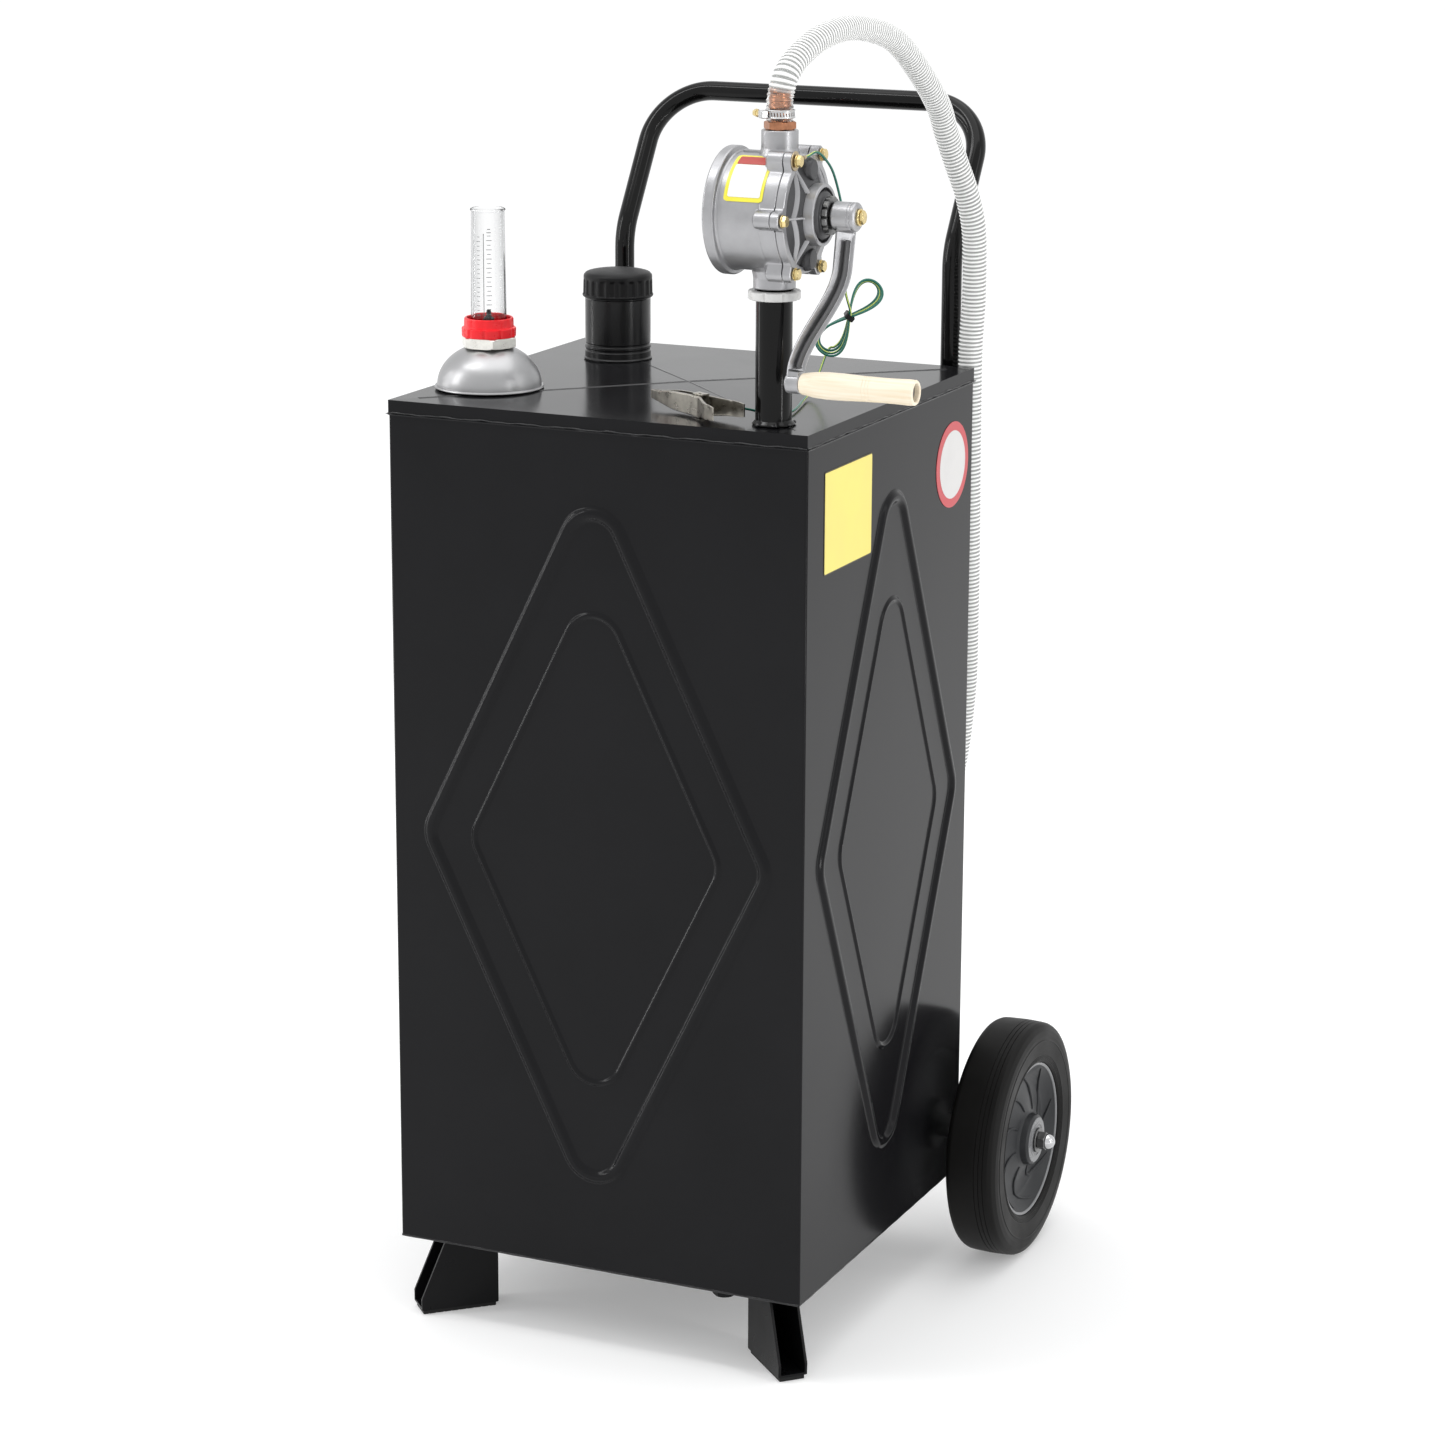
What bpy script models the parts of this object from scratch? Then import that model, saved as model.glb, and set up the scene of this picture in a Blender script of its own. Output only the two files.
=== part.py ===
"""Fuel caddy: a black steel tank on two wheels, with a hand-cranked rotary pump on its stand pipe,
a float level gauge, a screw filler cap, a bent push handle, a clear ribbed hose and a ground wire.

Lengths are in metres and +Z is up. X runs to the right and Y to the back, seen from the front.
Every part hangs from the empty caddy_frame, in which X 0 and Y 0 are the middle of the tank and
Z 0 is the ground.
"""

import math

import bmesh
import bpy
from mathutils import Euler, Matrix, Vector

# Clearances and cutter overruns
seat_gap = 0.0003
running_gap = 0.0005
cut_overrun = 0.004
weld_distance = 0.00001

# Tank: a folded shell with a pressed diamond on each side, under a folded lid
tank_width = 0.415
tank_depth = 0.400
tank_height = 0.810
ground_clearance = 0.0795
sheet = 0.0015
lid_flange = 0.012
lid_rise = 0.002
fold_radius = 0.002
diamond_side_margin = 0.035
diamond_half_height = 0.350
diamond_middle = 0.408
diamond_corner = 0.028
diamond_bead_width = 0.015
diamond_bead_height = 0.004
inner_diamond_inset = 0.041
inner_bead_width = 0.007
inner_bead_height = 0.002

# Filler neck, its gasket and its screw cap
neck_left_inset = 0.0865
neck_back_inset = 0.101
neck_radius = 0.0315
neck_wall = 0.002
neck_height = 0.0745
neck_spigot = 0.012
neck_collar_height = 0.010
neck_collar_proud = 0.0012
gasket_thickness = 0.003
cap_radius = 0.0350
cap_skirt = 0.0185
cap_top = 0.003
cap_dome = 0.005
cap_rib_count = 14
cap_rib_height = 0.0013
cap_bore_clearance = 0.0006
cap_crown_shares = [(0.55, 0.72), (0.88, 0.15)]

# Level gauge: dome, fitting, collar, clear tube and the float that works it
gauge_left_inset = 0.054
gauge_front_inset = 0.095
dome_radius = 0.0538
dome_rim = 0.0022
dome_height = 0.034
dome_wall = 0.0015
dome_flat_radius = 0.021
dome_rim_share = 0.6
fitting_hex_radius = 0.0245
fitting_hex_height = 0.010
fitting_bore = 0.0045
fitting_stub_radius = 0.0125
fitting_stub_length = 0.008
collar_radius = 0.0245
collar_lobe = 0.0012
collar_lobe_count = 10
collar_height = 0.0205
collar_wall = 0.004
gauge_tube_radius = 0.0166
gauge_tube_top_radius = 0.0154
gauge_tube_wall = 0.0022
gauge_tube_height = 0.1005
gauge_tube_flange = 0.0020
gauge_tube_top_share = 0.88
stem_radius = 0.0052
stem_wall = 0.0012
rod_radius = 0.0016
tip_radius = 0.0060
tip_height = 0.012
tip_shares = [(0.5, 0.9), (1.0, 0.6)]
float_pivot_offset = 0.0275
float_pin_radius = 0.0025
float_arm_length = 0.300
float_arm_radius = 0.0022
float_arm_side = 0.0065
float_radius = 0.024
float_length = 0.060
float_nose_share = 0.6
float_nose_end_share = 0.47
float_body_share = 0.3
float_rest_angle = math.radians(60)
float_swing = math.radians(120)
pivot_fork_width = 0.012
pivot_fork_thickness = 0.002

# Stand pipe, lock nut and suction tube
pump_right_inset = 0.0485
pump_front_inset = 0.036
pipe_radius = 0.0162
pipe_bore = 0.0130
pipe_height = 0.119
pipe_thread = 0.010
pipe_weld = 0.003
pipe_weld_share = 0.6
lock_nut_radius = 0.0235
lock_nut_height = 0.008
lock_nut_notch = 0.0016
lock_nut_notches = 8
suction_radius = 0.0100
suction_wall = 0.0015
suction_flange = 0.0020
suction_foot_gap = 0.015
strainer_radius = 0.0140
strainer_height = 0.040
strainer_slot_share = 0.6

# Pump: body and cover on one axis that runs along X
pump_axis_height = 0.187
body_radius = 0.0515
body_back = 0.045
body_front = 0.022
body_back_wall = 0.010
body_flange_radius = 0.0560
body_flange = 0.010
lug_circle = 0.0560
lug_radius = 0.0078
lug_length = 0.014
lug_count = 6
chamber_radius = 0.0410
chamber_offset = 0.0036
top_port_radius = 0.0162
top_port_height = 0.0716
top_port_shift = 0.0040
bottom_port_radius = 0.0185
bottom_port_height = 0.0660
port_bore = 0.0092
port_root_share = 0.8
cover_flange = 0.008
cover_radius = 0.0515
cover_web_radius = 0.0450
cover_web_thickness = 0.004
cover_dish_radius = 0.0265
cover_dish_front = 0.0470
cover_dish_rim = 0.003
cover_boss_radius = 0.0205
cover_boss_front = 0.0500
cover_rib_count = 6
cover_rib_thickness = 0.0060
cover_ring_radius = 0.0365
bolt_head_radius = 0.0066
bolt_head_height = 0.0046
bolt_shank_radius = 0.0026
bolt_length = 0.018
rotor_radius = 0.0365
rotor_slot = 0.0030
rotor_slot_depth = 0.020
vane_count = 2
vane_length = 0.0185
vane_offset = 0.0040
shaft_radius = 0.0065
packing_radius = 0.0170
packing_length = 0.0052

# Crank with its bolt, spindle and wooden grip
crank_hub_radius = 0.0127
crank_hub_back = 0.0565
crank_hub_length = 0.0225
crank_radius = 0.146
crank_boss_radius = 0.0090
crank_boss_middle = 0.0330
crank_boss_length = 0.0130
crank_rest_angle = math.radians(12)
bend_start_share = 0.26
bend_share = 0.72
arm_root_width = 0.0150
arm_tip_width = 0.0155
arm_root_depth = 0.0138
arm_tip_depth = 0.0113
arm_start_share = 0.78
arm_end_share = 0.6
arm_edge_share = 0.85
arm_back_edge_share = 0.7
arm_channel_share = 0.68
arm_floor_share = 0.55
crank_bolt_radius = 0.0075
crank_bolt_height = 0.0050
crank_bolt_hex_share = 0.8
spindle_radius = 0.0040
spindle_head_share = 0.85
spindle_rivet_share = 1.6
spindle_rivet_depth_share = 0.35
grip_length = 0.107
grip_radius = 0.0118
grip_end_radius = 0.0095
grip_bore = 0.0046
grip_mouth_radius = 0.0080
grip_mouth_depth = 0.006
grip_swell_shares = [(1.0, 0.85), (0.95, 1.0), (0.62, 0.93), (0.25, 1.0), (0.1, 0.95)]

# Hose fitting, hose clamp, hose and discharge spout
barb_hex_radius = 0.0142
barb_hex_height = 0.0070
barb_radius = 0.0065
barb_valley = 0.0059
barb_length = 0.020
barb_bore = 0.0042
barb_ridges = 2
barb_land_shares = [0.75, 0.85]
hose_radius = 0.0120
hose_valley = 0.0113
hose_bore = 0.0074
hose_ribs = 60
clamp_band = 0.0008
clamp_width = 0.0120
clamp_lift = 0.0015
clamp_screw_length = 0.018
clamp_screw_radius = 0.0030
clamp_housing = 0.0085
clamp_inset_share = 0.15
clamp_heading = math.radians(-40)
spout_radius = 0.0080
spout_bore = 0.0052
spout_straight = 0.080
spout_reach = 0.060
spout_bend_angle = math.radians(40)
spout_bend_radius = 0.045
spout_collar_radius = 0.0120
spout_collar_height = 0.010
spout_side_offset = 0.100
spout_setback = 0.030
spout_drop = 0.2495
holder_height = 0.030
holder_wall = 0.0020
holder_mouth_share = 0.72

# Push handle and the brackets behind the tank that hold its legs
handle_radius = 0.0096
handle_side_inset = 0.0335
handle_setback = 0.0233
handle_bend_height = 0.1056
handle_slope_length = 0.158
handle_lean = math.radians(32.7)
handle_corner = 0.058
handle_leg_drop = 0.150
bracket_height = 0.024
bracket_width = 0.020
bracket_top_drop = 0.028
bracket_saddle_share = 0.35
handle_bolt_radius = 0.0035
handle_bolt_head = 0.0062
handle_bolt_head_height = 0.004
handle_bolt_top_share = 0.7
handle_bolt_edge_share = 0.4

# Feet, set across the front corners
foot_width = 0.0288
foot_length = 0.0766
foot_top_length = 0.050
foot_toe_height = 0.012
foot_sheet = 0.0025
foot_pad = 0.0040
foot_pad_inset = 0.0020
foot_angle = math.radians(44)
foot_toe_side_inset = 0.0105
foot_toe_front_inset = 0.0115

# Drain plug
drain_right_inset = 0.0895
drain_front_inset = 0.032
drain_hole = 0.0090
drain_head_radius = 0.0115
drain_head_height = 0.0120
drain_washer_radius = 0.0135
drain_washer = 0.0020
drain_stem = 0.010

# Wheels, axle and axle bracket
tyre_radius = 0.1175
tyre_width = 0.054
tyre_shoulder = 0.008
tyre_bore_share = 0.86
tyre_wall_radius_share = 1.1
tyre_wall_share = 0.96
tyre_bulge_share = 1.5
tyre_shoulder_share = 0.4
rim_radius = 0.0768
rim_lip = 0.003
rim_width = 0.044
rim_web = 0.005
rim_dish = 0.010
rim_hub_radius = 0.0255
rim_hub_proud = 0.0025
rim_hub_face_share = 0.8
rim_hub_root_share = 1.08
wheel_side_gap = 0.0245
axle_radius = 0.0080
axle_setback = 0.0090
axle_bracket_drop = 0.034
axle_bracket_rise = 0.013
axle_bracket_sheet = 0.0018
axle_bracket_reach = 0.0240
axle_bracket_inset = 0.0175
axle_shoulder_radius = 0.0120
axle_nut_radius = 0.0085
axle_nut_height = 0.0080
axle_washer_radius = 0.0125
axle_washer = 0.0015
axle_cap_height = 0.0162
axle_cap_share = 0.8
axle_cap_shares = [(0.45, 0.9), (0.85, 0.5)]
axle_thread_share = 0.6

# Ground wire, its hank, ring terminal and spring clip
wire_radius = 0.0011
wire_lead = 0.006
terminal_bolt = 2
terminal_radius = 0.0085
terminal_thickness = 0.0008
terminal_barrel = 0.0080
terminal_barrel_lift = 0.0003
terminal_reach = 0.0158
terminal_rise = 0.0020
terminal_stand_off = 0.0019
terminal_sleeve_share = 1.3
hank_loops = 3
hank_end_share = 0.17
hank_points = 24
hank_length = 0.082
hank_lobe = 0.0135
hank_spread = 0.0014
hank_pitch = 0.0056
hank_lean = math.radians(38)
hank_heading = math.radians(25)
clip_jaw_length = 0.072
clip_handle_length = 0.046
clip_body_height = 0.018
clip_tip_height = 0.009
clip_sheet = 0.0014
clip_half_gap = 0.0065
clip_handle_spread = 0.0110
clip_bend_share = 0.6
clip_bend_spread_share = 0.75
clip_handle_end_share = 1.3
clip_handle_height_share = 0.8
clip_body_shares = [(-0.2, 1.1, 1.0), (0.12, 1.0, 1.0), (0.45, 0.95, 0.9)]
clip_taper_share = 0.85
clip_neck_share = 0.6
clip_nose_share = 0.97
clip_nose_height_share = 0.9
clip_ear_shares = (0.6, 0.8)
clip_pin_radius = 0.0016
clip_right_inset = 0.123
clip_front_inset = 0.0405
clip_heading = math.radians(150)
clip_spring_wire = 0.0005
clip_spring_turns = 3
clip_spring_points = 8

# Facets: steps of a full turn, and sides of a bent tube
wheel_steps = 24
fine_steps = 18
round_steps = 18
small_steps = 10
bolt_steps = 6
arc_points = 3

# Heights and places that follow from the sizes above

tank_top = ground_clearance + tank_height
shell_top = tank_top - lid_flange - seat_gap
rear_wall = tank_depth / 2
front_wall = -tank_depth / 2
right_wall = tank_width / 2
left_wall = -tank_width / 2
neck_x = left_wall + neck_left_inset
neck_y = rear_wall - neck_back_inset
gauge_x = left_wall + gauge_left_inset
gauge_y = front_wall + gauge_front_inset
pump_x = right_wall - pump_right_inset
pump_y = front_wall + pump_front_inset
drain_x = right_wall - drain_right_inset
drain_y = front_wall + drain_front_inset
foot_toe_x = right_wall - foot_toe_side_inset
foot_toe_y = front_wall + foot_toe_front_inset
clip_x = right_wall - clip_right_inset
clip_y = front_wall + clip_front_inset
handle_half_width = right_wall - handle_side_inset
wheel_inner_face = right_wall + wheel_side_gap
axle_bracket_half_width = right_wall - axle_bracket_inset
axle_y = rear_wall + axle_setback
axle_z = tyre_radius
wheel_outer_face = wheel_inner_face + tyre_width
nut_seat = wheel_outer_face + rim_hub_proud
handle_y = rear_wall + handle_setback
pump_z = tank_top + pump_axis_height
crank_angle = -crank_rest_angle
front_reach = lug_circle + lug_radius - pump_y
back_reach = axle_y + tyre_radius
frame_shift = (front_reach - back_reach) / 2
spout_place = (-spout_side_offset, rear_wall + spout_setback, tank_top - spout_drop)

# The hose's route, chosen by hand: straight up from the barb in the pump's upper port, over to the
# back, down beside the right leg of the handle, and round in a bow behind the tank to the spout
hose_start = pump_z + top_port_height + barb_hex_height + 2 * seat_gap
HOSE_ROUTE = [
    (pump_x + top_port_shift, pump_y, hose_start),
    (pump_x + top_port_shift, pump_y, hose_start + barb_length / 2),
    (pump_x + top_port_shift, pump_y, hose_start + barb_length),
    (0.1665, -0.1590, 1.1950),
    (0.1700, -0.1370, 1.2105),
    (0.1750, -0.1010, 1.2232),
    (0.1800, -0.0510, 1.2278),
    (0.1846, 0.0080, 1.2194),
    (0.1873, 0.0490, 1.2048),
    (0.1895, 0.0940, 1.1765),
    (0.1914, 0.1340, 1.1447),
    (0.1916, 0.1560, 1.1170),
    (0.1944, 0.1750, 1.0875),
    (0.2000, 0.1910, 1.0560),
    (0.2035, 0.2010, 1.0250),
    (0.2030, 0.2070, 0.9940),
    (0.2012, 0.2120, 0.9515),
    (0.1985, 0.2140, 0.9100),
    (0.1980, 0.2150, 0.8700),
    (0.1980, 0.2165, 0.8000),
    (0.1975, 0.2200, 0.7300),
    (0.1960, 0.2250, 0.6500),
    (0.1930, 0.2290, 0.5600),
    (0.1800, 0.2310, 0.4700),
    (0.1500, 0.2320, 0.3950),
    (0.1000, 0.2330, 0.3420),
    (0.0450, 0.2330, 0.3280),
    (-0.0100, 0.2330, 0.3420),
    (-0.0600, 0.2330, 0.3900),
    (-0.0900, 0.2320, 0.4650),
    (-0.1000, 0.2310, 0.5500),
    (spout_place[0], spout_place[1], spout_place[2] - barb_length),
    spout_place,
]

# The ground wire's route, chosen by hand: from the ring terminal over the cover and down behind the
# pump to the hank of spare wire, and from there to the lid and behind the pipe to the clip. The
# terminal, the hank and the clip add their own ends.
hank_middle = (0.1530, 0.0200, 0.9600)
WIRE_TOP_ROUTE = [
    (0.1955, -0.1580, 1.1295),
    (0.1990, -0.1460, 1.1215),
    (0.2020, -0.1350, 1.1075),
    (0.2035, -0.1200, 1.0775),
    (0.1980, -0.0980, 1.0475),
    (0.1870, -0.0660, 1.0230),
    (0.1710, -0.0300, 1.0020),
    (0.1610, -0.0080, 0.9860),
]
WIRE_FOOT_ROUTE = [
    (0.1300, 0.0020, 0.9060),
    (0.1340, -0.0280, 0.8945),
    (0.1414, -0.0589, 0.8930),
    (0.1490, -0.0883, 0.8925),
    (0.1530, -0.1120, 0.8925),
    (0.1490, -0.1340, 0.8935),
]

# The scene, its collections and its frame

for old in list(bpy.data.objects):
    bpy.data.objects.remove(old, do_unlink=True)

parts = bpy.data.collections.new("fuel_caddy")
helpers = bpy.data.collections.new("cutters")
bpy.context.scene.collection.children.link(parts)
bpy.context.scene.collection.children.link(helpers)


def add_empty(name, location, parent=None):
    """An empty at a joint's axis, or the frame of the whole part."""
    empty = bpy.data.objects.new(name, None)
    empty.empty_display_size = fold_radius
    empty.location = location
    empty.parent = parent
    parts.objects.link(empty)
    return empty


frame = add_empty("caddy_frame", (0, frame_shift, 0))


def make_material(name, color, roughness, metallic=0.0):
    """A Principled material of one colour."""
    made = bpy.data.materials.new(name)
    made.use_nodes = True
    shader = made.node_tree.nodes["Principled BSDF"]
    shader.inputs["Base Color"].default_value = (*color, 1)
    shader.inputs["Roughness"].default_value = roughness
    shader.inputs["Metallic"].default_value = metallic
    return made


# Placing, cutting and joining


def place(obj, material=None, parent=None, location=(0, 0, 0), rotation=(0, 0, 0)):
    """Sets a part under its parent, whose frame its location and rotation are in."""
    obj.parent = parent or frame
    obj.location = location
    obj.rotation_euler = rotation
    if material:
        obj.data.materials.clear()
        obj.data.materials.append(material)
    return obj


def make_helper(obj):
    """Turns an object into a hidden cutter or a shape that another object takes in."""
    obj.hide_render = True
    obj.display_type = "WIRE"
    for collection in list(obj.users_collection):
        collection.objects.unlink(obj)
    helpers.objects.link(obj)
    return obj


def combine(target, other, operation):
    """Adds an exact Boolean to the target, and hides what it uses."""
    make_helper(other)
    modifier = target.modifiers.new(other.name, "BOOLEAN")
    modifier.operation = operation
    modifier.object = other
    modifier.solver = "EXACT"
    return target


def cut(target, other):
    return combine(target, other, "DIFFERENCE")


def fuse(target, other):
    return combine(target, other, "UNION")


def shade(obj, angle=math.radians(35)):
    """Smooth shading with sharp edges where faces turn by more than the angle."""
    obj.data.shade_smooth()
    obj.data.set_sharp_from_angle(angle=angle)
    return obj


# Ways to make a shape


def object_of(name, bm):
    """A mesh object from a bmesh, which it frees."""
    mesh = bpy.data.meshes.new(name)
    bm.to_mesh(mesh)
    bm.free()
    obj = bpy.data.objects.new(name, mesh)
    parts.objects.link(obj)
    return obj


def turned(name, profile, steps=round_steps):
    """A profile of (radius, height) points turned about Z. A ring's profile is closed, a solid's
    starts and ends on the axis. It runs down the outer side."""
    bm = bmesh.new()
    corners = [bm.verts.new((radius, 0, height)) for radius, height in profile]
    for first, second in zip(corners, corners[1:]):
        bm.edges.new((first, second))
    if profile[0][0] > 0:
        bm.edges.new((corners[-1], corners[0]))
    obj = object_of(name, bm)
    screw = obj.modifiers.new("turn", "SCREW")
    screw.steps = steps
    screw.render_steps = steps
    screw.use_merge_vertices = True
    screw.merge_threshold = weld_distance
    return obj


def drum(name, radius, low, high, steps=round_steps):
    """A plain cylinder along Z from low to high."""
    return turned(name, [(0, high), (radius, high), (radius, low), (0, low)], steps)


def ring(name, outer, inner, low, high, steps=round_steps):
    """A plain tube along Z from low to high."""
    return turned(name, [(outer, high), (outer, low), (inner, low), (inner, high)], steps)


def block(name, low, high):
    """A box between two corners."""
    bm = bmesh.new()
    bmesh.ops.create_cube(bm, size=1)
    size = Vector(high) - Vector(low)
    middle = (Vector(high) + Vector(low)) / 2
    bmesh.ops.scale(bm, vec=size, verts=bm.verts)
    bmesh.ops.translate(bm, vec=middle, verts=bm.verts)
    return object_of(name, bm)


def flat_solid(name, outlines, low, high):
    """Outlines in the XY plane, the first one's holes after it, filled between two heights."""
    curve = bpy.data.curves.new(name, "CURVE")
    curve.dimensions = "2D"
    curve.fill_mode = "BOTH"
    curve.extrude = (high - low) / 2
    for outline in outlines:
        spline = curve.splines.new("POLY")
        spline.points.add(len(outline) - 1)
        spline.use_cyclic_u = True
        for point, (x, y) in zip(spline.points, outline):
            point.co = (x, y, 0, 1)
    return meshed(name, curve, Matrix.Translation((0, 0, (high + low) / 2)))


def meshed(name, curve, move=None):
    """The solid of a curve as a mesh object, its caps welded on."""
    guide = bpy.data.objects.new(name + "_guide", curve)
    parts.objects.link(guide)
    bpy.context.view_layer.update()
    graph = bpy.context.evaluated_depsgraph_get()
    mesh = bpy.data.meshes.new_from_object(guide.evaluated_get(graph))
    bpy.data.objects.remove(guide, do_unlink=True)
    bm = bmesh.new()
    bm.from_mesh(mesh)
    bmesh.ops.remove_doubles(bm, verts=bm.verts, dist=weld_distance)
    if move:
        bm.transform(move)
    bmesh.ops.recalc_face_normals(bm, faces=bm.faces)
    obj = object_of(name, bm)
    bpy.data.meshes.remove(mesh)
    return obj


def tube(name, points, radius, resolution=2, radii=None):
    """A round tube along a list of points, with filled caps."""
    curve = bpy.data.curves.new(name, "CURVE")
    curve.dimensions = "3D"
    curve.bevel_depth = radius
    curve.bevel_resolution = resolution
    curve.use_fill_caps = True
    spline = curve.splines.new("POLY")
    spline.points.add(len(points) - 1)
    for index, point in enumerate(points):
        spline.points[index].co = (*point, 1)
        spline.points[index].radius = radii[index] if radii else 1
    obj = bpy.data.objects.new(name, curve)
    parts.objects.link(obj)
    return obj


def tube_mesh(name, points, radius, resolution=2, radii=None):
    """The same tube as a mesh, for one that is cut or joined."""
    guide = tube(name + "_path", points, radius, resolution, radii)
    curve = guide.data
    bpy.data.objects.remove(guide, do_unlink=True)
    return meshed(name, curve)


def loft(name, sections):
    """A skin over rings of points of equal count, with its ends closed."""
    bm = bmesh.new()
    rings = [[bm.verts.new(point) for point in section] for section in sections]
    count = len(rings[0])
    for first, second in zip(rings, rings[1:]):
        for index in range(count):
            following = (index + 1) % count
            bm.faces.new((first[index], first[following], second[following], second[index]))
    bm.faces.new(list(reversed(rings[0])))
    bm.faces.new(rings[-1])
    bmesh.ops.recalc_face_normals(bm, faces=bm.faces)
    return object_of(name, bm)


def copies(name, source, transforms):
    """One mesh that holds a solid several times over, for a single Boolean."""
    bpy.context.view_layer.update()
    graph = bpy.context.evaluated_depsgraph_get()
    mesh = bpy.data.meshes.new_from_object(source.evaluated_get(graph))
    bm = bmesh.new()
    for transform in transforms:
        one = mesh.copy()
        one.transform(transform)
        bm.from_mesh(one)
        bpy.data.meshes.remove(one)
    bpy.data.meshes.remove(mesh)
    bpy.data.objects.remove(source, do_unlink=True)
    return object_of(name, bm)


def copy_of(name, source, material=None, parent=None, location=(0, 0, 0), rotation=(0, 0, 0)):
    """Another object with the source's mesh and modifiers."""
    obj = source.copy()
    obj.name = name
    parts.objects.link(obj)
    return place(obj, material, parent, location, rotation)


def turned_about_z(count, start=0.0):
    """Rotations that share a full turn."""
    return [Matrix.Rotation(start + 2 * math.pi * index / count, 4, "Z") for index in range(count)]


def circle(radius, count=round_steps):
    """Points of a circle about the origin."""
    angles = [2 * math.pi * index / count for index in range(count)]
    return [(radius * math.cos(angle), radius * math.sin(angle)) for angle in angles]


def waved_circle(radius, wave, waves, points_per_wave=3):
    """A circle whose radius waves, as a row of round lobes does."""
    count = waves * points_per_wave
    outline = []
    for index in range(count):
        angle = 2 * math.pi * index / count
        reach = radius + wave * math.cos(waves * angle)
        outline.append((reach * math.cos(angle), reach * math.sin(angle)))
    return outline


def smooth_path(route, spacing):
    """Evenly spaced points on a smooth curve through the points of a route."""
    knots = [Vector(point) for point in route]
    ends = [2 * knots[0] - knots[1]] + knots + [2 * knots[-1] - knots[-2]]
    fine = []
    parts_per_span = 24
    for index in range(1, len(ends) - 2):
        before, start, end, after = ends[index - 1 : index + 3]
        for part in range(parts_per_span):
            t = part / parts_per_span
            fine.append(
                (
                    2 * start
                    + (end - before) * t
                    + (2 * before - 5 * start + 4 * end - after) * t**2
                    + (3 * start - before - 3 * end + after) * t**3
                )
                / 2
            )
    fine.append(knots[-1])
    lengths = [0.0]
    for first, second in zip(fine, fine[1:]):
        lengths.append(lengths[-1] + (second - first).length)
    count = max(2, round(lengths[-1] / spacing))
    points = []
    place_at = 0
    for index in range(count + 1):
        wanted = lengths[-1] * index / count
        while place_at < len(fine) - 2 and lengths[place_at + 1] < wanted:
            place_at += 1
        span = lengths[place_at + 1] - lengths[place_at]
        share = (wanted - lengths[place_at]) / span
        points.append(fine[place_at].lerp(fine[place_at + 1], share))
    return points


def lid_height(x, y):
    """The lid's upper face, which rises to its middle in four slopes."""
    share = max(abs(x) / (tank_width / 2), abs(y) / (tank_depth / 2))
    return tank_top + lid_rise * (1 - min(share, 1))


def seat_on_lid(x, y, radius):
    """The lowest height at which a round foot clears the lid by the seat gap."""
    around = [lid_height(x + dx, y + dy) for dx, dy in circle(radius)]
    return max(around) + seat_gap


# Materials

black_gloss = make_material("black_gloss_paint", (0.012, 0.012, 0.013), 0.18)
black_satin = make_material("black_satin_paint", (0.02, 0.02, 0.021), 0.35)
black_plastic = make_material("black_plastic", (0.018, 0.018, 0.019), 0.45)
black_rubber = make_material("black_rubber", (0.02, 0.02, 0.02), 0.7)
cast_silver = make_material("cast_silver_paint", (0.55, 0.56, 0.57), 0.4, 0.7)
dome_silver = make_material("dome_silver", (0.62, 0.63, 0.64), 0.35, 0.8)
zinc = make_material("zinc", (0.75, 0.76, 0.78), 0.3, 1.0)
yellow_zinc = make_material("yellow_zinc", (0.78, 0.66, 0.38), 0.35, 1.0)
chrome = make_material("chrome", (0.85, 0.85, 0.86), 0.1, 1.0)
steel = make_material("steel", (0.5, 0.5, 0.5), 0.35, 1.0)
copper = make_material("coppered_brass", (0.55, 0.27, 0.15), 0.3, 1.0)
red_plastic = make_material("red_plastic", (0.7, 0.03, 0.04), 0.35)
clear_plastic = make_material("clear_plastic", (0.9, 0.92, 0.93), 0.1)
clear_hose = make_material("clear_hose", (0.8, 0.83, 0.85), 0.25)
white_plastic = make_material("white_plastic", (0.75, 0.75, 0.72), 0.5)
rim_grey = make_material("rim_grey", (0.12, 0.125, 0.13), 0.5)
wood = make_material("wood", (0.76, 0.62, 0.44), 0.55)
green_wire = make_material("green_wire", (0.03, 0.25, 0.16), 0.4)
nickel = make_material("dark_nickel", (0.35, 0.33, 0.3), 0.35, 1.0)


# Tank


def rounded_rhombus(half_width, half_height, corner, offset):
    """A rhombus with round corners, grown by an offset. It starts at its right corner's middle
    and has the same number of points in each quarter."""
    reach = half_width * half_height / math.hypot(half_width, half_height)
    core_share = (reach - corner) / reach
    tilt = math.atan2(half_width, half_height)
    corners = [(1, 0, -tilt, tilt), (0, 1, tilt, math.pi - tilt)]
    corners += [(-1, 0, math.pi - tilt, math.pi + tilt), (0, -1, math.pi + tilt, 2 * math.pi - tilt)]
    points = []
    for side, end, start, stop in corners:
        for index in range(arc_points):
            angle = start + (stop - start) * index / (arc_points - 1)
            x = side * half_width * core_share + (corner + offset) * math.cos(angle)
            y = end * half_height * core_share + (corner + offset) * math.sin(angle)
            points.append((x, y))
    middle = arc_points // 2
    return points[middle:] + points[:middle]


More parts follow.
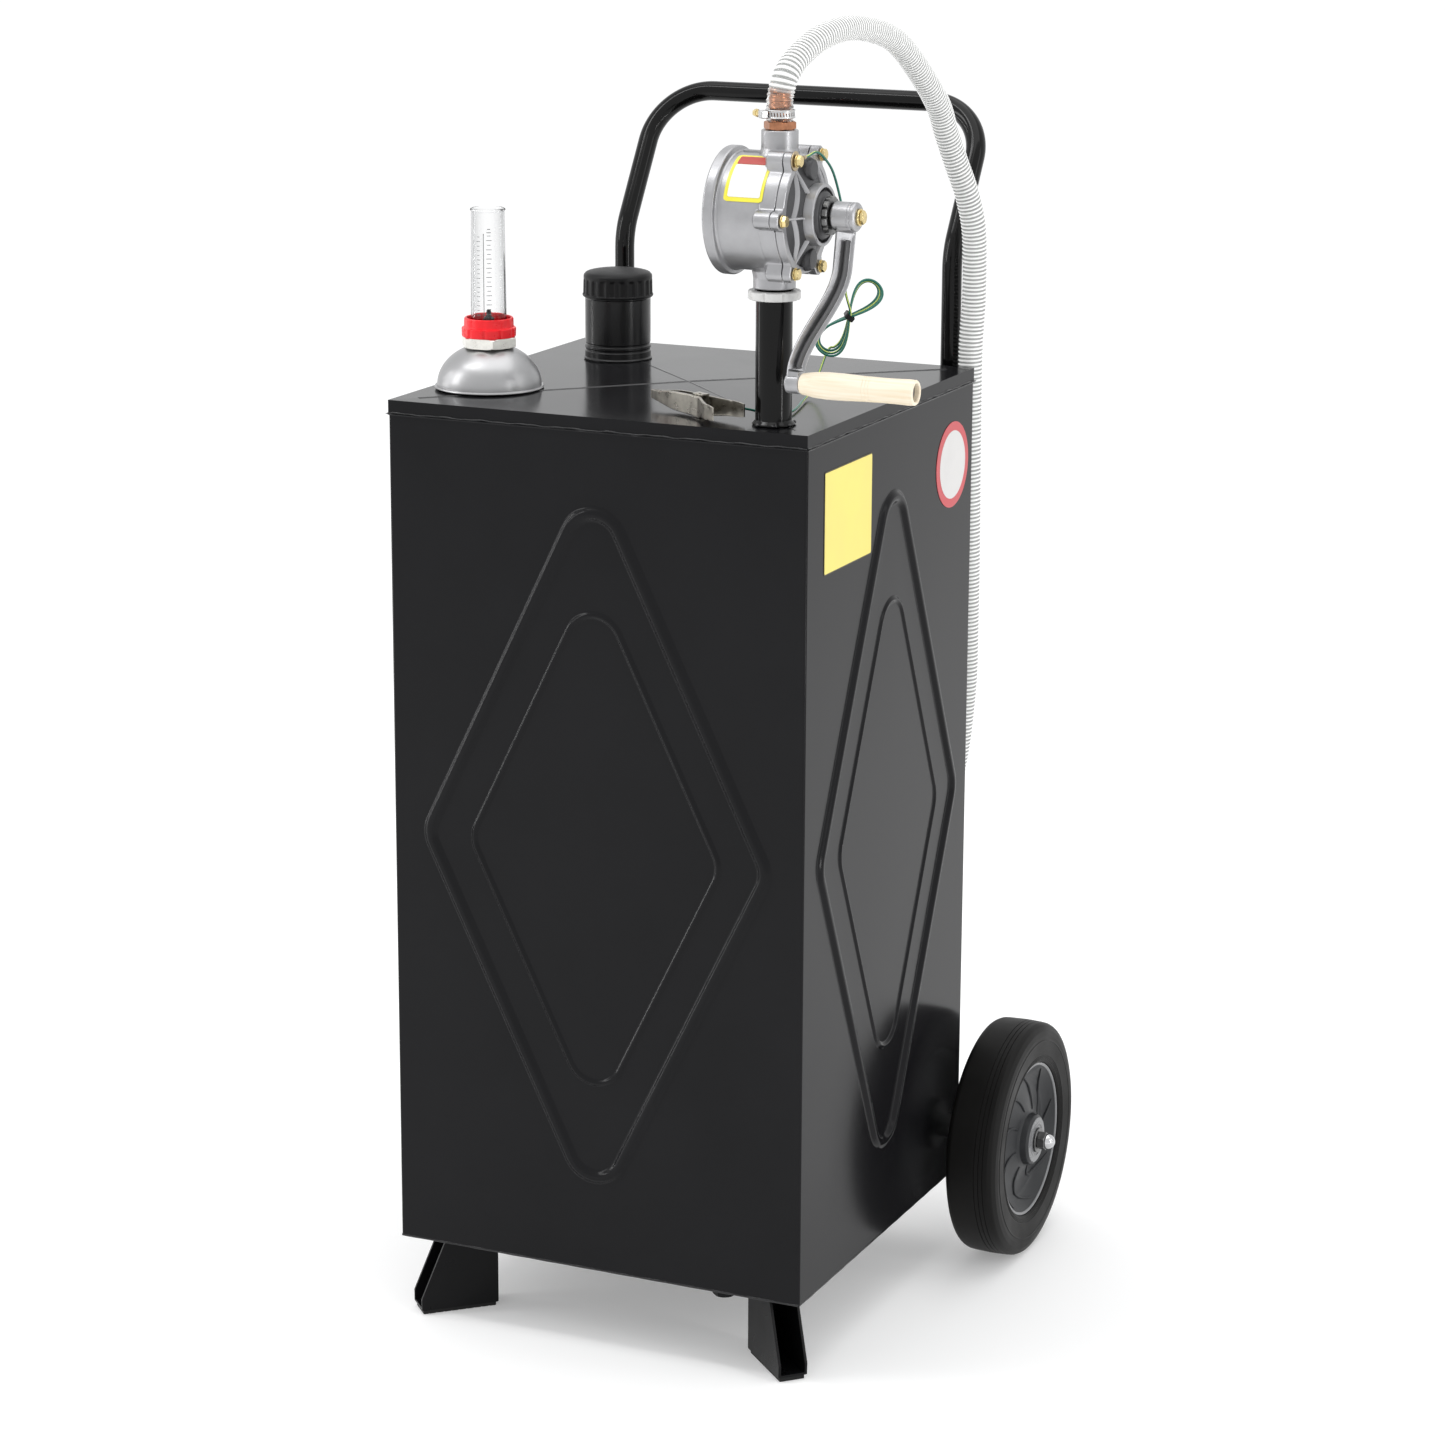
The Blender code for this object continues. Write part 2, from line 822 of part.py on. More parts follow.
def add_pressed_wall(bm, half_width, base, top, place_point):
    """One side of the shell: a flat sheet with two diamond beads. place_point gives a wall point
    its place in space from its distance across, its height and how far it stands out."""
    middle = base + diamond_middle
    outer = (half_width - diamond_side_margin, diamond_half_height)
    inner_share = 1 - inner_diamond_inset / (outer[0] * outer[1] / math.hypot(*outer))
    inner = (outer[0] * inner_share, outer[1] * inner_share)
    half = diamond_bead_width / 2
    small = inner_bead_width / 2
    levels = [(outer, half, 0), (outer, 0, diamond_bead_height), (outer, -half, 0)]
    levels += [(inner, small, 0), (inner, 0, inner_bead_height), (inner, -small, 0)]
    loops = []
    for (across, upright), offset, height in levels:
        outline = rounded_rhombus(across, upright, diamond_corner, offset)
        loops.append([bm.verts.new(place_point(u, middle + v, height)) for u, v in outline])
    count = len(loops[0])
    quarter = count // 4
    w = half_width
    rim = [(w, middle), (w, top), (0, top), (-w, top), (-w, middle), (-w, base), (0, base), (w, base)]
    edge = [bm.verts.new(place_point(u, v, 0)) for u, v in rim]
    for index in range(4):
        around = [edge[2 * index], edge[2 * index + 1], edge[(2 * index + 2) % 8]]
        stretch = [loops[0][(index * quarter + step) % count] for step in range(quarter + 1)]
        bm.faces.new(around + list(reversed(stretch)))
    for first, second in zip(loops, loops[1:]):
        for index in range(count):
            following = (index + 1) % count
            bm.faces.new((first[index], first[following], second[following], second[index]))
    bm.faces.new(loops[-1])


def make_tank_shell():
    bm = bmesh.new()
    w = tank_width / 2
    d = tank_depth / 2
    base = ground_clearance
    top = shell_top
    add_pressed_wall(bm, w, base, top, lambda u, v, out: (u, -d - out, v))
    add_pressed_wall(bm, w, base, top, lambda u, v, out: (-u, d + out, v))
    add_pressed_wall(bm, d, base, top, lambda u, v, out: (w + out, u, v))
    add_pressed_wall(bm, d, base, top, lambda u, v, out: (-w - out, -u, v))
    bottom = [(-w, -d), (-w, 0), (-w, d), (0, d), (w, d), (w, 0), (w, -d), (0, -d)]
    bm.faces.new([bm.verts.new((x, y, base)) for x, y in bottom])
    bmesh.ops.remove_doubles(bm, verts=bm.verts, dist=weld_distance)
    bmesh.ops.recalc_face_normals(bm, faces=bm.faces)
    obj = shade(object_of("tank_shell", bm), math.radians(20))
    fold(obj)
    hole = place(drum("drain_hole", drain_hole, -cut_overrun, cut_overrun, small_steps))
    hole.location = (drain_x, drain_y, ground_clearance)
    return cut(place(obj, black_gloss), hole)


def fold(obj):
    """Rounds the folds of a sheet and gives it its thickness, inwards."""
    bevel = obj.modifiers.new("fold", "BEVEL")
    bevel.width = fold_radius
    bevel.segments = 1
    bevel.limit_method = "ANGLE"
    bevel.angle_limit = math.radians(60)
    solidify = obj.modifiers.new("sheet", "SOLIDIFY")
    solidify.thickness = sheet
    solidify.offset = -1
    solidify.use_even_offset = True
    return obj


def make_tank_lid():
    """A folded lid, with a hole for the filler neck, the gauge and the stand pipe."""
    bm = bmesh.new()
    w = tank_width / 2
    d = tank_depth / 2
    corners = [(-w, -d), (w, -d), (w, d), (-w, d)]
    upper = [bm.verts.new((x, y, tank_top)) for x, y in corners]
    lower = [bm.verts.new((x, y, tank_top - lid_flange)) for x, y in corners]
    middle = bm.verts.new((0, 0, tank_top + lid_rise))
    for index in range(4):
        following = (index + 1) % 4
        bm.faces.new((upper[index], upper[following], middle))
        bm.faces.new((lower[index], lower[following], upper[following], upper[index]))
    bmesh.ops.recalc_face_normals(bm, faces=bm.faces)
    obj = fold(object_of("tank_lid", bm))
    neck_hole = neck_radius - neck_wall / 2
    holes = [(neck_x, neck_y, neck_hole + running_gap), (gauge_x, gauge_y, dome_flat_radius)]
    holes.append((pump_x, pump_y, pipe_bore + (pipe_radius - pipe_bore) / 2 + running_gap))
    for x, y, radius in holes:
        reach = lid_flange
        hole = drum("lid_hole", radius, tank_top - reach, tank_top + reach, round_steps)
        cut(obj, place(hole, location=(x, y, 0)))
    return place(obj, black_gloss)


# Filler neck and cap


def make_filler_neck():
    """The welded neck, whose spigot passes through the lid."""
    seat = seat_on_lid(neck_x, neck_y, neck_radius)
    bore = neck_radius - neck_wall
    spigot = neck_radius - neck_wall / 2
    collar = neck_radius + neck_collar_proud
    profile = [
        (neck_radius, neck_height),
        (neck_radius, neck_collar_height),
        (collar, neck_collar_height),
        (collar, 0),
        (spigot, 0),
        (spigot, -neck_spigot),
        (bore, -neck_spigot),
        (bore, neck_height),
    ]
    obj = shade(turned("filler_neck", profile))
    return place(obj, black_satin, location=(neck_x, neck_y, seat)), seat + neck_height


def make_filler_cap(neck_top):
    """The ribbed cap and the gasket that it presses on the neck. Both hang from empties on the
    screw's axis, so that they can be lifted and turned."""
    lift = add_empty("cap_lift_axis", (neck_x, neck_y, neck_top), frame)
    gasket_low = seat_gap
    gasket_high = gasket_low + gasket_thickness
    washer = ring("cap_gasket", neck_radius, neck_radius - 2 * neck_wall, gasket_low, gasket_high)
    place(shade(washer), black_rubber, lift)
    turn = add_empty("cap_turn_axis", (0, 0, 0), lift)
    inside = gasket_high + seat_gap
    rib_wave = cap_rib_height / 2
    ribs = waved_circle(cap_radius - rib_wave, rib_wave, cap_rib_count, 2)
    hole = circle(neck_radius + cap_bore_clearance, fine_steps)
    top = inside + cap_top
    cap = flat_solid("filler_cap", [ribs, hole], inside - cap_skirt, top - cap_dome / 4)
    profile = [
        (0, top + cap_dome),
        *[(cap_radius * out, top + cap_dome * up) for out, up in cap_crown_shares],
        (cap_radius - cap_rib_height, top - cap_dome / 2),
        (cap_radius - cap_rib_height, inside),
        (0, inside),
    ]
    place(cap, black_plastic, turn)
    return fuse(cap, place(turned("cap_crown", profile, fine_steps), parent=turn))


# Level gauge


def make_gauge_dome():
    seat = seat_on_lid(gauge_x, gauge_y, dome_radius)
    outer = dome_radius - dome_rim * dome_rim_share
    start = math.asin(dome_flat_radius / outer)
    rise = (dome_height - dome_rim) / math.cos(start)
    steps = 4
    arc = []
    for index in range(steps + 1):
        angle = start + (math.pi / 2 - start) * index / steps
        arc.append((outer * math.sin(angle), dome_rim + rise * math.cos(angle)))
    inner = [(r - dome_wall, z - dome_wall * math.cos(start) * (z > dome_rim)) for r, z in arc]
    hole = fitting_stub_radius + running_gap
    profile = [(hole, dome_height)] + arc
    profile += [(dome_radius, dome_rim), (dome_radius, 0), (inner[-1][0], 0)]
    profile += list(reversed(inner[1:-1:2]))
    profile += [(hole, dome_height - dome_wall * 2)]
    obj = shade(turned("gauge_dome", profile))
    return place(obj, dome_silver, location=(gauge_x, gauge_y, seat)), seat + dome_height


def make_gauge_fitting(dome_top):
    """A hexagon that clamps the dome, with a spigot down into it and one up into the tube."""
    low = dome_top + seat_gap
    high = low + fitting_hex_height
    hexagon = drum("gauge_fitting", fitting_hex_radius, low, high, 6)
    place(hexagon, zinc, location=(gauge_x, gauge_y, 0))
    spigot_low = low - fitting_stub_length
    spigot = ring("fitting_spigot", fitting_stub_radius, fitting_bore, spigot_low, high)
    fuse(hexagon, place(spigot, location=(gauge_x, gauge_y, 0)))
    bore = drum("fitting_bore", fitting_bore, spigot_low - cut_overrun, high + cut_overrun)
    cut(hexagon, place(bore, location=(gauge_x, gauge_y, 0)))
    return high, spigot_low


def make_gauge_tube(fitting_top):
    """The clear tube, closed at its top and flanged at its foot, and the lobed collar over it."""
    low = fitting_top + seat_gap
    high = low + collar_height + gauge_tube_height
    flange = collar_radius - collar_wall - running_gap
    bore = gauge_tube_radius - gauge_tube_wall
    top_bore = gauge_tube_top_radius - gauge_tube_wall
    profile = [
        (0, high),
        (gauge_tube_top_radius * gauge_tube_top_share, high),
        (gauge_tube_top_radius, high - gauge_tube_wall),
        (gauge_tube_radius, low + gauge_tube_flange),
        (flange, low + gauge_tube_flange),
        (flange, low),
        (bore, low),
        (top_bore, high - gauge_tube_wall),
        (0, high - gauge_tube_wall),
    ]
    obj = shade(turned("gauge_tube", profile))
    place(obj, clear_plastic, location=(gauge_x, gauge_y, 0))
    lobes = waved_circle(collar_radius, collar_lobe, collar_lobe_count)
    hole = circle(collar_radius - collar_wall)
    collar = flat_solid("gauge_collar", [lobes, hole], low, low + collar_height)
    place(collar, red_plastic, location=(gauge_x, gauge_y, 0))
    return low


def make_gauge_works(spigot_low, tube_low):
    """Inside the tank: a stem with a fork at the tank's half height, the float arm that swings in
    it, and the rod that the arm pushes up into the clear tube."""
    pivot_z = ground_clearance + tank_height / 2
    pivot = (gauge_x - float_pivot_offset, gauge_y - float_arm_side, pivot_z)
    travel = 2 * float_pivot_offset * math.tan(float_swing / 2)
    stem_low = pivot_z + travel / 2 + stem_radius + 4 * float_arm_radius
    stem_high = spigot_low - seat_gap
    bore = stem_radius - stem_wall
    seat_low = stem_high - stem_radius
    guide = rod_radius + running_gap
    profile = [
        (stem_radius, stem_low),
        (stem_radius, seat_low),
        (fitting_stub_radius, seat_low),
        (fitting_stub_radius, stem_high),
        (guide, stem_high),
        (guide, seat_low),
        (bore, seat_low),
        (bore, stem_low),
    ]
    stem = turned("gauge_stem", profile, small_steps)
    place(stem, steel, location=(gauge_x, gauge_y, 0))
    fork_y = float_arm_side + float_arm_radius + running_gap
    strip_low = (-float_pivot_offset - pivot_fork_width / 2, -fork_y - pivot_fork_thickness)
    strip = block(
        "pivot_fork",
        (*strip_low, pivot_z - pivot_fork_width / 2),
        (-float_pivot_offset + pivot_fork_width / 2, -fork_y, stem_low + pivot_fork_width),
    )
    place(strip, location=(gauge_x, gauge_y, 0))
    foot = block(
        "fork_foot",
        (*strip_low, stem_low),
        (stem_radius - stem_wall * 2, -stem_radius + stem_wall / 2, stem_low + pivot_fork_width),
    )
    place(foot, location=(gauge_x, gauge_y, 0))
    fuse(stem, strip)
    fuse(stem, foot)
    eye_hole = float_pin_radius + running_gap
    hole = drum("pivot_hole", eye_hole, -pivot_fork_width, pivot_fork_width, small_steps)
    sideways = (math.pi / 2, 0, 0)
    cut(stem, place(hole, location=(pivot[0], gauge_y - fork_y, pivot_z), rotation=sideways))

    swing = add_empty("float_axis", pivot, frame)
    down = Euler((0, float_rest_angle, 0))
    arm_end = float_arm_length - float_length / 2 + float_length * float_body_share
    arm = tube_mesh("float_arm", [(0, 0, 0), (arm_end, 0, 0)], float_arm_radius)
    place(arm, steel, swing, rotation=down)
    pin_length = float_arm_radius + running_gap * 2 + pivot_fork_thickness + sheet
    pin = drum("float_pin", float_pin_radius, -float_arm_radius, pin_length, small_steps)
    fuse(arm, place(pin, parent=swing, rotation=sideways))
    ball = [
        (0, float_length / 2),
        (float_radius * float_nose_share, float_length * float_nose_end_share),
        (float_radius, float_length * float_body_share),
        (float_radius, -float_length * float_body_share),
        (float_radius * float_nose_share, -float_length * float_nose_end_share),
        (0, -float_length / 2),
    ]
    buoy = turned("gauge_float", ball, small_steps)
    along = Matrix.Translation((float_arm_length, 0, 0)) @ Matrix.Rotation(math.pi / 2, 4, "Y")
    bake(buoy, Euler(down).to_matrix().to_4x4() @ along)
    place(shade(buoy), black_rubber, swing)
    socket = float_arm_radius + seat_gap
    socket_end = arm_end + seat_gap
    hollow = tube_mesh("float_socket", [(float_arm_length / 2, 0, 0), (socket_end, 0, 0)], socket)
    cut(buoy, place(hollow, parent=swing, rotation=down))

    rise = add_empty("indicator_axis", (gauge_x, gauge_y, tube_low), frame)
    reach_down = tube_low - (pivot_z - travel / 2)
    tip_low = gauge_tube_flange
    profile = [
        (0, tip_low + tip_height),
        *[(tip_radius * out, tip_low + tip_height * up) for out, up in tip_shares],
        (tip_radius, tip_low),
        (rod_radius, tip_low),
        (rod_radius, -reach_down),
        (0, -reach_down),
    ]
    place(shade(turned("gauge_indicator", profile, small_steps)), black_plastic, rise)
    return pivot, travel


def bake(obj, transform):
    """Gives an object a mesh with its modifiers applied and a transform in its points."""
    bpy.context.view_layer.update()
    graph = bpy.context.evaluated_depsgraph_get()
    mesh = bpy.data.meshes.new_from_object(obj.evaluated_get(graph))
    mesh.transform(transform)
    obj.modifiers.clear()
    obj.data = mesh
    return obj


# Stand pipe, lock nut and suction tube


def make_stand_pipe():
    """The black pipe welded on the lid. Its thread goes into the pump's lower port."""
    seat = seat_on_lid(pump_x, pump_y, pipe_radius)
    spigot = pipe_bore + (pipe_radius - pipe_bore) / 2
    thread = pipe_radius - running_gap
    profile = [
        (thread, pipe_height + pipe_thread),
        (thread, pipe_height),
        (pipe_radius, pipe_height - running_gap),
        (pipe_radius, pipe_weld),
        (pipe_radius + pipe_weld * pipe_weld_share, 0),
        (spigot, 0),
        (spigot, -neck_spigot),
        (pipe_bore, -neck_spigot),
        (pipe_bore, pipe_height + pipe_thread),
    ]
    here = (pump_x, pump_y, seat)
    place(shade(turned("stand_pipe", profile)), black_satin, location=here)
    notched = waved_circle(lock_nut_radius - lock_nut_notch, lock_nut_notch, lock_nut_notches, 4)
    hole = circle(pipe_radius + running_gap)
    high = pipe_height - seat_gap
    nut = flat_solid("pipe_lock_nut", [notched, hole], high - lock_nut_height, high)
    place(nut, zinc, location=here)
    return seat + pipe_height + pipe_thread


def make_suction_tube(pipe_top):
    """The tube that hangs in the stand pipe by its flange and reaches down to the tank's floor."""
    flange = pipe_top + seat_gap
    low = ground_clearance + sheet + suction_foot_gap
    bore = suction_radius - suction_wall
    strainer_top = low + strainer_height
    profile = [
        (pipe_radius - running_gap * 2, flange + suction_flange),
        (pipe_radius - running_gap * 2, flange),
        (suction_radius, flange),
        (suction_radius, strainer_top + suction_wall * 2),
        (strainer_radius, strainer_top),
        (strainer_radius, low),
        (strainer_radius - suction_wall, low),
        (strainer_radius - suction_wall, strainer_top - suction_wall),
        (bore, strainer_top + suction_wall),
        (bore, flange + suction_flange),
    ]
    obj = place(turned("suction_tube", profile, small_steps), white_plastic)
    obj.location = (pump_x, pump_y, 0)
    slot = block(
        "strainer_slot",
        (-suction_wall, -strainer_radius - cut_overrun, low - cut_overrun),
        (suction_wall, strainer_radius + cut_overrun, low + strainer_height * strainer_slot_share),
    )
    slots = copies("strainer_slots", slot, turned_about_z(4)[:2])
    cut(obj, place(slots, location=(pump_x, pump_y, 0)))
    return flange + suction_flange


# Pump. Local Z of its turned pieces lies along world X

along_x = (0, math.pi / 2, 0)
pump_axis = (pump_x, pump_y, pump_z)


def on_lug_circle(name, solid):
    """The solid six times over, on the circle of the cover's bolts."""
    turns = turned_about_z(lug_count, math.pi / 2)
    outwards = Matrix.Translation((lug_circle, 0, 0))
    return copies(name, solid, [turn @ outwards for turn in turns])


def make_pump_body(suction_top):
    """The cast body: an off-centre chamber, a back flange, six lugs and the two ports."""
    edge = fold_radius / 2
    profile = [
        (0, body_front),
        (body_radius, body_front),
        (body_radius, -body_back + body_flange + edge),
        (body_flange_radius, -body_back + body_flange),
        (body_flange_radius, -body_back),
        (body_radius - body_flange, -body_back),
        (body_radius - body_flange - edge, -body_back + edge),
        (0, -body_back + edge),
    ]
    obj = turned("pump_body", profile, fine_steps)
    place(obj, cast_silver, location=pump_axis, rotation=along_x)
    lug = drum("body_lug", lug_radius, body_front - lug_length, body_front, bolt_steps + 2)
    fuse(obj, place(on_lug_circle("body_lugs", lug), location=pump_axis, rotation=along_x))
    upper = turned(
        "top_port",
        [
            (0, top_port_height),
            (top_port_radius, top_port_height),
            (top_port_radius, body_radius * port_root_share),
            (0, body_radius * port_root_share),
        ],
        small_steps + 2,
    )
    fuse(obj, place(upper, location=(pump_x + top_port_shift, pump_y, pump_z)))
    low = -bottom_port_height
    root = -body_radius * port_root_share
    lower = drum("bottom_port", bottom_port_radius, low, root, small_steps + 2)
    fuse(obj, place(lower, location=pump_axis))
    chamber_end = -body_back + body_back_wall
    chamber = drum("chamber", chamber_radius, chamber_end, body_front + cut_overrun, fine_steps)
    lifted = (pump_x, pump_y, pump_z + chamber_offset)
    cut(obj, place(chamber, location=lifted, rotation=along_x))
    outlet = drum("outlet_bore", port_bore, 0, top_port_height + cut_overrun, small_steps)
    cut(obj, place(outlet, location=(pump_x + top_port_shift, pump_y, pump_z)))
    inlet = drum("inlet_bore", port_bore, -bottom_port_height - cut_overrun, 0, small_steps)
    cut(obj, place(inlet, location=pump_axis))
    socket_depth = suction_top + seat_gap - (pump_z - bottom_port_height)
    socket = drum(
        "port_socket",
        pipe_radius,
        -bottom_port_height - cut_overrun,
        -bottom_port_height + socket_depth,
    )
    cut(obj, place(socket, location=pump_axis))
    hole = drum("body_bolt_hole", bolt_shank_radius + running_gap, 0, body_front + cut_overrun, bolt_steps)
    cut(obj, place(on_lug_circle("body_bolt_holes", hole), location=pump_axis, rotation=along_x))
    return shade(obj)


def make_pump_cover():
    """The cast cover: a flange with lugs, a sloping web with ribs, and a dished hub."""
    back = body_front + seat_gap
    front = back + cover_flange
    web_rise = cover_dish_front - front
    edge = fold_radius / 2
    inner = cover_dish_radius - cover_dish_rim
    ring_share = (cover_web_radius - cover_ring_radius) / (cover_web_radius - cover_dish_radius)
    ring_z = front - cover_web_thickness / 2 + web_rise / 2 * ring_share
    profile = [
        (shaft_radius + running_gap, cover_boss_front),
        (cover_boss_radius, cover_boss_front),
        (cover_boss_radius, cover_dish_front - cover_dish_rim),
        (inner, cover_dish_front - cover_dish_rim),
        (inner, cover_dish_front),
        (cover_dish_radius, cover_dish_front),
        (cover_dish_radius, front + web_rise / 2 - cover_web_thickness / 2),
        (cover_ring_radius, ring_z),
        (cover_web_radius, front - cover_web_thickness / 2),
        (cover_web_radius, front),
        (cover_radius, front),
        (cover_radius, back),
        (shaft_radius + running_gap, back),
    ]
    obj = turned("pump_cover", profile, fine_steps)
    place(obj, cast_silver, location=pump_axis, rotation=along_x)
    lug = drum("cover_lug", lug_radius, back, front + edge, bolt_steps + 2)
    fuse(obj, place(on_lug_circle("cover_lugs", lug), location=pump_axis, rotation=along_x))
    rib_foot = front - cover_web_thickness
    rib_outline = [
        (inner + cover_dish_rim / 2, rib_foot),
        (cover_web_radius + edge, rib_foot),
        (cover_web_radius + edge, front - edge / 2),
        (inner + cover_dish_rim / 2, cover_dish_front - edge),
    ]
    half = cover_rib_thickness / 2
    rib = loft("cover_rib", [[(r, side, z) for r, z in rib_outline] for side in (-half, half)])
    ribs = copies("cover_ribs", rib, turned_about_z(cover_rib_count, math.pi / 2))
    fuse(obj, place(ribs, location=pump_axis, rotation=along_x))
    hole_low = back - cut_overrun
    hole_high = front + edge + cut_overrun
    hole = drum("cover_bolt_hole", bolt_shank_radius + running_gap, hole_low, hole_high, bolt_steps)
    cut(obj, place(on_lug_circle("cover_bolt_holes", hole), location=pump_axis, rotation=along_x))
    shade(obj)
    return front + edge


def make_cover_bolts(lug_front):
    """Six hexagon bolts. The ring terminal lifts the head of one."""
    first = None
    for index in range(lug_count):
        angle = math.pi / 2 + 2 * math.pi * index / lug_count
        extra = terminal_thickness + seat_gap if index == terminal_bolt else 0
        low = lug_front + seat_gap + extra
        y = lug_circle * math.sin(angle)
        z = -lug_circle * math.cos(angle)
        here = (pump_x + low, pump_y + y, pump_z + z)
        name = f"cover_bolt_{index + 1}"
        if first:
            copy_of(name, first, yellow_zinc, location=here, rotation=along_x)
            continue
        first = drum(name, bolt_head_radius, 0, bolt_head_height, 6)
        place(first, yellow_zinc, location=here, rotation=along_x)
        shank_high = bolt_head_height / 2
        shank = drum("bolt_shank", bolt_shank_radius, -bolt_length, shank_high, bolt_steps)
        bake_union(first, shank)


def bake_union(target, other):
    """Joins another solid into the target's own mesh, so that copies of the target share it."""
    place(other, location=target.location, rotation=target.rotation_euler)
    fuse(target, other)
    bake(target, Matrix.Identity(4))
    bpy.data.objects.remove(other, do_unlink=True)
    return target


def make_rotor(hub_front):
    """The slotted rotor with its shaft, and the vanes in its slots, on the crank's axis."""
    back = -body_back + body_back_wall + running_gap
    front = body_front - running_gap
    near = vane_offset - rotor_slot / 2
    far = vane_offset + rotor_slot / 2
    start = math.asin(far / rotor_radius)
    end = math.asin(near / rotor_radius)
    floor = rotor_radius - rotor_slot_depth
    share = 2 * math.pi / vane_count
    steps = fine_steps // vane_count
    outline = []
    for index in range(vane_count):
        turn = Matrix.Rotation(share * index, 2)
        outline.append(turn @ Vector((floor, near)))
        outline.append(turn @ Vector((floor, far)))
        for step in range(steps + 1):
            angle = start + (share + end - start) * step / steps
            reach = Vector((math.cos(angle), math.sin(angle))) * rotor_radius
            outline.append(turn @ reach)
    obj = flat_solid("pump_rotor", [outline], back, front)
    place(obj, steel, crank_turn)
    shaft = drum("rotor_shaft", shaft_radius, front - cut_overrun, hub_front, small_steps)
    fuse(obj, place(shaft, parent=crank_turn))
    vane = block(
        "vane_1",
        (floor + seat_gap, near + seat_gap, back),
        (floor + vane_length, far - seat_gap, front),
    )
    place(vane, black_plastic, crank_turn)
    for index in range(1, vane_count):
        turn = (0, 0, 2 * math.pi * index / vane_count)
        copy_of(f"vane_{index + 1}", vane, black_plastic, crank_turn, rotation=turn)


def make_packing_nut():
    """The gland nut round the shaft, in front of the cover's hub."""
    low = cover_boss_front + seat_gap
    notched = waved_circle(packing_radius - collar_lobe / 2, collar_lobe / 2, lock_nut_notches)
    hole = circle(shaft_radius + running_gap, small_steps)
    obj = flat_solid("packing_nut", [notched, hole], low, low + packing_length)
    return place(obj, steel, location=pump_axis, rotation=along_x)


# Crank


def make_crank():
    """The cast arm swings in by an S bend from its hub to its boss, so that the grip stays near
    the pump. It is made pointing down, along local X, and its empty holds it at its rest angle."""
    hub_middle = crank_hub_back + crank_hub_length / 2
    hub_front = crank_hub_back + crank_hub_length
    edge = fold_radius / 2
    hub = turned(
        "crank_arm",
        [
            (shaft_radius + seat_gap, hub_front),
            (crank_hub_radius - edge, hub_front),
            (crank_hub_radius, hub_front - edge),
            (crank_hub_radius, crank_hub_back),
            (shaft_radius + seat_gap, crank_hub_back),
        ],
    )
    place(hub, cast_silver, crank_turn)
    sections = []
    stations = 7
    start = crank_hub_radius * arm_start_share
    end = crank_radius - crank_boss_radius * arm_end_share
    for index in range(stations):
        along = index / (stations - 1)
        distance = start + (end - start) * along
        part = min(max((along - bend_start_share) / bend_share, 0), 1)
        swing = part * part * (3 - 2 * part)
        middle = hub_middle + (crank_boss_middle - hub_middle) * swing
        steepness = 6 * part * (1 - part) / (bend_share * (end - start))
        slope = (crank_boss_middle - hub_middle) * steepness
        lean = math.atan(slope)
        width = arm_root_width + (arm_tip_width - arm_root_width) * along
        depth = arm_root_depth + (arm_tip_depth - arm_root_depth) * along
        sections.append(arm_section(distance, middle, lean, width / 2, depth / 2))
    fuse(hub, place(loft("arm_blade", sections), parent=crank_turn))
    boss_low = crank_boss_middle - crank_boss_length / 2
    boss_high = crank_boss_middle + crank_boss_length / 2
    boss = drum("crank_boss", crank_boss_radius, boss_low, boss_high, small_steps)
    fuse(hub, place(boss, parent=crank_turn, location=(crank_radius, 0, 0)))
    bore_high = hub_front + cut_overrun
    bore_low = crank_hub_back - cut_overrun
    bore = drum("hub_bore", shaft_radius + seat_gap, bore_low, bore_high, small_steps)
    cut(hub, place(bore, parent=crank_turn))
    pin_hole = spindle_radius + seat_gap
    hole = drum("boss_bore", pin_hole, boss_low - cut_overrun, boss_high + cut_overrun, small_steps)
    cut(hub, place(hole, parent=crank_turn, location=(crank_radius, 0, 0)))
    shade(hub)

    head = drum("crank_bolt", crank_bolt_radius * crank_bolt_hex_share, 0, crank_bolt_height, 6)
    washer_low = hub_front + seat_gap
    place(head, yellow_zinc, crank_turn, location=(0, 0, washer_low))
    washer = drum("bolt_washer", crank_bolt_radius, 0, crank_bolt_height / 3, small_steps)
    fuse(head, place(washer, parent=crank_turn, location=(0, 0, washer_low)))
    make_grip(boss_low, boss_high)
    return hub_front


def arm_section(distance, middle, lean, half_width, half_depth):
    """One section of the arm, square to its run, with a shallow channel down its front face."""
    edge = half_width * arm_edge_share
    channel = half_width * arm_channel_share
    floor = half_depth * arm_floor_share
    back_edge = -half_depth * arm_back_edge_share
    outline = [
        (-half_width, back_edge),
        (-edge, -half_depth),
        (edge, -half_depth),
        (half_width, back_edge),
        (half_width, half_depth),
        (edge, half_depth),
        (channel, floor),
        (-channel, floor),
        (-edge, half_depth),
        (-half_width, half_depth),
    ]
    points = []
    for across, out in outline:
        points.append((distance - out * math.sin(lean), across, middle + out * math.cos(lean)))
    return points


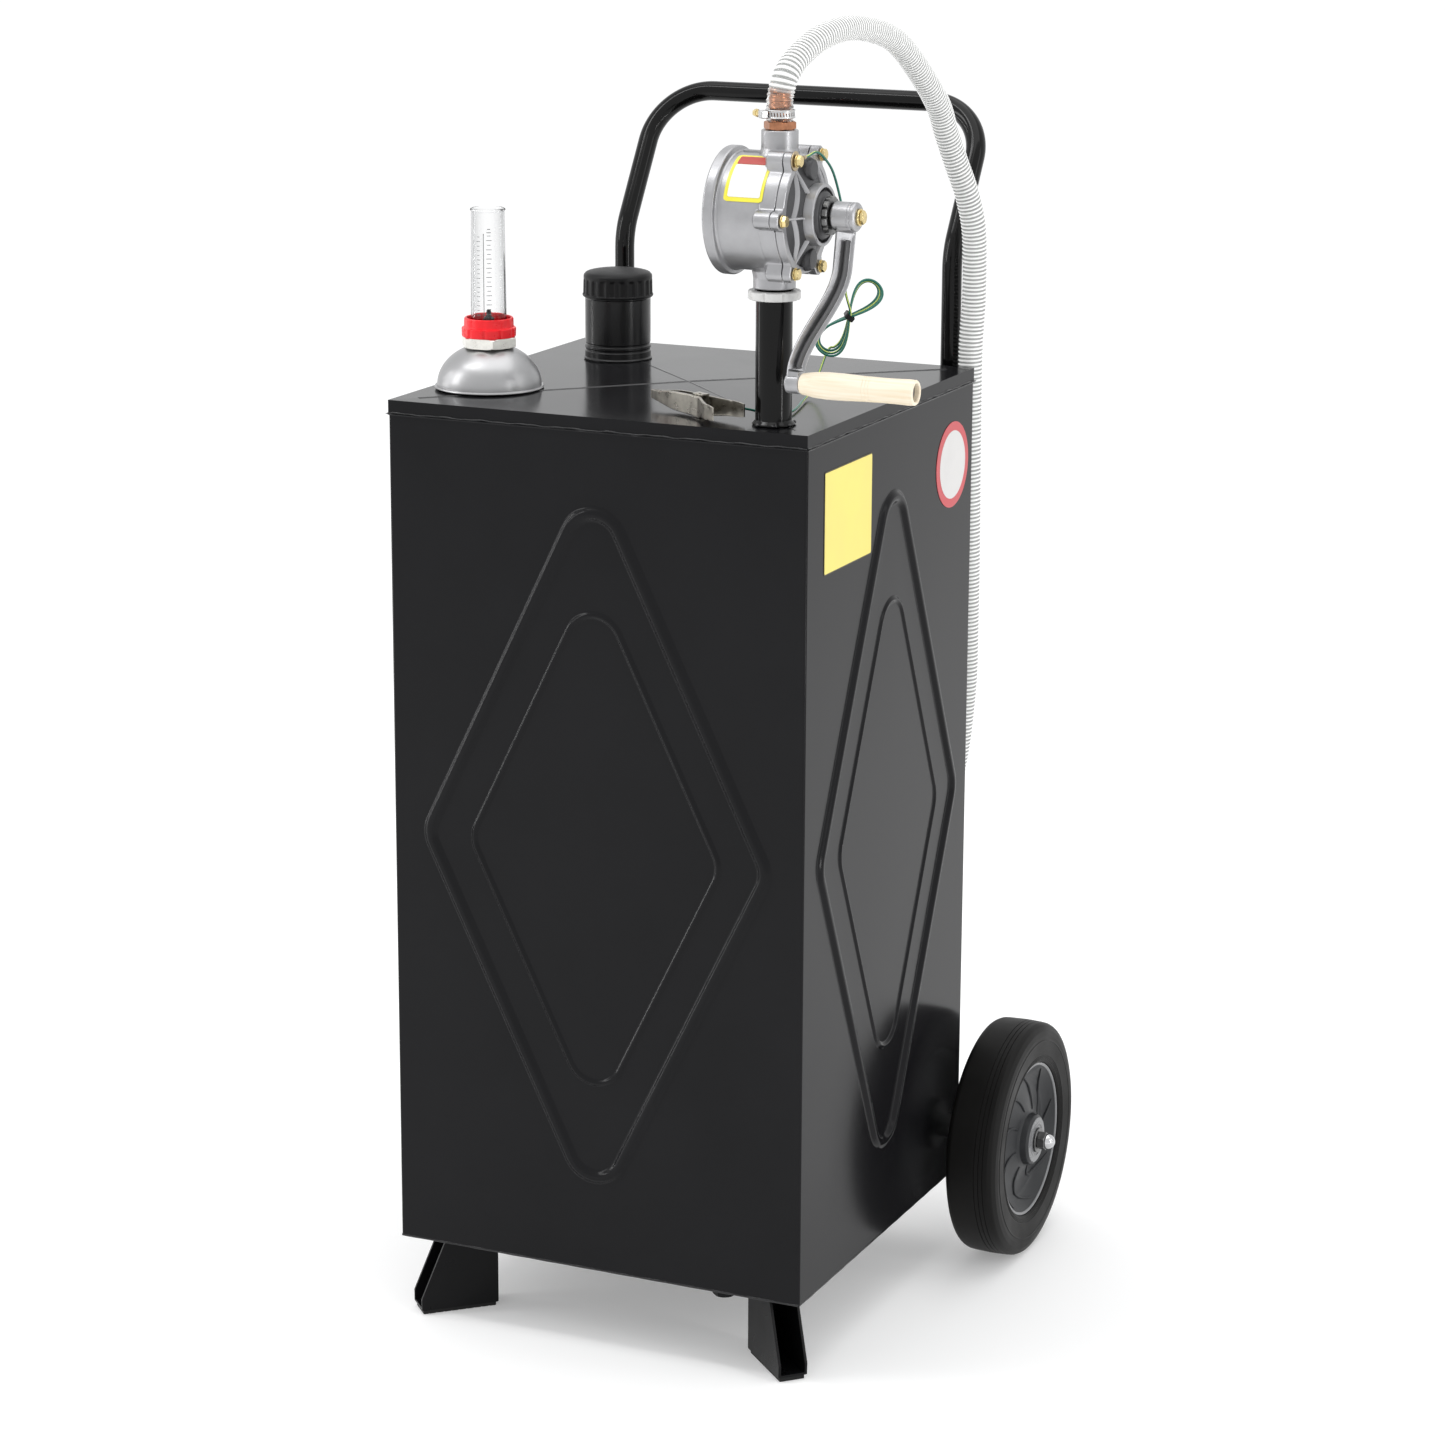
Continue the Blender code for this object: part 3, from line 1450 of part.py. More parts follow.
def make_grip(boss_low, boss_high):
    """The spindle through the boss, and the turned wooden grip that turns on it."""
    grip_low = boss_high + running_gap
    grip_high = grip_low + grip_length
    head_low = grip_high - grip_mouth_depth + seat_gap
    head_high = head_low + grip_mouth_depth / 2
    head = grip_mouth_radius * spindle_head_share
    rivet = spindle_radius * spindle_rivet_share
    rivet_low = boss_low - spindle_radius * spindle_rivet_depth_share
    spindle = turned(
        "grip_spindle",
        [
            (0, head_high),
            (head, head_high),
            (head, head_low),
            (spindle_radius, head_low),
            (spindle_radius, boss_low - seat_gap),
            (rivet, boss_low - seat_gap),
            (rivet, rivet_low),
            (0, rivet_low),
        ],
        small_steps,
    )
    place(shade(spindle), steel, crank_turn, location=(crank_radius, 0, 0))
    turn = add_empty("grip_axis", (crank_radius, 0, 0), crank_turn)
    outside = [(grip_radius * out, grip_low + grip_length * up) for up, out in grip_swell_shares]
    profile = outside + [(grip_end_radius, grip_low)]
    profile += [(grip_bore, grip_low), (grip_bore, grip_high - grip_mouth_depth)]
    profile += [(grip_mouth_radius, grip_high - grip_mouth_depth), (grip_mouth_radius, grip_high)]
    grip = turned("crank_grip", profile)
    return place(shade(grip), wood, turn)


# Hose fitting, clamp, hose, spout and holder


def barb_profile(low, high):
    """The saw-tooth outline of a hose barb, from its mouth down to its root."""
    points = []
    pitch = (high - low) / barb_ridges
    for index in range(barb_ridges):
        top = high - pitch * index
        points.append((barb_valley, top))
        points += [(barb_radius, top - pitch * share) for share in barb_land_shares]
    points.append((barb_valley, low))
    return points


def make_hose_barb():
    """The coppered fitting in the pump's top port: a hexagon, a thread below and a barb above."""
    here = (pump_x + top_port_shift, pump_y, 0)
    low = pump_z + top_port_height + seat_gap
    high = low + barb_hex_height
    hexagon = drum("hose_barb", barb_hex_radius, low, high, 6)
    place(hexagon, copper, location=here)
    thread = port_bore - running_gap
    profile = barb_profile(high, high + barb_length)
    profile += [(barb_valley, low + barb_hex_height / 2), (thread, low + barb_hex_height / 2)]
    profile += [(thread, low - barb_hex_height), (barb_bore, low - barb_hex_height)]
    profile += [(barb_bore, high + barb_length)]
    fuse(hexagon, place(turned("barb_stem", profile, small_steps), location=here))
    bore_low = low - cut_overrun
    bore = drum("barb_hole", barb_bore, bore_low, high + cut_overrun, small_steps)
    cut(hexagon, place(bore, location=here))
    return high


def make_hose_clamp(hex_top):
    """A worm clamp round the hose over the barb, with its screw to the left."""
    here = (pump_x + top_port_shift, pump_y, hex_top + clamp_lift)
    inner = hose_radius + running_gap
    band = ring("hose_clamp", inner + clamp_band, inner, 0, clamp_width)
    place(band, steel, location=here)
    reach = inner + clamp_band / 2
    housing = block(
        "clamp_housing",
        (-clamp_housing / 2, -reach - clamp_housing, clamp_width * clamp_inset_share),
        (clamp_housing / 2, -reach, clamp_width * (1 - clamp_inset_share)),
    )
    facing = (0, 0, clamp_heading)
    fuse(band, place(housing, location=here, rotation=facing))
    screw = drum("clamp_screw", clamp_screw_radius, 0, clamp_screw_length, 12)
    bake(screw, Matrix.Rotation(-math.pi / 2, 4, "Y"))
    middle = Matrix.Rotation(facing[2], 4, "Z") @ Vector((0, -reach - clamp_housing / 2, 0))
    spot = Vector(here) + middle + Vector((0, 0, clamp_width / 2))
    return fuse(band, place(screw, location=spot, rotation=facing))


def thinned(points, tolerance):
    """The points of a path that are needed to keep within a tolerance of it."""
    kept = [points[0]]
    start = 0
    for index in range(2, len(points)):
        chord = points[index] - points[start]
        skipped = [point - points[start] for point in points[start + 1 : index]]
        if max(chord.cross(point).length for point in skipped) > tolerance * chord.length:
            start = index - 1
            kept.append(points[start])
    return kept + [points[-1]]


def make_hose():
    """The ribbed hose, with a point on each rib and one between, and a plainer tube for its bore.
    It runs straight where the barbs are in it."""
    length = sum((Vector(b) - Vector(a)).length for a, b in zip(HOSE_ROUTE, HOSE_ROUTE[1:]))
    ribbed = smooth_path(HOSE_ROUTE, length / (2 * hose_ribs))
    valley_share = hose_valley / hose_radius
    radii = [1 if index % 2 else valley_share for index in range(len(ribbed))]
    hose = tube_mesh("hose", ribbed, hose_radius, 2, radii)
    place(hose, clear_hose)
    plain = thinned(ribbed, sheet / 2)
    start = plain[0] + (plain[0] - plain[1]).normalized() * cut_overrun
    end = plain[-1] + (plain[-1] - plain[-2]).normalized() * cut_overrun
    bore = tube_mesh("hose_bore", [start] + plain + [end], hose_bore, 2)
    return cut(hose, place(bore))


def bent_up(distance):
    """A point of the spout's middle line, by its distance from the hose's end: straight up, then
    an even bend to the left, then straight again."""
    arc = spout_bend_radius * spout_bend_angle
    rise = min(distance, spout_straight)
    turn = min(max(distance - spout_straight, 0), arc) / spout_bend_radius
    beyond = max(distance - spout_straight - arc, 0)
    x = spout_bend_radius * (1 - math.cos(turn)) + beyond * math.sin(spout_bend_angle)
    z = rise + spout_bend_radius * math.sin(turn) + beyond * math.cos(spout_bend_angle)
    return Vector((-x, 0, z))


def make_spout():
    """The steel spout on the hose's end: a barb in the hose, a collar, and a bent pipe. A clip
    behind the tank holds it."""
    end = Vector(spout_place)
    collar = ring(
        "hose_spout",
        spout_collar_radius,
        spout_bore,
        seat_gap,
        seat_gap + spout_collar_height,
        small_steps,
    )
    place(collar, zinc, location=end)
    profile = barb_profile(-barb_length, seat_gap + spout_collar_height / 2)
    profile += [(barb_bore, -barb_length), (barb_bore, seat_gap + spout_collar_height / 2)]
    fuse(collar, place(turned("spout_barb", profile, small_steps), location=end))
    root = seat_gap + spout_collar_height / 2
    arc = spout_bend_radius * spout_bend_angle
    total = spout_straight + arc + spout_reach
    distances = [root, spout_straight]
    bends = 3
    distances += [spout_straight + arc * (index + 1) / bends for index in range(bends)]
    distances.append(total)
    pipe = tube_mesh("spout_pipe", [bent_up(d) for d in distances], spout_radius)
    fuse(collar, place(pipe, location=end))
    inside = [bent_up(0)] + [bent_up(d) for d in distances[1:-1]] + [bent_up(total + cut_overrun)]
    hollow = tube_mesh("spout_hollow", inside, spout_bore)
    cut(collar, place(hollow, location=end))
    return end


def make_spout_holder(end):
    """A sprung steel clip on the tank's back, open to the rear, that the spout snaps into."""
    low = end.z + spout_collar_height + holder_height
    inner = spout_radius + running_gap
    outer = inner + holder_wall
    clip = ring("spout_holder", outer, inner, low, low + holder_height, small_steps)
    place(clip, steel, location=(end.x, end.y, 0))
    mouth = inner * holder_mouth_share
    opening = block(
        "holder_mouth",
        (-mouth, 0, low - cut_overrun),
        (mouth, outer + cut_overrun, low + holder_height + cut_overrun),
    )
    cut(clip, place(opening, location=(end.x, end.y, 0)))
    wall = rear_wall + seat_gap - end.y
    foot = block(
        "holder_foot",
        (-outer, wall, low),
        (outer, -inner - holder_wall / 2, low + holder_height),
    )
    return fuse(clip, place(foot, location=(end.x, end.y, 0)))


# Push handle


def handle_path():
    """The middle line of the handle: up the left leg, over its lean and corners, and down."""
    lean = Vector((0, math.sin(handle_lean), math.cos(handle_lean)))
    bend = Vector((0, handle_y, tank_top + handle_bend_height))
    foot = Vector((0, handle_y, tank_top - handle_leg_drop))
    half = handle_half_width
    bend_steps = 2
    bend_radius = handle_corner
    tangent = bend_radius * math.tan(handle_lean / 2)
    side = [foot]
    start = bend - Vector((0, 0, tangent))
    for index in range(bend_steps + 1):
        angle = handle_lean * index / bend_steps
        back = bend_radius * (1 - math.cos(angle))
        up = bend_radius * math.sin(angle)
        side.append(start + Vector((0, back, up)))
    corner_steps = 4
    corner_start = bend + lean * (handle_slope_length - handle_corner)
    left = [point - Vector((half, 0, 0)) for point in side]
    for index in range(corner_steps + 1):
        angle = math.pi / 2 * index / corner_steps
        across = handle_corner * (1 - math.cos(angle)) - half
        left.append(corner_start + lean * handle_corner * math.sin(angle) + Vector((across, 0, 0)))
    right = [Vector((-point.x, point.y, point.z)) for point in reversed(left)]
    return left + right


def make_push_handle():
    """The bent tube, and behind each leg a spacer bracket with the bolt that holds the leg to it."""
    handle = tube_mesh("push_handle", handle_path(), handle_radius, 3)
    place(shade(handle), black_satin)
    high = tank_top - bracket_top_drop
    low = high - bracket_height
    middle = (high + low) / 2
    back = handle_y - handle_radius * bracket_saddle_share
    for side, word in ((-1, "left"), (1, "right")):
        x = side * handle_half_width
        half = bracket_width / 2
        bracket = block(
            f"handle_bracket_{word}",
            (x - half, rear_wall + seat_gap, low),
            (x + half, back, high),
        )
        place(bracket, black_satin)
        saddle = drum(
            "bracket_saddle",
            handle_radius + seat_gap,
            low - cut_overrun,
            high + cut_overrun,
        )
        cut(bracket, place(saddle, location=(x, handle_y, 0)))
        hole_radius = handle_bolt_radius + seat_gap
        hole_end = handle_radius + cut_overrun
        start = rear_wall - handle_y
        hole = drum("handle_bolt_hole", hole_radius, start - cut_overrun, hole_end, bolt_steps)
        backwards = (-math.pi / 2, 0, 0)
        here = (x, handle_y, middle)
        cut(handle, place(hole, location=here, rotation=backwards))
        head_low = handle_radius + seat_gap
        head_high = head_low + handle_bolt_head_height
        bolt = turned(
            "handle_bolt",
            [
                (0, head_high),
                (handle_bolt_head * handle_bolt_top_share, head_high),
                (handle_bolt_head, head_low + handle_bolt_head_height * handle_bolt_edge_share),
                (handle_bolt_head, head_low),
                (handle_bolt_radius, head_low),
                (handle_bolt_radius, start + sheet),
                (0, start + sheet),
            ],
            bolt_steps,
        )
        fuse(bracket, place(bolt, location=here, rotation=backwards))


# Feet and drain plug


def make_feet():
    """Two channels across the front corners, open upwards and outwards, each on a rubber pad."""
    toe = foot_length
    high = ground_clearance - seat_gap
    pad_top = foot_pad
    low = pad_top + seat_gap
    outline = [(0, low), (toe, low), (toe, low + foot_toe_height), (foot_top_length, high), (0, high)]
    half = foot_width / 2
    for side, word in ((-1, "left"), (1, "right")):
        heading = -foot_angle if side > 0 else math.pi + foot_angle
        reach = Vector((math.cos(heading), math.sin(heading), 0)) * toe
        here = Vector((side * foot_toe_x, foot_toe_y, 0)) - reach
        turn = (0, 0, heading)
        prism = loft(f"foot_{word}", [[(x, y, z) for x, z in outline] for y in (-half, half)])
        place(prism, black_satin, location=here, rotation=turn)
        inner = half - foot_sheet
        channel = block(
            "foot_channel",
            (foot_sheet, -inner, low + foot_sheet),
            (toe + cut_overrun, inner, high + cut_overrun),
        )
        cut(prism, place(channel, location=here, rotation=turn))
        inset = foot_pad_inset
        pad = block(
            f"foot_pad_{word}",
            (inset, -half + inset, 0),
            (toe - inset, half - inset, pad_top),
        )
        place(pad, black_rubber, location=here, rotation=turn)


def make_drain_plug():
    """A hexagon plug under the tank's floor, with a washer and a stem through the floor."""
    here = (drain_x, drain_y, ground_clearance - seat_gap)
    head = drum("drain_plug", drain_head_radius, -drain_head_height - drain_washer, -drain_washer, 6)
    place(head, black_satin, location=here)
    stem_radius_here = drain_hole - running_gap
    stem = turned(
        "drain_stem",
        [
            (0, drain_stem),
            (stem_radius_here, drain_stem),
            (stem_radius_here, 0),
            (drain_washer_radius, 0),
            (drain_washer_radius, -drain_washer * 1.5),
            (0, -drain_washer * 1.5),
        ],
        small_steps,
    )
    return fuse(head, place(stem, location=here))


# Axle and wheels


def make_axle():
    """The bracket across the tank's back and the axle in its two ears."""
    low = axle_z - axle_bracket_drop
    high = axle_z + axle_bracket_rise
    front = rear_wall + seat_gap
    half = axle_bracket_half_width
    bracket = block("axle_bracket", (-half, front, low), (half, front + axle_bracket_reach, high))
    place(bracket, black_satin)
    ear = axle_bracket_sheet * 2
    inside = block(
        "bracket_inside",
        (-half + ear, front + axle_bracket_sheet, low - cut_overrun),
        (half - ear, front + axle_bracket_reach + cut_overrun, high + cut_overrun),
    )
    cut(bracket, place(inside))
    window = block(
        "bracket_window",
        (-half + ear, front - cut_overrun, axle_z - axle_radius - sheet),
        (half - ear, front + axle_bracket_sheet + cut_overrun / 2, high + cut_overrun),
    )
    cut(bracket, place(window))
    hole = drum("axle_hole", axle_radius + seat_gap, -half - cut_overrun, half + cut_overrun)
    cut(bracket, place(hole, location=(0, axle_y, axle_z), rotation=along_x))
    shoulder = wheel_inner_face - seat_gap
    thread = axle_radius * axle_thread_share
    outside = [(0, nut_seat + axle_nut_height), (thread, nut_seat + axle_nut_height)]
    outside += [(thread, nut_seat - running_gap), (axle_radius, nut_seat - running_gap)]
    outside += [(axle_radius, shoulder), (axle_shoulder_radius, shoulder)]
    beside = tank_width / 2 + 2 * running_gap
    outside += [(axle_shoulder_radius, beside), (axle_radius, beside)]
    profile = outside + [(radius, -x) for radius, x in reversed(outside)]
    axle = turned("axle", profile, small_steps)
    return place(shade(axle), steel, location=(0, axle_y, axle_z), rotation=along_x)


def tyre_profile(half):
    """The solid tyre: a flat tread, round shoulders and side walls that stand out a little."""
    bore = rim_radius + seat_gap
    shoulder = tyre_shoulder
    side = [
        (bore, half * tyre_bore_share),
        (rim_radius * tyre_wall_radius_share, half * tyre_wall_share),
        (tyre_radius - shoulder * tyre_bulge_share, half),
        (tyre_radius - shoulder * tyre_shoulder_share, half - shoulder * tyre_shoulder_share),
        (tyre_radius, half - shoulder),
    ]
    return side + [(radius, -height) for radius, height in reversed(side)]


def rim_profile(half):
    """The rim: two lips, a dished web and a hub that reaches nearly from face to face."""
    web = rim_web / 2
    hub = rim_hub_radius
    hub_half = tyre_width / 2
    face = hub * rim_hub_face_share
    outer = [
        (axle_radius + running_gap, hub_half),
        (face, hub_half),
        (hub * rim_hub_root_share, web),
        (rim_radius - rim_dish, web),
        (rim_radius - rim_lip, half),
        (rim_radius, half),
    ]
    profile = outer + [(radius, -height) for radius, height in reversed(outer)]
    profile[0] = (axle_radius + running_gap, hub_half + rim_hub_proud)
    profile[1] = (face, hub_half + rim_hub_proud)
    return profile


def make_wheels():
    """A wheel on each end of the axle. Each turns with the empty on its axis."""
    half = tyre_width / 2
    middle = wheel_inner_face + half
    first_tyre = None
    first_rim = None
    first_nut = None
    for side, word in ((-1, "left"), (1, "right")):
        turn = add_empty(f"{word}_wheel_axis", (side * middle, axle_y, axle_z), frame)
        facing = (0, side * math.pi / 2, 0)
        if first_tyre is None:
            first_tyre = turned(f"{word}_tyre", tyre_profile(half), wheel_steps)
            place(shade(first_tyre, math.radians(40)), black_rubber, turn, rotation=facing)
            first_rim = turned(f"{word}_rim", rim_profile(rim_width / 2), wheel_steps)
            place(shade(first_rim), rim_grey, turn, rotation=facing)
            first_nut = make_axle_nut(f"{word}_axle_nut")
            nut = first_nut
        else:
            copy_of(f"{word}_tyre", first_tyre, black_rubber, turn, rotation=facing)
            copy_of(f"{word}_rim", first_rim, rim_grey, turn, rotation=facing)
            nut = copy_of(f"{word}_axle_nut", first_nut)
        place(nut, chrome, location=(side * nut_seat, axle_y, axle_z), rotation=facing)


def make_axle_nut(name):
    """An acorn nut with its washer, made along Z from its seat outwards."""
    base = axle_washer + seat_gap
    reach = base + axle_nut_height
    bore = axle_radius * axle_thread_share + running_gap
    nut = place(drum(name, axle_nut_radius, base - axle_washer / 2, reach, 6), chrome)
    dome = axle_nut_radius * axle_cap_share
    crown = base + axle_cap_height
    rise = crown - reach
    cap = turned(
        "nut_cap",
        [
            (0, crown),
            *[(dome * out, reach + rise * up) for out, up in axle_cap_shares],
            (dome, reach - axle_washer),
            (dome, base),
            (axle_washer_radius, base),
            (axle_washer_radius, seat_gap),
            (0, seat_gap),
        ],
        small_steps,
    )
    bake_union(nut, cap)
    hole = place(drum("nut_bore", bore, -cut_overrun, reach - seat_gap, small_steps))
    cut(nut, hole)
    bake(nut, Matrix.Identity(4))
    bpy.data.objects.remove(hole, do_unlink=True)
    return shade(nut)


# Ground wire and clip


def make_terminal(lug_front):
    """The ring terminal under one bolt's head, with a short barrel that holds the wire's end. It
    gives the place where the wire starts and its heading."""
    angle = math.pi / 2 + 2 * math.pi * terminal_bolt / lug_count
    y = lug_circle * math.sin(angle)
    z = -lug_circle * math.cos(angle)
    low = lug_front + seat_gap
    here = (pump_x + low, pump_y + y, pump_z + z)
    hole = circle(bolt_shank_radius + running_gap, bolt_steps)
    outline = circle(terminal_radius, small_steps)
    plate = flat_solid("ring_terminal", [outline, hole], 0, terminal_thickness)
    place(plate, copper, location=here, rotation=along_x)
    start = Vector(here) + Vector((terminal_stand_off, terminal_reach, terminal_rise))
    heading = Vector((0, wire_lead, terminal_barrel_lift)).normalized()
    root = start - heading * (terminal_barrel + seat_gap)
    sleeve = wire_radius * terminal_sleeve_share
    barrel = tube_mesh("terminal_barrel", [root, start - heading * seat_gap], sleeve)
    fuse(plate, place(barrel))
    return start, heading


def hank_path():
    """The wound wire: loops in a figure of eight, each a little smaller and farther back."""
    facing = Matrix.Rotation(hank_heading, 3, "Z") @ Matrix.Rotation(math.pi / 2, 3, "X")
    lean = Matrix.Rotation(-hank_lean, 3, "Z")
    middle = Vector(hank_middle)
    turns = hank_loops + hank_end_share
    points = []
    for index in range(round(turns * hank_points) + 1):
        turn = index / hank_points
        angle = -math.pi / 2 - 2 * math.pi * turn
        across = (hank_lobe - hank_spread * turn) * math.sin(2 * angle)
        along = (hank_length / 2 - hank_spread * turn) * math.cos(angle)
        flat = lean @ Vector((across, along, 0))
        layer = hank_pitch * (turns / 2 - turn)
        points.append(middle + facing @ Vector((flat.x, flat.y, layer)))
    return points


def least_gap(points, radius):
    """The least gap of a tube to itself, between points more than three radii apart along it."""
    least = math.inf
    along = [0.0]
    for first, second in zip(points, points[1:]):
        along.append(along[-1] + (second - first).length)
    for index, point in enumerate(points):
        for other in range(index + 1, len(points)):
            if along[other] - along[index] > radius * 8:
                least = min(least, (points[other] - point).length - 2 * radius)
    return least



def make_ground_wire(start, heading, clip_end, clip_outward):
    """Two free stretches and the hank between them, from the terminal to the clip's handle."""
    loops = hank_path()
    first = (loops[1] - loops[0]).normalized()
    last = (loops[-1] - loops[-2]).normalized()
    print("hank's least gap to itself:", round(least_gap(loops, wire_radius) * 1000, 2), "mm")
    place(tube("ground_wire_hank", loops, wire_radius, 1), green_wire)
    reach = wire_lead + seat_gap
    upper = [start, start + heading * wire_lead] + WIRE_TOP_ROUTE
    upper += [loops[0] - first * reach, loops[0] - first * seat_gap]
    upper = smooth_path(upper, wire_radius * 10)
    place(tube("ground_wire_upper", upper, wire_radius, 2), green_wire)
    lower = [loops[-1] + last * seat_gap, loops[-1] + last * reach] + WIRE_FOOT_ROUTE
    lower += [clip_end + clip_outward * reach, clip_end + clip_outward * seat_gap]
    lower = smooth_path(lower, wire_radius * 10)
    place(tube("ground_wire_lower", lower, wire_radius, 2), green_wire)


def jaw_half(name, side):
    """One half of the clip, a bent strip: it runs from the handle's end past the pivot to the
    toothed tip. Local X points to the tip, Y is the clip's width and Z its height."""
    bend = clip_half_gap + clip_handle_spread * clip_bend_spread_share
    handle_end = (clip_half_gap + clip_handle_spread, clip_tip_height * clip_handle_end_share)
    stations = [(-clip_handle_length, *handle_end)]
    height = clip_body_height * clip_handle_height_share
    stations.append((-clip_handle_length * clip_bend_share, bend, height))
    for share, gap_share, height_share in clip_body_shares:
        x = (clip_jaw_length if share > 0 else clip_handle_length) * share
        stations.append((x, clip_half_gap * gap_share, clip_body_height * height_share))
    stations.append((clip_jaw_length * clip_taper_share, clip_half_gap * clip_neck_share, clip_tip_height))
    closed = (clip_sheet + seat_gap, clip_tip_height * clip_nose_height_share)
    stations.append((clip_jaw_length * clip_nose_share, *closed))
    stations.append((clip_jaw_length, *closed))
    sections = []
    for x, y, height in stations:
        half = height / 2
        sections.append(
            [
                (x, side * y, -half),
                (x, side * y, half),
                (x, side * (y - clip_sheet), half),
                (x, side * (y - clip_sheet), -half),
            ]
        )
    return loft(name, sections)


def make_clip():
    """The spring clip on its side: a fixed half with the pin, a half that turns on it, and the
    coiled spring round the pin."""
    seat = lid_height(clip_x, clip_y) + seat_gap * 2 + clip_body_height / 2 + clip_sheet
    here = (clip_x, clip_y, seat)
    base = add_empty("clip_frame", here, frame)
    base.rotation_euler = (math.pi, 0, clip_heading)
    fixed = place(jaw_half("clip_jaw_fixed", 1), nickel, base)
    ear = clip_half_gap
    inner_reach = clip_half_gap - clip_sheet - running_gap * 2
    across_share, up_share = clip_ear_shares
    top = clip_body_height / 2
    for side in (-1, 1):
        low = top if side > 0 else -top - clip_sheet
        outer = block("fixed_ear", (-ear, -ear / 2, low), (ear, clip_half_gap, low + clip_sheet))
        fuse(fixed, place(outer, parent=base))
        wall_low = (top - clip_sheet) if side > 0 else -top - clip_sheet
        web = block(
            "ear_web",
            (-ear, clip_half_gap - clip_sheet, wall_low),
            (ear, clip_half_gap, wall_low + clip_sheet * 2),
        )
        fuse(fixed, place(web, parent=base))
    pin = drum("clip_pin", clip_pin_radius, -top - clip_sheet / 2, top + clip_sheet / 2, 12)
    fuse(fixed, place(pin, parent=base))
    turn = add_empty("clip_axis", (0, 0, 0), base)
    moving = place(jaw_half("clip_jaw_moving", -1), nickel, turn)
    under = top - seat_gap
    for side in (-1, 1):
        low = under - clip_sheet if side > 0 else -under
        inner = block(
            "moving_ear",
            (-inner_reach * across_share, -clip_half_gap + clip_sheet / 2, low),
            (inner_reach * across_share, inner_reach * up_share, low + clip_sheet),
        )
        fuse(moving, place(inner, parent=turn))
    hole = drum("clip_pin_hole", clip_pin_radius + seat_gap, -top * 2, top * 2, 12)
    cut(moving, place(hole, parent=turn))
    coil = []
    count = clip_spring_turns * clip_spring_points
    height = (clip_spring_wire * 2 + running_gap * 2) * clip_spring_turns
    radius = clip_half_gap - clip_sheet - seat_gap - clip_spring_wire
    for index in range(count + 1):
        angle = 2 * math.pi * index / clip_spring_points
        rise = height * (index / count - 1 / 2)
        coil.append(Vector((radius * math.cos(angle), radius * math.sin(angle), rise)))
    print("clip spring's least gap to itself:", round(least_gap(coil, clip_spring_wire) * 1000, 2), "mm")
    place(tube("clip_spring", coil, clip_spring_wire, 1), steel, base)
    bpy.context.view_layer.update()
    turned_base = base.matrix_local
    wire_x = -clip_handle_length * (1 + clip_bend_share) / 2
    wire_y = clip_half_gap + clip_handle_spread * (1 + clip_bend_spread_share) / 2
    wire_end = turned_base @ Vector((wire_x, wire_y, 0))
    outward = turned_base.to_3x3() @ Vector((0, 1, 0))
    return wire_end, outward


# Building, from the tank outwards

crank_turn = add_empty("crank_axis", pump_axis, frame)
crank_turn.rotation_euler = (0, math.pi / 2, 0)
crank_turn.rotation_mode = "QUATERNION"
spun = Matrix.Rotation(crank_angle, 3, "X") @ Matrix.Rotation(math.pi / 2, 3, "Y")
crank_turn.rotation_quaternion = spun.to_quaternion()

make_tank_shell()
make_tank_lid()
neck, neck_top = make_filler_neck()
make_filler_cap(neck_top)
dome, dome_top = make_gauge_dome()
fitting_top, spigot_low = make_gauge_fitting(dome_top)
tube_low = make_gauge_tube(fitting_top)
make_gauge_works(spigot_low, tube_low)
pipe_top = make_stand_pipe()
suction_top = make_suction_tube(pipe_top)
make_pump_body(suction_top)
lug_front = make_pump_cover()
make_cover_bolts(lug_front)
make_packing_nut()
hub_front = make_crank()
make_rotor(hub_front - seat_gap)
barb_root = make_hose_barb()
make_hose_clamp(barb_root)
make_hose()
spout_end = make_spout()
make_spout_holder(spout_end)
make_push_handle()
make_feet()
make_drain_plug()
make_axle()
make_wheels()
wire_start, wire_heading = make_terminal(lug_front)
clip_end, clip_outward = make_clip()
make_ground_wire(wire_start, wire_heading, clip_end, clip_outward)
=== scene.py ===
"""Fuel caddy: the detailed pieces, finishes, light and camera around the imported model.

Lengths are in metres and +Z is up. Most places below are given from the middle of the tank, with
heights from the ground; spot() turns them into places in the scene. The last number of an
outline's corner, where it has one more than the others, is the radius that rounds it.
"""

import math

import bmesh
import bpy
from mathutils import Matrix, Vector


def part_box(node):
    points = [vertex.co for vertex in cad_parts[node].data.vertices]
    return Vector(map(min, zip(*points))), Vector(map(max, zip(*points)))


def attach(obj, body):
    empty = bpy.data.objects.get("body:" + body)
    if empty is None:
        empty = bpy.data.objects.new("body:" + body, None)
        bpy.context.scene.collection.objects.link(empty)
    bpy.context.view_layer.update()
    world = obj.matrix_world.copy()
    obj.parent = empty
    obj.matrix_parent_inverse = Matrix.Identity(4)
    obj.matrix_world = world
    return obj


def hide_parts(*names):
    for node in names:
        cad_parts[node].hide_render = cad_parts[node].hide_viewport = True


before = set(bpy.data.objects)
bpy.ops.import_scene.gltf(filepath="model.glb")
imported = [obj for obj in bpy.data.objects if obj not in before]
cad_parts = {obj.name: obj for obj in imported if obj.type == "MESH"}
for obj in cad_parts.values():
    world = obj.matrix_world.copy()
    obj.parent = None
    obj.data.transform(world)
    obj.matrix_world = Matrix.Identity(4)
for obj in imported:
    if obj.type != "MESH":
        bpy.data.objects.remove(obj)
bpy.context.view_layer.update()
scene = bpy.context.scene

# Sizes that several pieces share

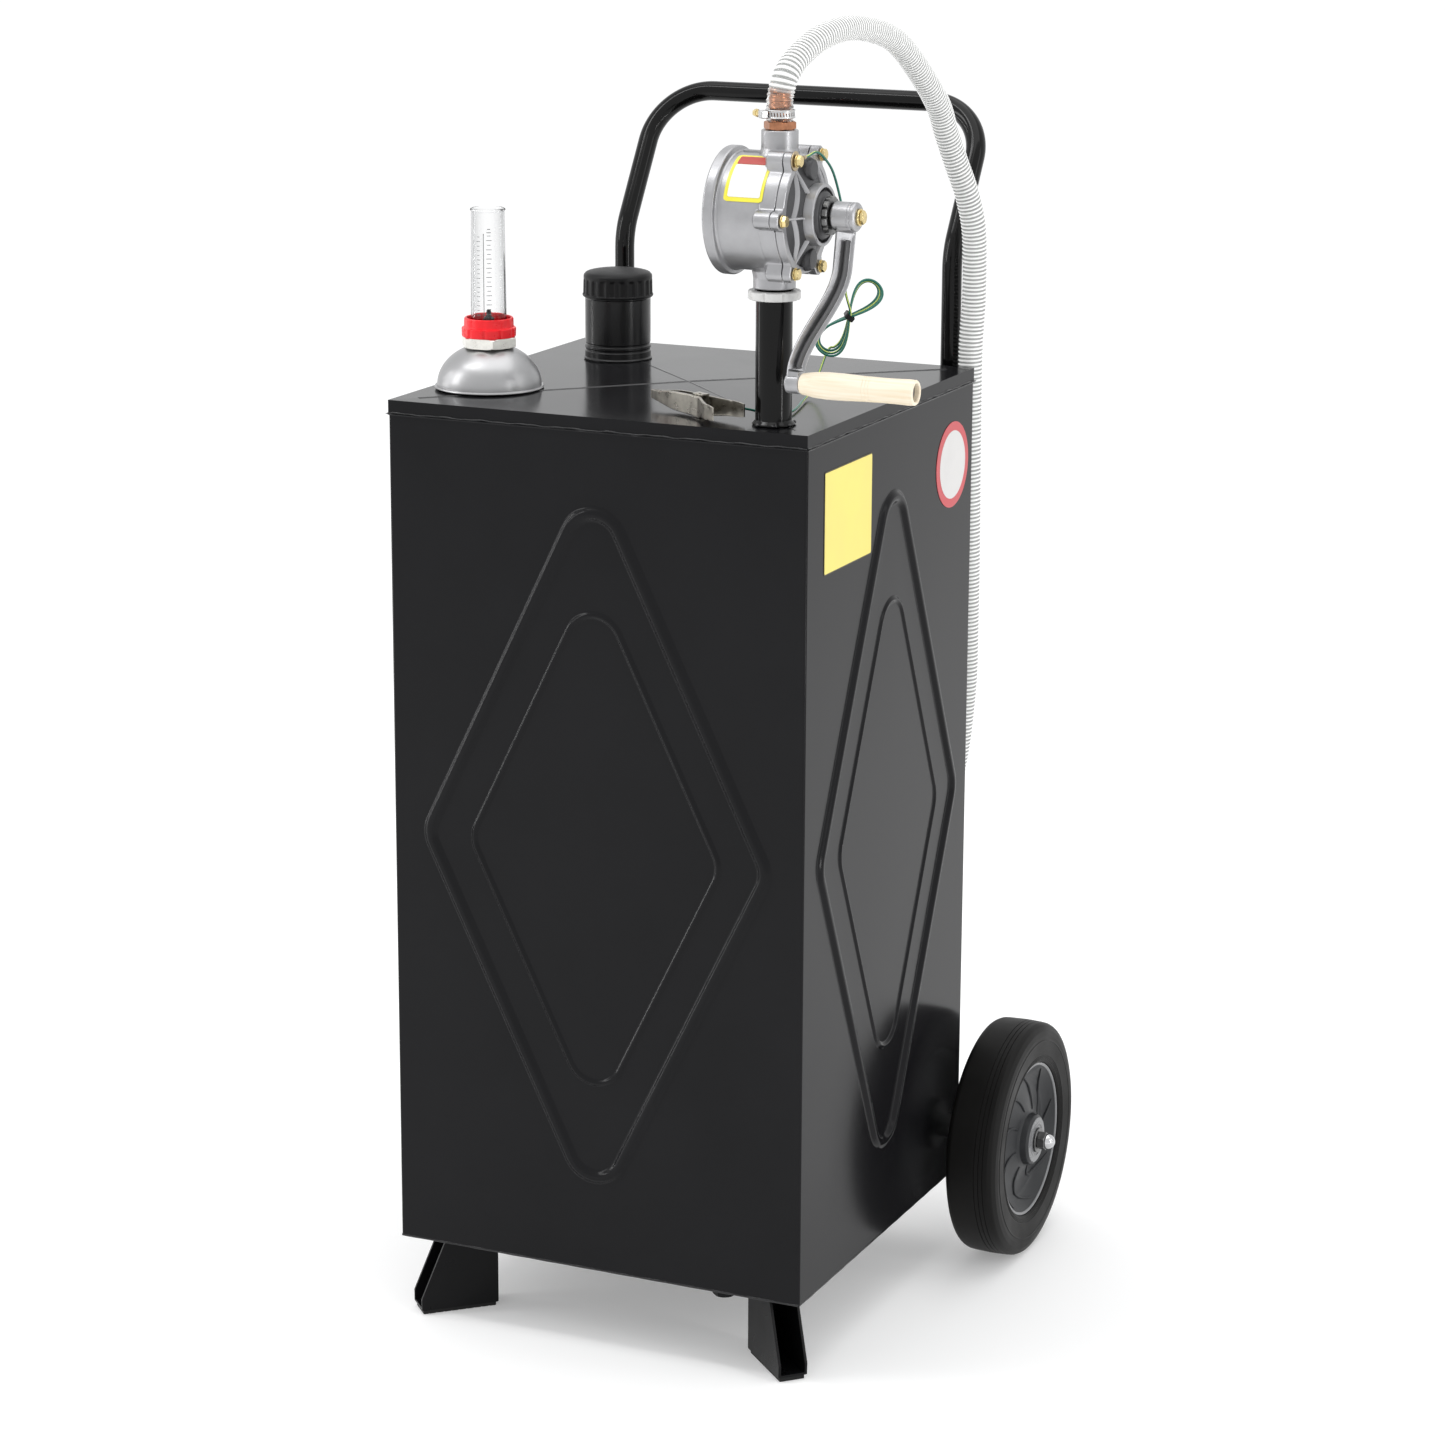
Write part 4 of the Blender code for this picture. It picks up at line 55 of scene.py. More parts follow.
middle_y = -0.04935
ground_clearance = 0.0795
tank_width = 0.415
tank_depth = 0.400
tank_top = 0.8895
lid_flange = 0.012
lid_rise = 0.002
pump_x = 0.159
pump_y = -0.164
pump_z = 1.0765
port_x = 0.163
port_top = 1.1484
lug_reach = 0.0560
crank_angle = -12
grip_reach = 0.146
axle_y = 0.209
axle_z = 0.1175
SIDES = ((-1, "left"), (1, "right"))


def spot(x, y, z):
    return Vector((x, y + middle_y, z))


# Frames that pieces are made in


def turned(degrees, axis):
    return Matrix.Rotation(math.radians(degrees), 4, axis)


def moved(x, y, z):
    return Matrix.Translation((x, y, z))


def upright(x, y, z):
    return Matrix.Translation(spot(x, y, z))


def along_x(x, y, z):
    """Local Z runs along the scene's X, local X runs down and local Y to the back."""
    return upright(x, y, z) @ turned(90, "Y")


pump_frame = along_x(pump_x, pump_y, pump_z)
crank_frame = upright(pump_x, pump_y, pump_z) @ turned(crank_angle, "X") @ turned(90, "Y")
clip_frame = moved(0.0845, -0.20885, 0.900905) @ turned(150, "Z") @ turned(180, "X")
XYZ_FROM_ZXY = Matrix(((0, 0, 1, 0), (1, 0, 0, 0), (0, 1, 0, 0), (0, 0, 0, 1)))
SWAP_Y_Z = Matrix(((1, 0, 0, 0), (0, 0, 1, 0), (0, 1, 0, 0), (0, 0, 0, 1)))


def low_of(node):
    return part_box(node)[0][2]


def high_of(node):
    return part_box(node)[1][2]


# Mesh tools


def angles(count):
    return [2 * math.pi * index / count for index in range(count)]


def polar(reach, angle, *height):
    return (reach * math.cos(angle), reach * math.sin(angle), *height)


def eased(share):
    return share * share * (3 - 2 * share)


def clamped(value, low=0.0, high=1.0):
    return min(max(value, low), high)


def softened(points, closed=False, count=4):
    """An outline whose corners are rounded. A corner is (a, b) or (a, b, radius)."""
    out = []
    last = len(points) - 1
    for index, point in enumerate(points):
        here = Vector(point[:2])
        radius = point[2] if len(point) > 2 else 0
        before = Vector(points[index - 1][:2]) - here
        after = Vector(points[(index + 1) % len(points)][:2]) - here
        plain = radius <= 0 or (not closed and index in (0, last))
        angle = math.pi if plain else before.angle(after)
        if angle > math.radians(176):
            out.append(here)
            continue
        reach = min(radius / math.tan(angle / 2), 0.48 * before.length, 0.48 * after.length)
        radius = reach * math.tan(angle / 2)
        before.normalize()
        after.normalize()
        centre = here + (before + after).normalized() * radius / math.sin(angle / 2)
        start = here + before * reach - centre
        whole = start.angle_signed(here + after * reach - centre)
        for step in range(count + 1):
            out.append(centre + Matrix.Rotation(-whole * step / count, 2) @ start)
    return out


def neighbours(rows, closed=False):
    pairs = list(zip(rows, rows[1:]))
    return pairs + [(rows[-1], rows[0])] if closed else pairs


def skin(bm, rows, closed=False):
    """Faces between neighbouring rings of vertices, over as many points as the first has."""
    count = len(rows[0])
    for first, second in neighbours(rows, closed):
        for index in range(count):
            nxt = (index + 1) % count
            bm.faces.new((first[index], first[nxt], second[nxt], second[index]))


def lathe(profile, steps=72, closed=False):
    """A turned body along local Z from (radius, height[, rounding]) corners."""
    bm = bmesh.new()
    rows = []
    for radius, height in softened(profile, closed):
        if radius < 1e-7:
            rows.append([bm.verts.new((0, 0, height))])
        else:
            rows.append([bm.verts.new(polar(radius, angle, height)) for angle in angles(steps)])
    for first, second in neighbours(rows, closed):
        for step in range(steps):
            nxt = (step + 1) % steps
            corners = [first[step % len(first)], first[nxt % len(first)]]
            corners += [second[nxt % len(second)], second[step % len(second)]]
            unique = list(dict.fromkeys(corners))
            if len(unique) > 2:
                bm.faces.new(unique)
    return bm


def tube(profile, steps=72):
    """A turned body whose outline is closed, so that it has a bore."""
    return lathe(profile, steps, closed=True)


def mirrored(outline):
    """The other half of a (radius, height[, rounding]) outline that is even about height 0."""
    return [(corner[0], -corner[1], *corner[2:]) for corner in reversed(outline)]


def lofted(rings, closed=False):
    """Skins a row of closed outlines that have equal numbers of points."""
    bm = bmesh.new()
    rows = [[bm.verts.new(point) for point in ring] for ring in rings]
    skin(bm, rows, closed)
    if not closed:
        bm.faces.new(rows[0])
        bm.faces.new(rows[-1])
    return bm


def bevelled(bm, edges, width, segments=2):
    edges = list(edges)
    bmesh.ops.bevel(bm, geom=edges, offset=width, segments=segments, affect="EDGES", profile=0.5)


def prism(outline, low, high, bevel=0.0, segments=2):
    """A flat outline raised along local Z, with its rims bevelled."""
    bm = bmesh.new()
    rows = [[bm.verts.new((x, y, height)) for x, y in outline] for height in (low, high)]
    ends = [bm.faces.new(rows[0][::-1]), bm.faces.new(rows[1])]
    skin(bm, rows)
    if bevel:
        bevelled(bm, {edge for end in ends for edge in end.edges}, bevel, segments)
    return bm


def box(low, high, bevel=0.0, segments=2):
    bm = bmesh.new()
    bmesh.ops.create_cube(bm, size=1)
    low = Vector(low)
    high = Vector(high)
    bmesh.ops.scale(bm, vec=high - low, verts=bm.verts)
    bmesh.ops.translate(bm, vec=(low + high) / 2, verts=bm.verts)
    if bevel:
        bevelled(bm, bm.edges, bevel, segments)
    return bm


def round_body(levels, reach_at, points, start=0.0, closed=False):
    """A body round local Z. reach_at gives its reach from an angle and a level's sizes."""

    def ring(height, *sizes):
        return [polar(reach_at(angle, *sizes), angle + start, height) for angle in angles(points)]

    return lofted([ring(*level) for level in levels], closed)


def nut_body(across, low, high, chamfer, points=96, start=0.0):
    """A hexagon whose corners are turned down at its faces. across is its corner radius."""
    turned_down = ((0, 1.9), (0.5, 0.8), (1, 0))
    levels = [(high - chamfer * down, across - chamfer * lost) for down, lost in turned_down]
    levels += [(low + chamfer * up, across - chamfer * lost) for up, lost in reversed(turned_down)]

    def reach_at(angle, limit):
        from_flat = angle % (math.pi / 3) - math.pi / 6
        return min(across * math.cos(math.pi / 6) / math.cos(from_flat), limit)

    return round_body(levels, reach_at, points, start)


def waved_drum(levels, waves, points, sharpness=1.0):
    """A drum whose sides wave. A level is (height, radius, depth of the waves)."""

    def reach_at(angle, radius, depth):
        wave = math.cos(waves * angle)
        return radius - depth * (1 - math.copysign(abs(wave) ** sharpness, wave)) / 2

    return round_body(levels, reach_at, points)


def frames_along(points):
    """Two crosswise directions at each point of a path, without twist."""
    out = []
    side = None
    for index in range(len(points)):
        ahead = points[min(index + 1, len(points) - 1)] - points[max(index - 1, 0)]
        ahead.normalize()
        if side is None:
            side = ahead.cross(Vector((0, 0, 1)) if abs(ahead.z) < 0.9 else Vector((1, 0, 0)))
        else:
            side = side - ahead * side.dot(ahead)
        side = side.normalized()
        out.append((side, ahead.cross(side)))
    return out


def travelled(points):
    """The way along a path up to each of its points."""
    out = [0.0]
    for first, second in zip(points, points[1:]):
        out.append(out[-1] + (second - first).length)
    return out


def swept(points, radii, sides=24):
    """A tube along a path. The UV map runs round it and, in metres, along it.

    radii is one radius, or one for each point: a number, or a function of the angle round it.
    """
    bm = bmesh.new()
    uv = bm.loops.layers.uv.new("UVMap")
    if not hasattr(radii, "__len__"):
        radii = [radii] * len(points)
    rows = []
    for (side, up), point, radius in zip(frames_along(points), points, radii):
        row = []
        for angle in angles(sides):
            here = radius(angle) if callable(radius) else radius
            row.append(bm.verts.new(point + (side * math.cos(angle) + up * math.sin(angle)) * here))
        rows.append(row)
    way = travelled(points)
    for index, (first, second) in enumerate(neighbours(rows)):
        for step in range(sides):
            nxt = (step + 1) % sides
            face = bm.faces.new((first[step], first[nxt], second[nxt], second[step]))
            around = [step / sides, (step + 1) / sides, (step + 1) / sides, step / sides]
            along = [way[index], way[index], way[index + 1], way[index + 1]]
            for loop, *place in zip(face.loops, around, along):
                loop[uv].uv = place
    bm.faces.new(rows[0][::-1])
    bm.faces.new(rows[-1])
    return bm


def smooth_path(route, spacing):
    """Evenly spaced points on a smooth curve through the points of a route."""
    knots = [Vector(point) for point in route]
    ends = [2 * knots[0] - knots[1]] + knots + [2 * knots[-1] - knots[-2]]
    fine = []
    for index in range(1, len(ends) - 2):
        before, start, end, after = ends[index - 1 : index + 3]
        for part in range(24):
            t = part / 24
            square = (2 * before - 5 * start + 4 * end - after) * t**2
            cube = (3 * start - before - 3 * end + after) * t**3
            fine.append((2 * start + (end - before) * t + square + cube) / 2)
    fine.append(knots[-1])
    way = travelled(fine)
    count = max(2, round(way[-1] / spacing))
    points = []
    near = 0
    for index in range(count + 1):
        wanted = way[-1] * index / count
        while near < len(fine) - 2 and way[near + 1] < wanted:
            near += 1
        share = (wanted - way[near]) / (way[near + 1] - way[near])
        points.append(fine[near].lerp(fine[near + 1], share))
    return points


def circle(radius, count=48, centre=(0, 0)):
    points = [polar(radius, angle) for angle in angles(count)]
    return [(centre[0] + x, centre[1] + y) for x, y in points]


def joined(*parts):
    """One bmesh from several, each given as a bmesh or as (bmesh, matrix)."""
    whole = bmesh.new()
    for part in parts:
        bm, matrix = part if isinstance(part, tuple) else (part, Matrix())
        bm.transform(matrix)
        mesh = bpy.data.meshes.new("part")
        bm.to_mesh(mesh)
        bm.free()
        whole.from_mesh(mesh)
        bpy.data.meshes.remove(mesh)
    return whole


def object_of(name, bm):
    """A bmesh as an object of the scene, with its faces turned outwards."""
    bmesh.ops.recalc_face_normals(bm, faces=bm.faces)
    mesh = bpy.data.meshes.new(name)
    bm.to_mesh(mesh)
    bm.free()
    obj = bpy.data.objects.new(name, mesh)
    scene.collection.objects.link(obj)
    return obj


def cut(target, *tools):
    """Takes tools out of a bmesh by exact Booleans and gives the result as a new one."""
    obj = object_of("target", target)
    helpers = [object_of("tool", tool) for tool in tools]
    for helper in helpers:
        boolean = obj.modifiers.new("boolean", "BOOLEAN")
        boolean.operation = "DIFFERENCE"
        boolean.solver = "EXACT"
        boolean.object = helper
    bpy.context.view_layer.update()
    graph = bpy.context.evaluated_depsgraph_get()
    result = bpy.data.meshes.new_from_object(obj.evaluated_get(graph))
    bm = bmesh.new()
    bm.from_mesh(result)
    bpy.data.meshes.remove(result)
    for item in helpers + [obj]:
        data = item.data
        bpy.data.objects.remove(item, do_unlink=True)
        bpy.data.meshes.remove(data)
    bmesh.ops.remove_doubles(bm, verts=bm.verts, dist=1e-6)
    return bm


SLOT_OF = {}


def piece(
    name, bm, finish, *nodes, place=Matrix(), body="caddy", slot=None, smooth=38, weighted=True
):
    """Turns a bmesh into a finished piece that rides on a body and hides the CAD nodes in its
    place.

    The slot, given or named by the finish, is not used.
    """
    bm.transform(place)
    obj = object_of(name, bm)
    obj.data.materials.append(finish)
    obj.data.shade_smooth()
    obj.data.set_sharp_from_angle(angle=math.radians(smooth))
    if weighted:
        normals = obj.modifiers.new("normals", "WEIGHTED_NORMAL")
        normals.keep_sharp = True
    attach(obj, body)
    slot or SLOT_OF[finish.name]
    if nodes:
        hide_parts(*nodes)
    return obj


# Finishes


def new_finish(name, slot):
    """A new material for a slot of the record, with its node tree and its shader."""
    material = bpy.data.materials.new(name)
    material.use_nodes = True
    SLOT_OF[material.name] = slot
    tree = material.node_tree
    return material, tree, tree.nodes["Principled BSDF"]


def fill(tree, node, inputs):
    """Sets a node's inputs. A value that is the output of another node is linked."""
    for socket, value in inputs.items():
        if isinstance(value, bpy.types.NodeSocket):
            tree.links.new(value, node.inputs[socket])
        else:
            node.inputs[socket].default_value = value


def add(tree, kind, inputs, output=0, **settings):
    """Adds a shader node and gives one of its outputs."""
    node = tree.nodes.new("ShaderNode" + kind)
    for key, value in settings.items():
        setattr(node, key, value)
    fill(tree, node, inputs)
    return node.outputs[output]


def noise(tree, place, scale, detail=2, **others):
    return add(tree, "TexNoise", {"Vector": place, "Scale": scale, "Detail": detail, **others})


def bumped(tree, height, distance, **others):
    return add(tree, "Bump", {"Height": height, "Distance": distance, "Strength": 1.0, **others})


def mixed(tree, share, first, second, **settings):
    return add(tree, "Mix", {"Factor": share, "A": first, "B": second}, "Result", **settings)


def math_node(tree, operation, *values):
    return add(tree, "Math", dict(enumerate(values)), operation=operation)


def spread(tree, value, low, high, start=0.0, end=1.0, **settings):
    """Maps a value that runs from start to end onto low to high."""
    inputs = {"Value": value, "From Min": start, "From Max": end, "To Min": low, "To Max": high}
    return add(tree, "MapRange", inputs, **settings)


def ramp(tree, value, *stops, interpolation="LINEAR"):
    """Colours by a value, from stops that are (position, colour)."""
    node = tree.nodes.new("ShaderNodeValToRGB")
    node.color_ramp.interpolation = interpolation
    elements = node.color_ramp.elements
    for index, (position, color) in enumerate(stops):
        element = elements[index] if index < 2 else elements.new(position)
        element.position = position
        element.color = (*color, 1)
    tree.links.new(value, node.inputs["Fac"])
    return node.outputs["Color"]


def finish_of(
    name, slot, color, rough, metallic=0.0, shade=0.12, patch=22.0, rough_spread=0.06, grain=900.0,
    grain_height=0.00002, wave=0.0, wave_scale=4.0, worn=None, specular=0.5,
):
    """A procedural finish: uneven colour and gloss, fine grain, slow waves, and pale convex edges
    as painted highlight.
    """
    material, tree, shader = new_finish(name, slot)
    place = add(tree, "TexCoord", {}, "Object")
    mottle = noise(tree, place, patch, 5, Roughness=0.6)
    dark = [channel * (1 - shade) for channel in color]
    light = [min(1, channel * (1 + shade)) for channel in color]
    tone = ramp(tree, mottle, (0.3, dark), (0.7, light))
    # Convex edges turned pale: painted highlight.
    if worn:
        edge = spread(tree, add(tree, "NewGeometry", {}, "Pointiness"), 0.0, 0.7, 0.52, 0.60)
        tone = mixed(tree, edge, tone, (*worn, 1), data_type="RGBA")
    normal = bumped(tree, noise(tree, place, grain), grain_height)
    if wave:
        swell = noise(tree, place, wave_scale, 1)
        normal = bumped(tree, swell, wave, Normal=normal)
    gloss = spread(tree, mottle, max(0.02, rough - rough_spread), rough + rough_spread, 0.3, 0.7)
    inputs = {"Base Color": tone, "Roughness": gloss, "Metallic": metallic}
    fill(tree, shader, {**inputs, "Specular IOR Level": specular, "Normal": normal})
    return material


gloss_black = finish_of(
    "gloss_black_enamel", "black_gloss_paint", (0.0078, 0.0078, 0.0087), 0.16, rough_spread=0.03,
    patch=7, grain=420, grain_height=0.000012, wave=0.0012, wave_scale=3.0, specular=0.12,
)
# The lid's enamel made paler along the raised creases: painted highlight.
crease_highlight_black = finish_of(
    "crease_enamel_painted_highlight", "black_gloss_paint", (0.020, 0.020, 0.021), 0.16, rough_spread=0.03,
    patch=7, grain=420, specular=0.30,
)
tube_black = finish_of(
    "tube_black_enamel", "black_satin_paint", (0.003, 0.003, 0.003), 0.12, patch=30, grain=500,
    specular=0.2, rough_spread=0.02, grain_height=0.000006,
)
satin_black = finish_of(
    "satin_black_paint", "black_satin_paint", (0.004, 0.004, 0.0045), 0.30, patch=30, grain=700,
    specular=0.13, rough_spread=0.05,
)
neck_black = finish_of(
    "neck_black_enamel", "black_satin_paint", (0.006, 0.006, 0.0065), 0.24, patch=40, grain=600,
    specular=0.28,
)
cap_black = finish_of(
    "moulded_black_plastic", "black_plastic", (0.008, 0.008, 0.0085), 0.42, patch=50, grain=1400,
    grain_height=0.00005, specular=0.16,
)
soft_black = finish_of(
    "black_rubber", "black_rubber", (0.008, 0.008, 0.008), 0.62, patch=40, grain=1500, specular=0.25
)
tyre_black = finish_of(
    "tyre_rubber", "tyre_rubber", (0.0055, 0.0052, 0.0050), 0.48, shade=0.25, patch=14,
    rough_spread=0.08, grain=1300, grain_height=0.00005, specular=0.13,
)
weld_black = finish_of(
    "painted_weld", "black_gloss_paint", (0.008, 0.008, 0.009), 0.14, patch=60, grain=180,
    grain_height=0.0005, specular=0.4,
)
cast_silver = finish_of(
    "silver_painted_casting", "cast_silver_paint", (0.36, 0.36, 0.37), 0.34, metallic=0.8,
    shade=0.07, patch=60, grain=1500, grain_height=0.00007, rough_spread=0.05,
)
# The cover's silver paint made far darker for the web and hub dish between the ribs: painted shade.
cast_silver_painted_shade = finish_of(
    "cover_silver_with_painted_shade", "cast_silver_paint", (0.060, 0.060, 0.063), 0.44, metallic=0.6,
    shade=0.14, patch=70, grain=1200, grain_height=0.0001, rough_spread=0.06,
)
arm_silver = finish_of(
    "silver_painted_arm", "cast_silver_paint", (0.36, 0.36, 0.37), 0.36, metallic=0.8, shade=0.10,
    patch=60, grain=1300, grain_height=0.00008,
)
# A dark strip on the floor of the arm's channel, much darker than the arm: painted shade in the
# recess.
channel_shade_paint = finish_of(
    "painted_channel_shade", "cast_silver_paint", (0.065, 0.065, 0.068), 0.45, metallic=0.3, shade=0.25,
    patch=50, grain=1300,
)
dome_silver = finish_of(
    "satin_silver_dome", "dome_silver", (0.37, 0.37, 0.375), 0.36, metallic=0.95, shade=0.02,
    patch=40, grain=2200, grain_height=0.00002, rough_spread=0.02,
)
white_ring = finish_of(
    "greyish_white_ring", "zinc", (0.62, 0.62, 0.61), 0.38, metallic=0.1, patch=100, grain=1300,
    shade=0.1,
)
pale_nut = finish_of(
    "pale_zinc_nut", "zinc", (0.80, 0.79, 0.74), 0.30, metallic=0.85, patch=120, grain=1600
)
rim_grey = finish_of(
    "moulded_grey_rim", "rim_grey", (0.022, 0.023, 0.025), 0.40, shade=0.12, patch=26, grain=1500,
    grain_height=0.00004, specular=0.3,
)
# The rim's grey made much paler for its hub and lip rings: painted highlight.
rim_highlight_grey = finish_of(
    "rim_edge_painted_highlight", "rim_grey", (0.17, 0.172, 0.178), 0.30, shade=0.1, patch=40
)
red_plastic = finish_of(
    "red_plastic", "red_plastic", (0.88, 0.012, 0.020), 0.30, shade=0.04, patch=90, grain=1300,
    specular=0.35,
)
white_plastic = finish_of("white_plastic", "white_plastic", (0.72, 0.72, 0.70), 0.45, patch=50)


def metal(name, slot, color, rough, shade, patch, grain, **others):
    return finish_of(name, slot, color, rough, 1.0, shade, patch, grain=grain, **others)


zinc = metal("bright_zinc", "zinc", (0.80, 0.80, 0.78), 0.26, 0.12, 120, 1600)
steel = metal("plain_steel", "steel", (0.52, 0.52, 0.52), 0.32, 0.12, 90, 1400)
dark_steel_and_painted_reflection = metal("dark_steel_and_painted_reflection", "steel", (0.16, 0.16, 0.16), 0.34, 0.12, 90, 1400)
chrome = metal("chrome", "chrome", (0.56, 0.56, 0.57), 0.08, 0.04, 22, 900, rough_spread=0.03)
yellow_zinc = metal("yellow_zinc", "yellow_zinc", (0.68, 0.55, 0.27), 0.28, 0.2, 260, 1600)
copper = metal("coppered_brass", "coppered_brass", (0.40, 0.18, 0.10), 0.20, 0.25, 180, 1400)
dull_brass = metal("dull_brass", "coppered_brass", (0.46, 0.37, 0.24), 0.36, 0.2, 200, 1400)
nickel = metal(
    "worn_nickel", "dark_nickel", (0.36, 0.34, 0.30), 0.30, 0.25, 110, 1300, worn=(0.66, 0.64, 0.58)
)


def film(name, slot, color, rough, shade, patch):
    return finish_of(name, slot, color, rough, shade=shade, patch=patch, grain=900)


side_plate_yellow = film("yellow_plate", "yellow_zinc", (0.80, 0.68, 0.16), 0.45, 0.05, 12)
pump_plate_white = film("white_film", "white_plastic", (0.80, 0.80, 0.80), 0.32, 0.03, 40)
pump_plate_yellow = film("yellow_film", "yellow_zinc", (0.82, 0.74, 0.06), 0.32, 0.04, 40)
pump_plate_red = film("red_film", "red_plastic", (0.42, 0.04, 0.03), 0.32, 0.06, 40)
round_plate_red = film("red_ring_film", "red_plastic", (0.52, 0.05, 0.06), 0.36, 0.05, 30)
round_plate_pale = film("pale_disc_film", "white_plastic", (0.62, 0.61, 0.60), 0.36, 0.04, 30)
plate_edge = finish_of(
    "dark_plate_edge", "black_gloss_paint", (0.05, 0.045, 0.02), 0.5, shade=0.1, patch=20
)
scale_grey = finish_of(
    "faint_grey_ink", "black_plastic", (0.16, 0.165, 0.17), 0.5, shade=0.2, patch=400
)


def wood_finish():
    """Cream turned wood: long grain along X with faint rings and pores."""
    material, tree, shader = new_finish("cream_wood", "wood")
    place = add(tree, "TexCoord", {}, "Object")
    stretched = add(tree, "Mapping", {"Vector": place, "Scale": (7, 150, 150)})
    fibre = noise(tree, stretched, 2.2, 6, Distortion=0.5)
    tone = ramp(tree, fibre, (0.32, (0.80, 0.68, 0.50)), (0.62, (0.88, 0.79, 0.64)))
    normal = bumped(tree, fibre, 0.00006)
    gloss = spread(tree, fibre, 0.38, 0.58)
    fill(tree, shader, {"Base Color": tone, "Roughness": gloss, "Normal": normal})
    return material


wood = wood_finish()


def tube_finish():
    """Clear plastic, a little darker where it is seen edge on as painted shade, whose haze varies a
    little.
    """
    material, tree, shader = new_finish("clear_tube", "clear_plastic")
    clear = 0.985
    shaded = (0.42 * clear, 0.43 * clear, 0.44 * clear)
    place = add(tree, "TexCoord", {}, "Object")
    haze = spread(tree, noise(tree, place, 60), 0, 0.06)
    edge = add(tree, "LayerWeight", {"Blend": 0.35}, "Facing")
    edge_shaded_tone = ramp(tree, edge, (0, (clear, clear, clear)), (0.85, shaded))
    inputs = {"Base Color": edge_shaded_tone, "Roughness": haze}
    fill(tree, shader, {**inputs, "Transmission Weight": 1.0, "IOR": 1.3})
    return material


clear_plastic = tube_finish()


def around_and_along(tree):
    """The two parts of a swept piece's UV map: the share round it and the metres along it."""
    node = tree.nodes.new("ShaderNodeSeparateXYZ")
    tree.links.new(add(tree, "UVMap", {}, uv_map="UVMap"), node.inputs["Vector"])
    return node.outputs["X"], node.outputs["Y"]


def hose_finish(pitch):
    """White spiral ribs in a clear wall, with a clear foot where the barb shows through."""
    material, tree, shader = new_finish("ribbed_clear_hose", "clear_hose")
    around, along = around_and_along(tree)
    spiral = math_node(tree, "SUBTRACT", math_node(tree, "DIVIDE", along, pitch), around)
    wave = math_node(tree, "COSINE", math_node(tree, "MULTIPLY", spiral, 2 * math.pi))
    rib = spread(tree, wave, 0, 1, -0.55, 0.45)
    tone = ramp(tree, rib, (0, (0.46, 0.47, 0.46)), (1, (0.96, 0.96, 0.95)))
    clear = spread(tree, rib, 0.40, 0.10)
    foot = spread(tree, along, 0, 1, 0.030, 0.024)
    inputs = {
        "Base Color": mixed(tree, foot, tone, (0.97, 0.96, 0.95, 1), data_type="RGBA"),
        "Transmission Weight": mixed(tree, foot, clear, 0.95),
        "Roughness": spread(tree, rib, 0.12, 0.30),
        "IOR": 1.35,
    }
    fill(tree, shader, inputs)
    return material


def wire_finish():
    """Green insulation with a yellow stripe that winds slowly round the wire."""
    material, tree, shader = new_finish("green_yellow_wire", "green_wire")
    around, along = around_and_along(tree)
    wound = math_node(tree, "ADD", around, math_node(tree, "MULTIPLY", along, 3.0))
    stops = ((0, (0.012, 0.135, 0.095)), (0.74, (0.55, 0.66, 0.13)), (0.90, (0.010, 0.115, 0.080)))
    tone = ramp(tree, math_node(tree, "FRACT", wound), *stops, interpolation="CONSTANT")
    patches = add(tree, "TexNoise", {"Scale": 300})
    fill(tree, shader, {"Base Color": tone, "Roughness": spread(tree, patches, 0.22, 0.42)})
    return material


green_wire = wire_finish()

# Camera

camera_data = bpy.data.cameras.new("camera")
camera_data.sensor_width = 36
camera_data.lens = 99.65
camera_data.clip_end = 200
camera = bpy.data.objects.new("camera", camera_data)
camera.location = (1.5560, -3.3878, 1.5159)
camera.rotation_euler = [math.radians(degrees) for degrees in (90 - 14.496, -0.26, 24.539)]
scene.collection.objects.link(camera)
scene.camera = camera

# Floor and light


def make_world():
    """Pale surroundings, seen brighter than they light."""
    world = bpy.data.worlds.new("studio")
    scene.world = world
    world.use_nodes = True
    tree = world.node_tree
    rays = tree.nodes.new("ShaderNodeLightPath").outputs
    seen = math_node(tree, "MAXIMUM", rays["Is Camera Ray"], rays["Is Glossy Ray"])
    seen = math_node(tree, "MAXIMUM", seen, rays["Is Transmission Ray"])
    inputs = {"Color": (0.99, 0.995, 1.0, 1), "Strength": spread(tree, seen, 0.80, 1.03)}
    fill(tree, tree.nodes["Background"], inputs)


def make_floor():
    """A pale floor that glows a little more away from the object, so that it is darker near the
    object as painted shade.
    """
    pale = (0.80, 0.80, 0.80, 1)
    bm = bmesh.new()
    bmesh.ops.create_grid(bm, x_segments=1, y_segments=1, size=60)
    floor = object_of("floor", bm)
    material, tree, shader = new_finish("pale_floor", None)
    place = add(tree, "TexCoord", {}, "Object")
    reach = add(tree, "VectorMath", {0: place}, "Value", operation="LENGTH")
    glow_with_painted_shade = spread(tree, reach, 0.32, 0.48, 0.6, 2.6, interpolation_type="SMOOTHSTEP")
    inputs = {"Base Color": pale, "Emission Color": pale, "Emission Strength": glow_with_painted_shade}
    fill(tree, shader, {**inputs, "Roughness": 0.9, "Specular IOR Level": 0.0})
    floor.data.materials.append(material)


def soft_light(name, place, target, size, power):
    data = bpy.data.lights.new(name, "AREA")
    data.shape = "RECTANGLE"
    data.size, data.size_y = size
    data.energy = power
    light = bpy.data.objects.new(name, data)
    light.location = place
    light.visible_camera = False
    toward = Vector(target) - Vector(place)
    light.rotation_euler = toward.to_track_quat("-Z", "Y").to_euler()
    scene.collection.objects.link(light)


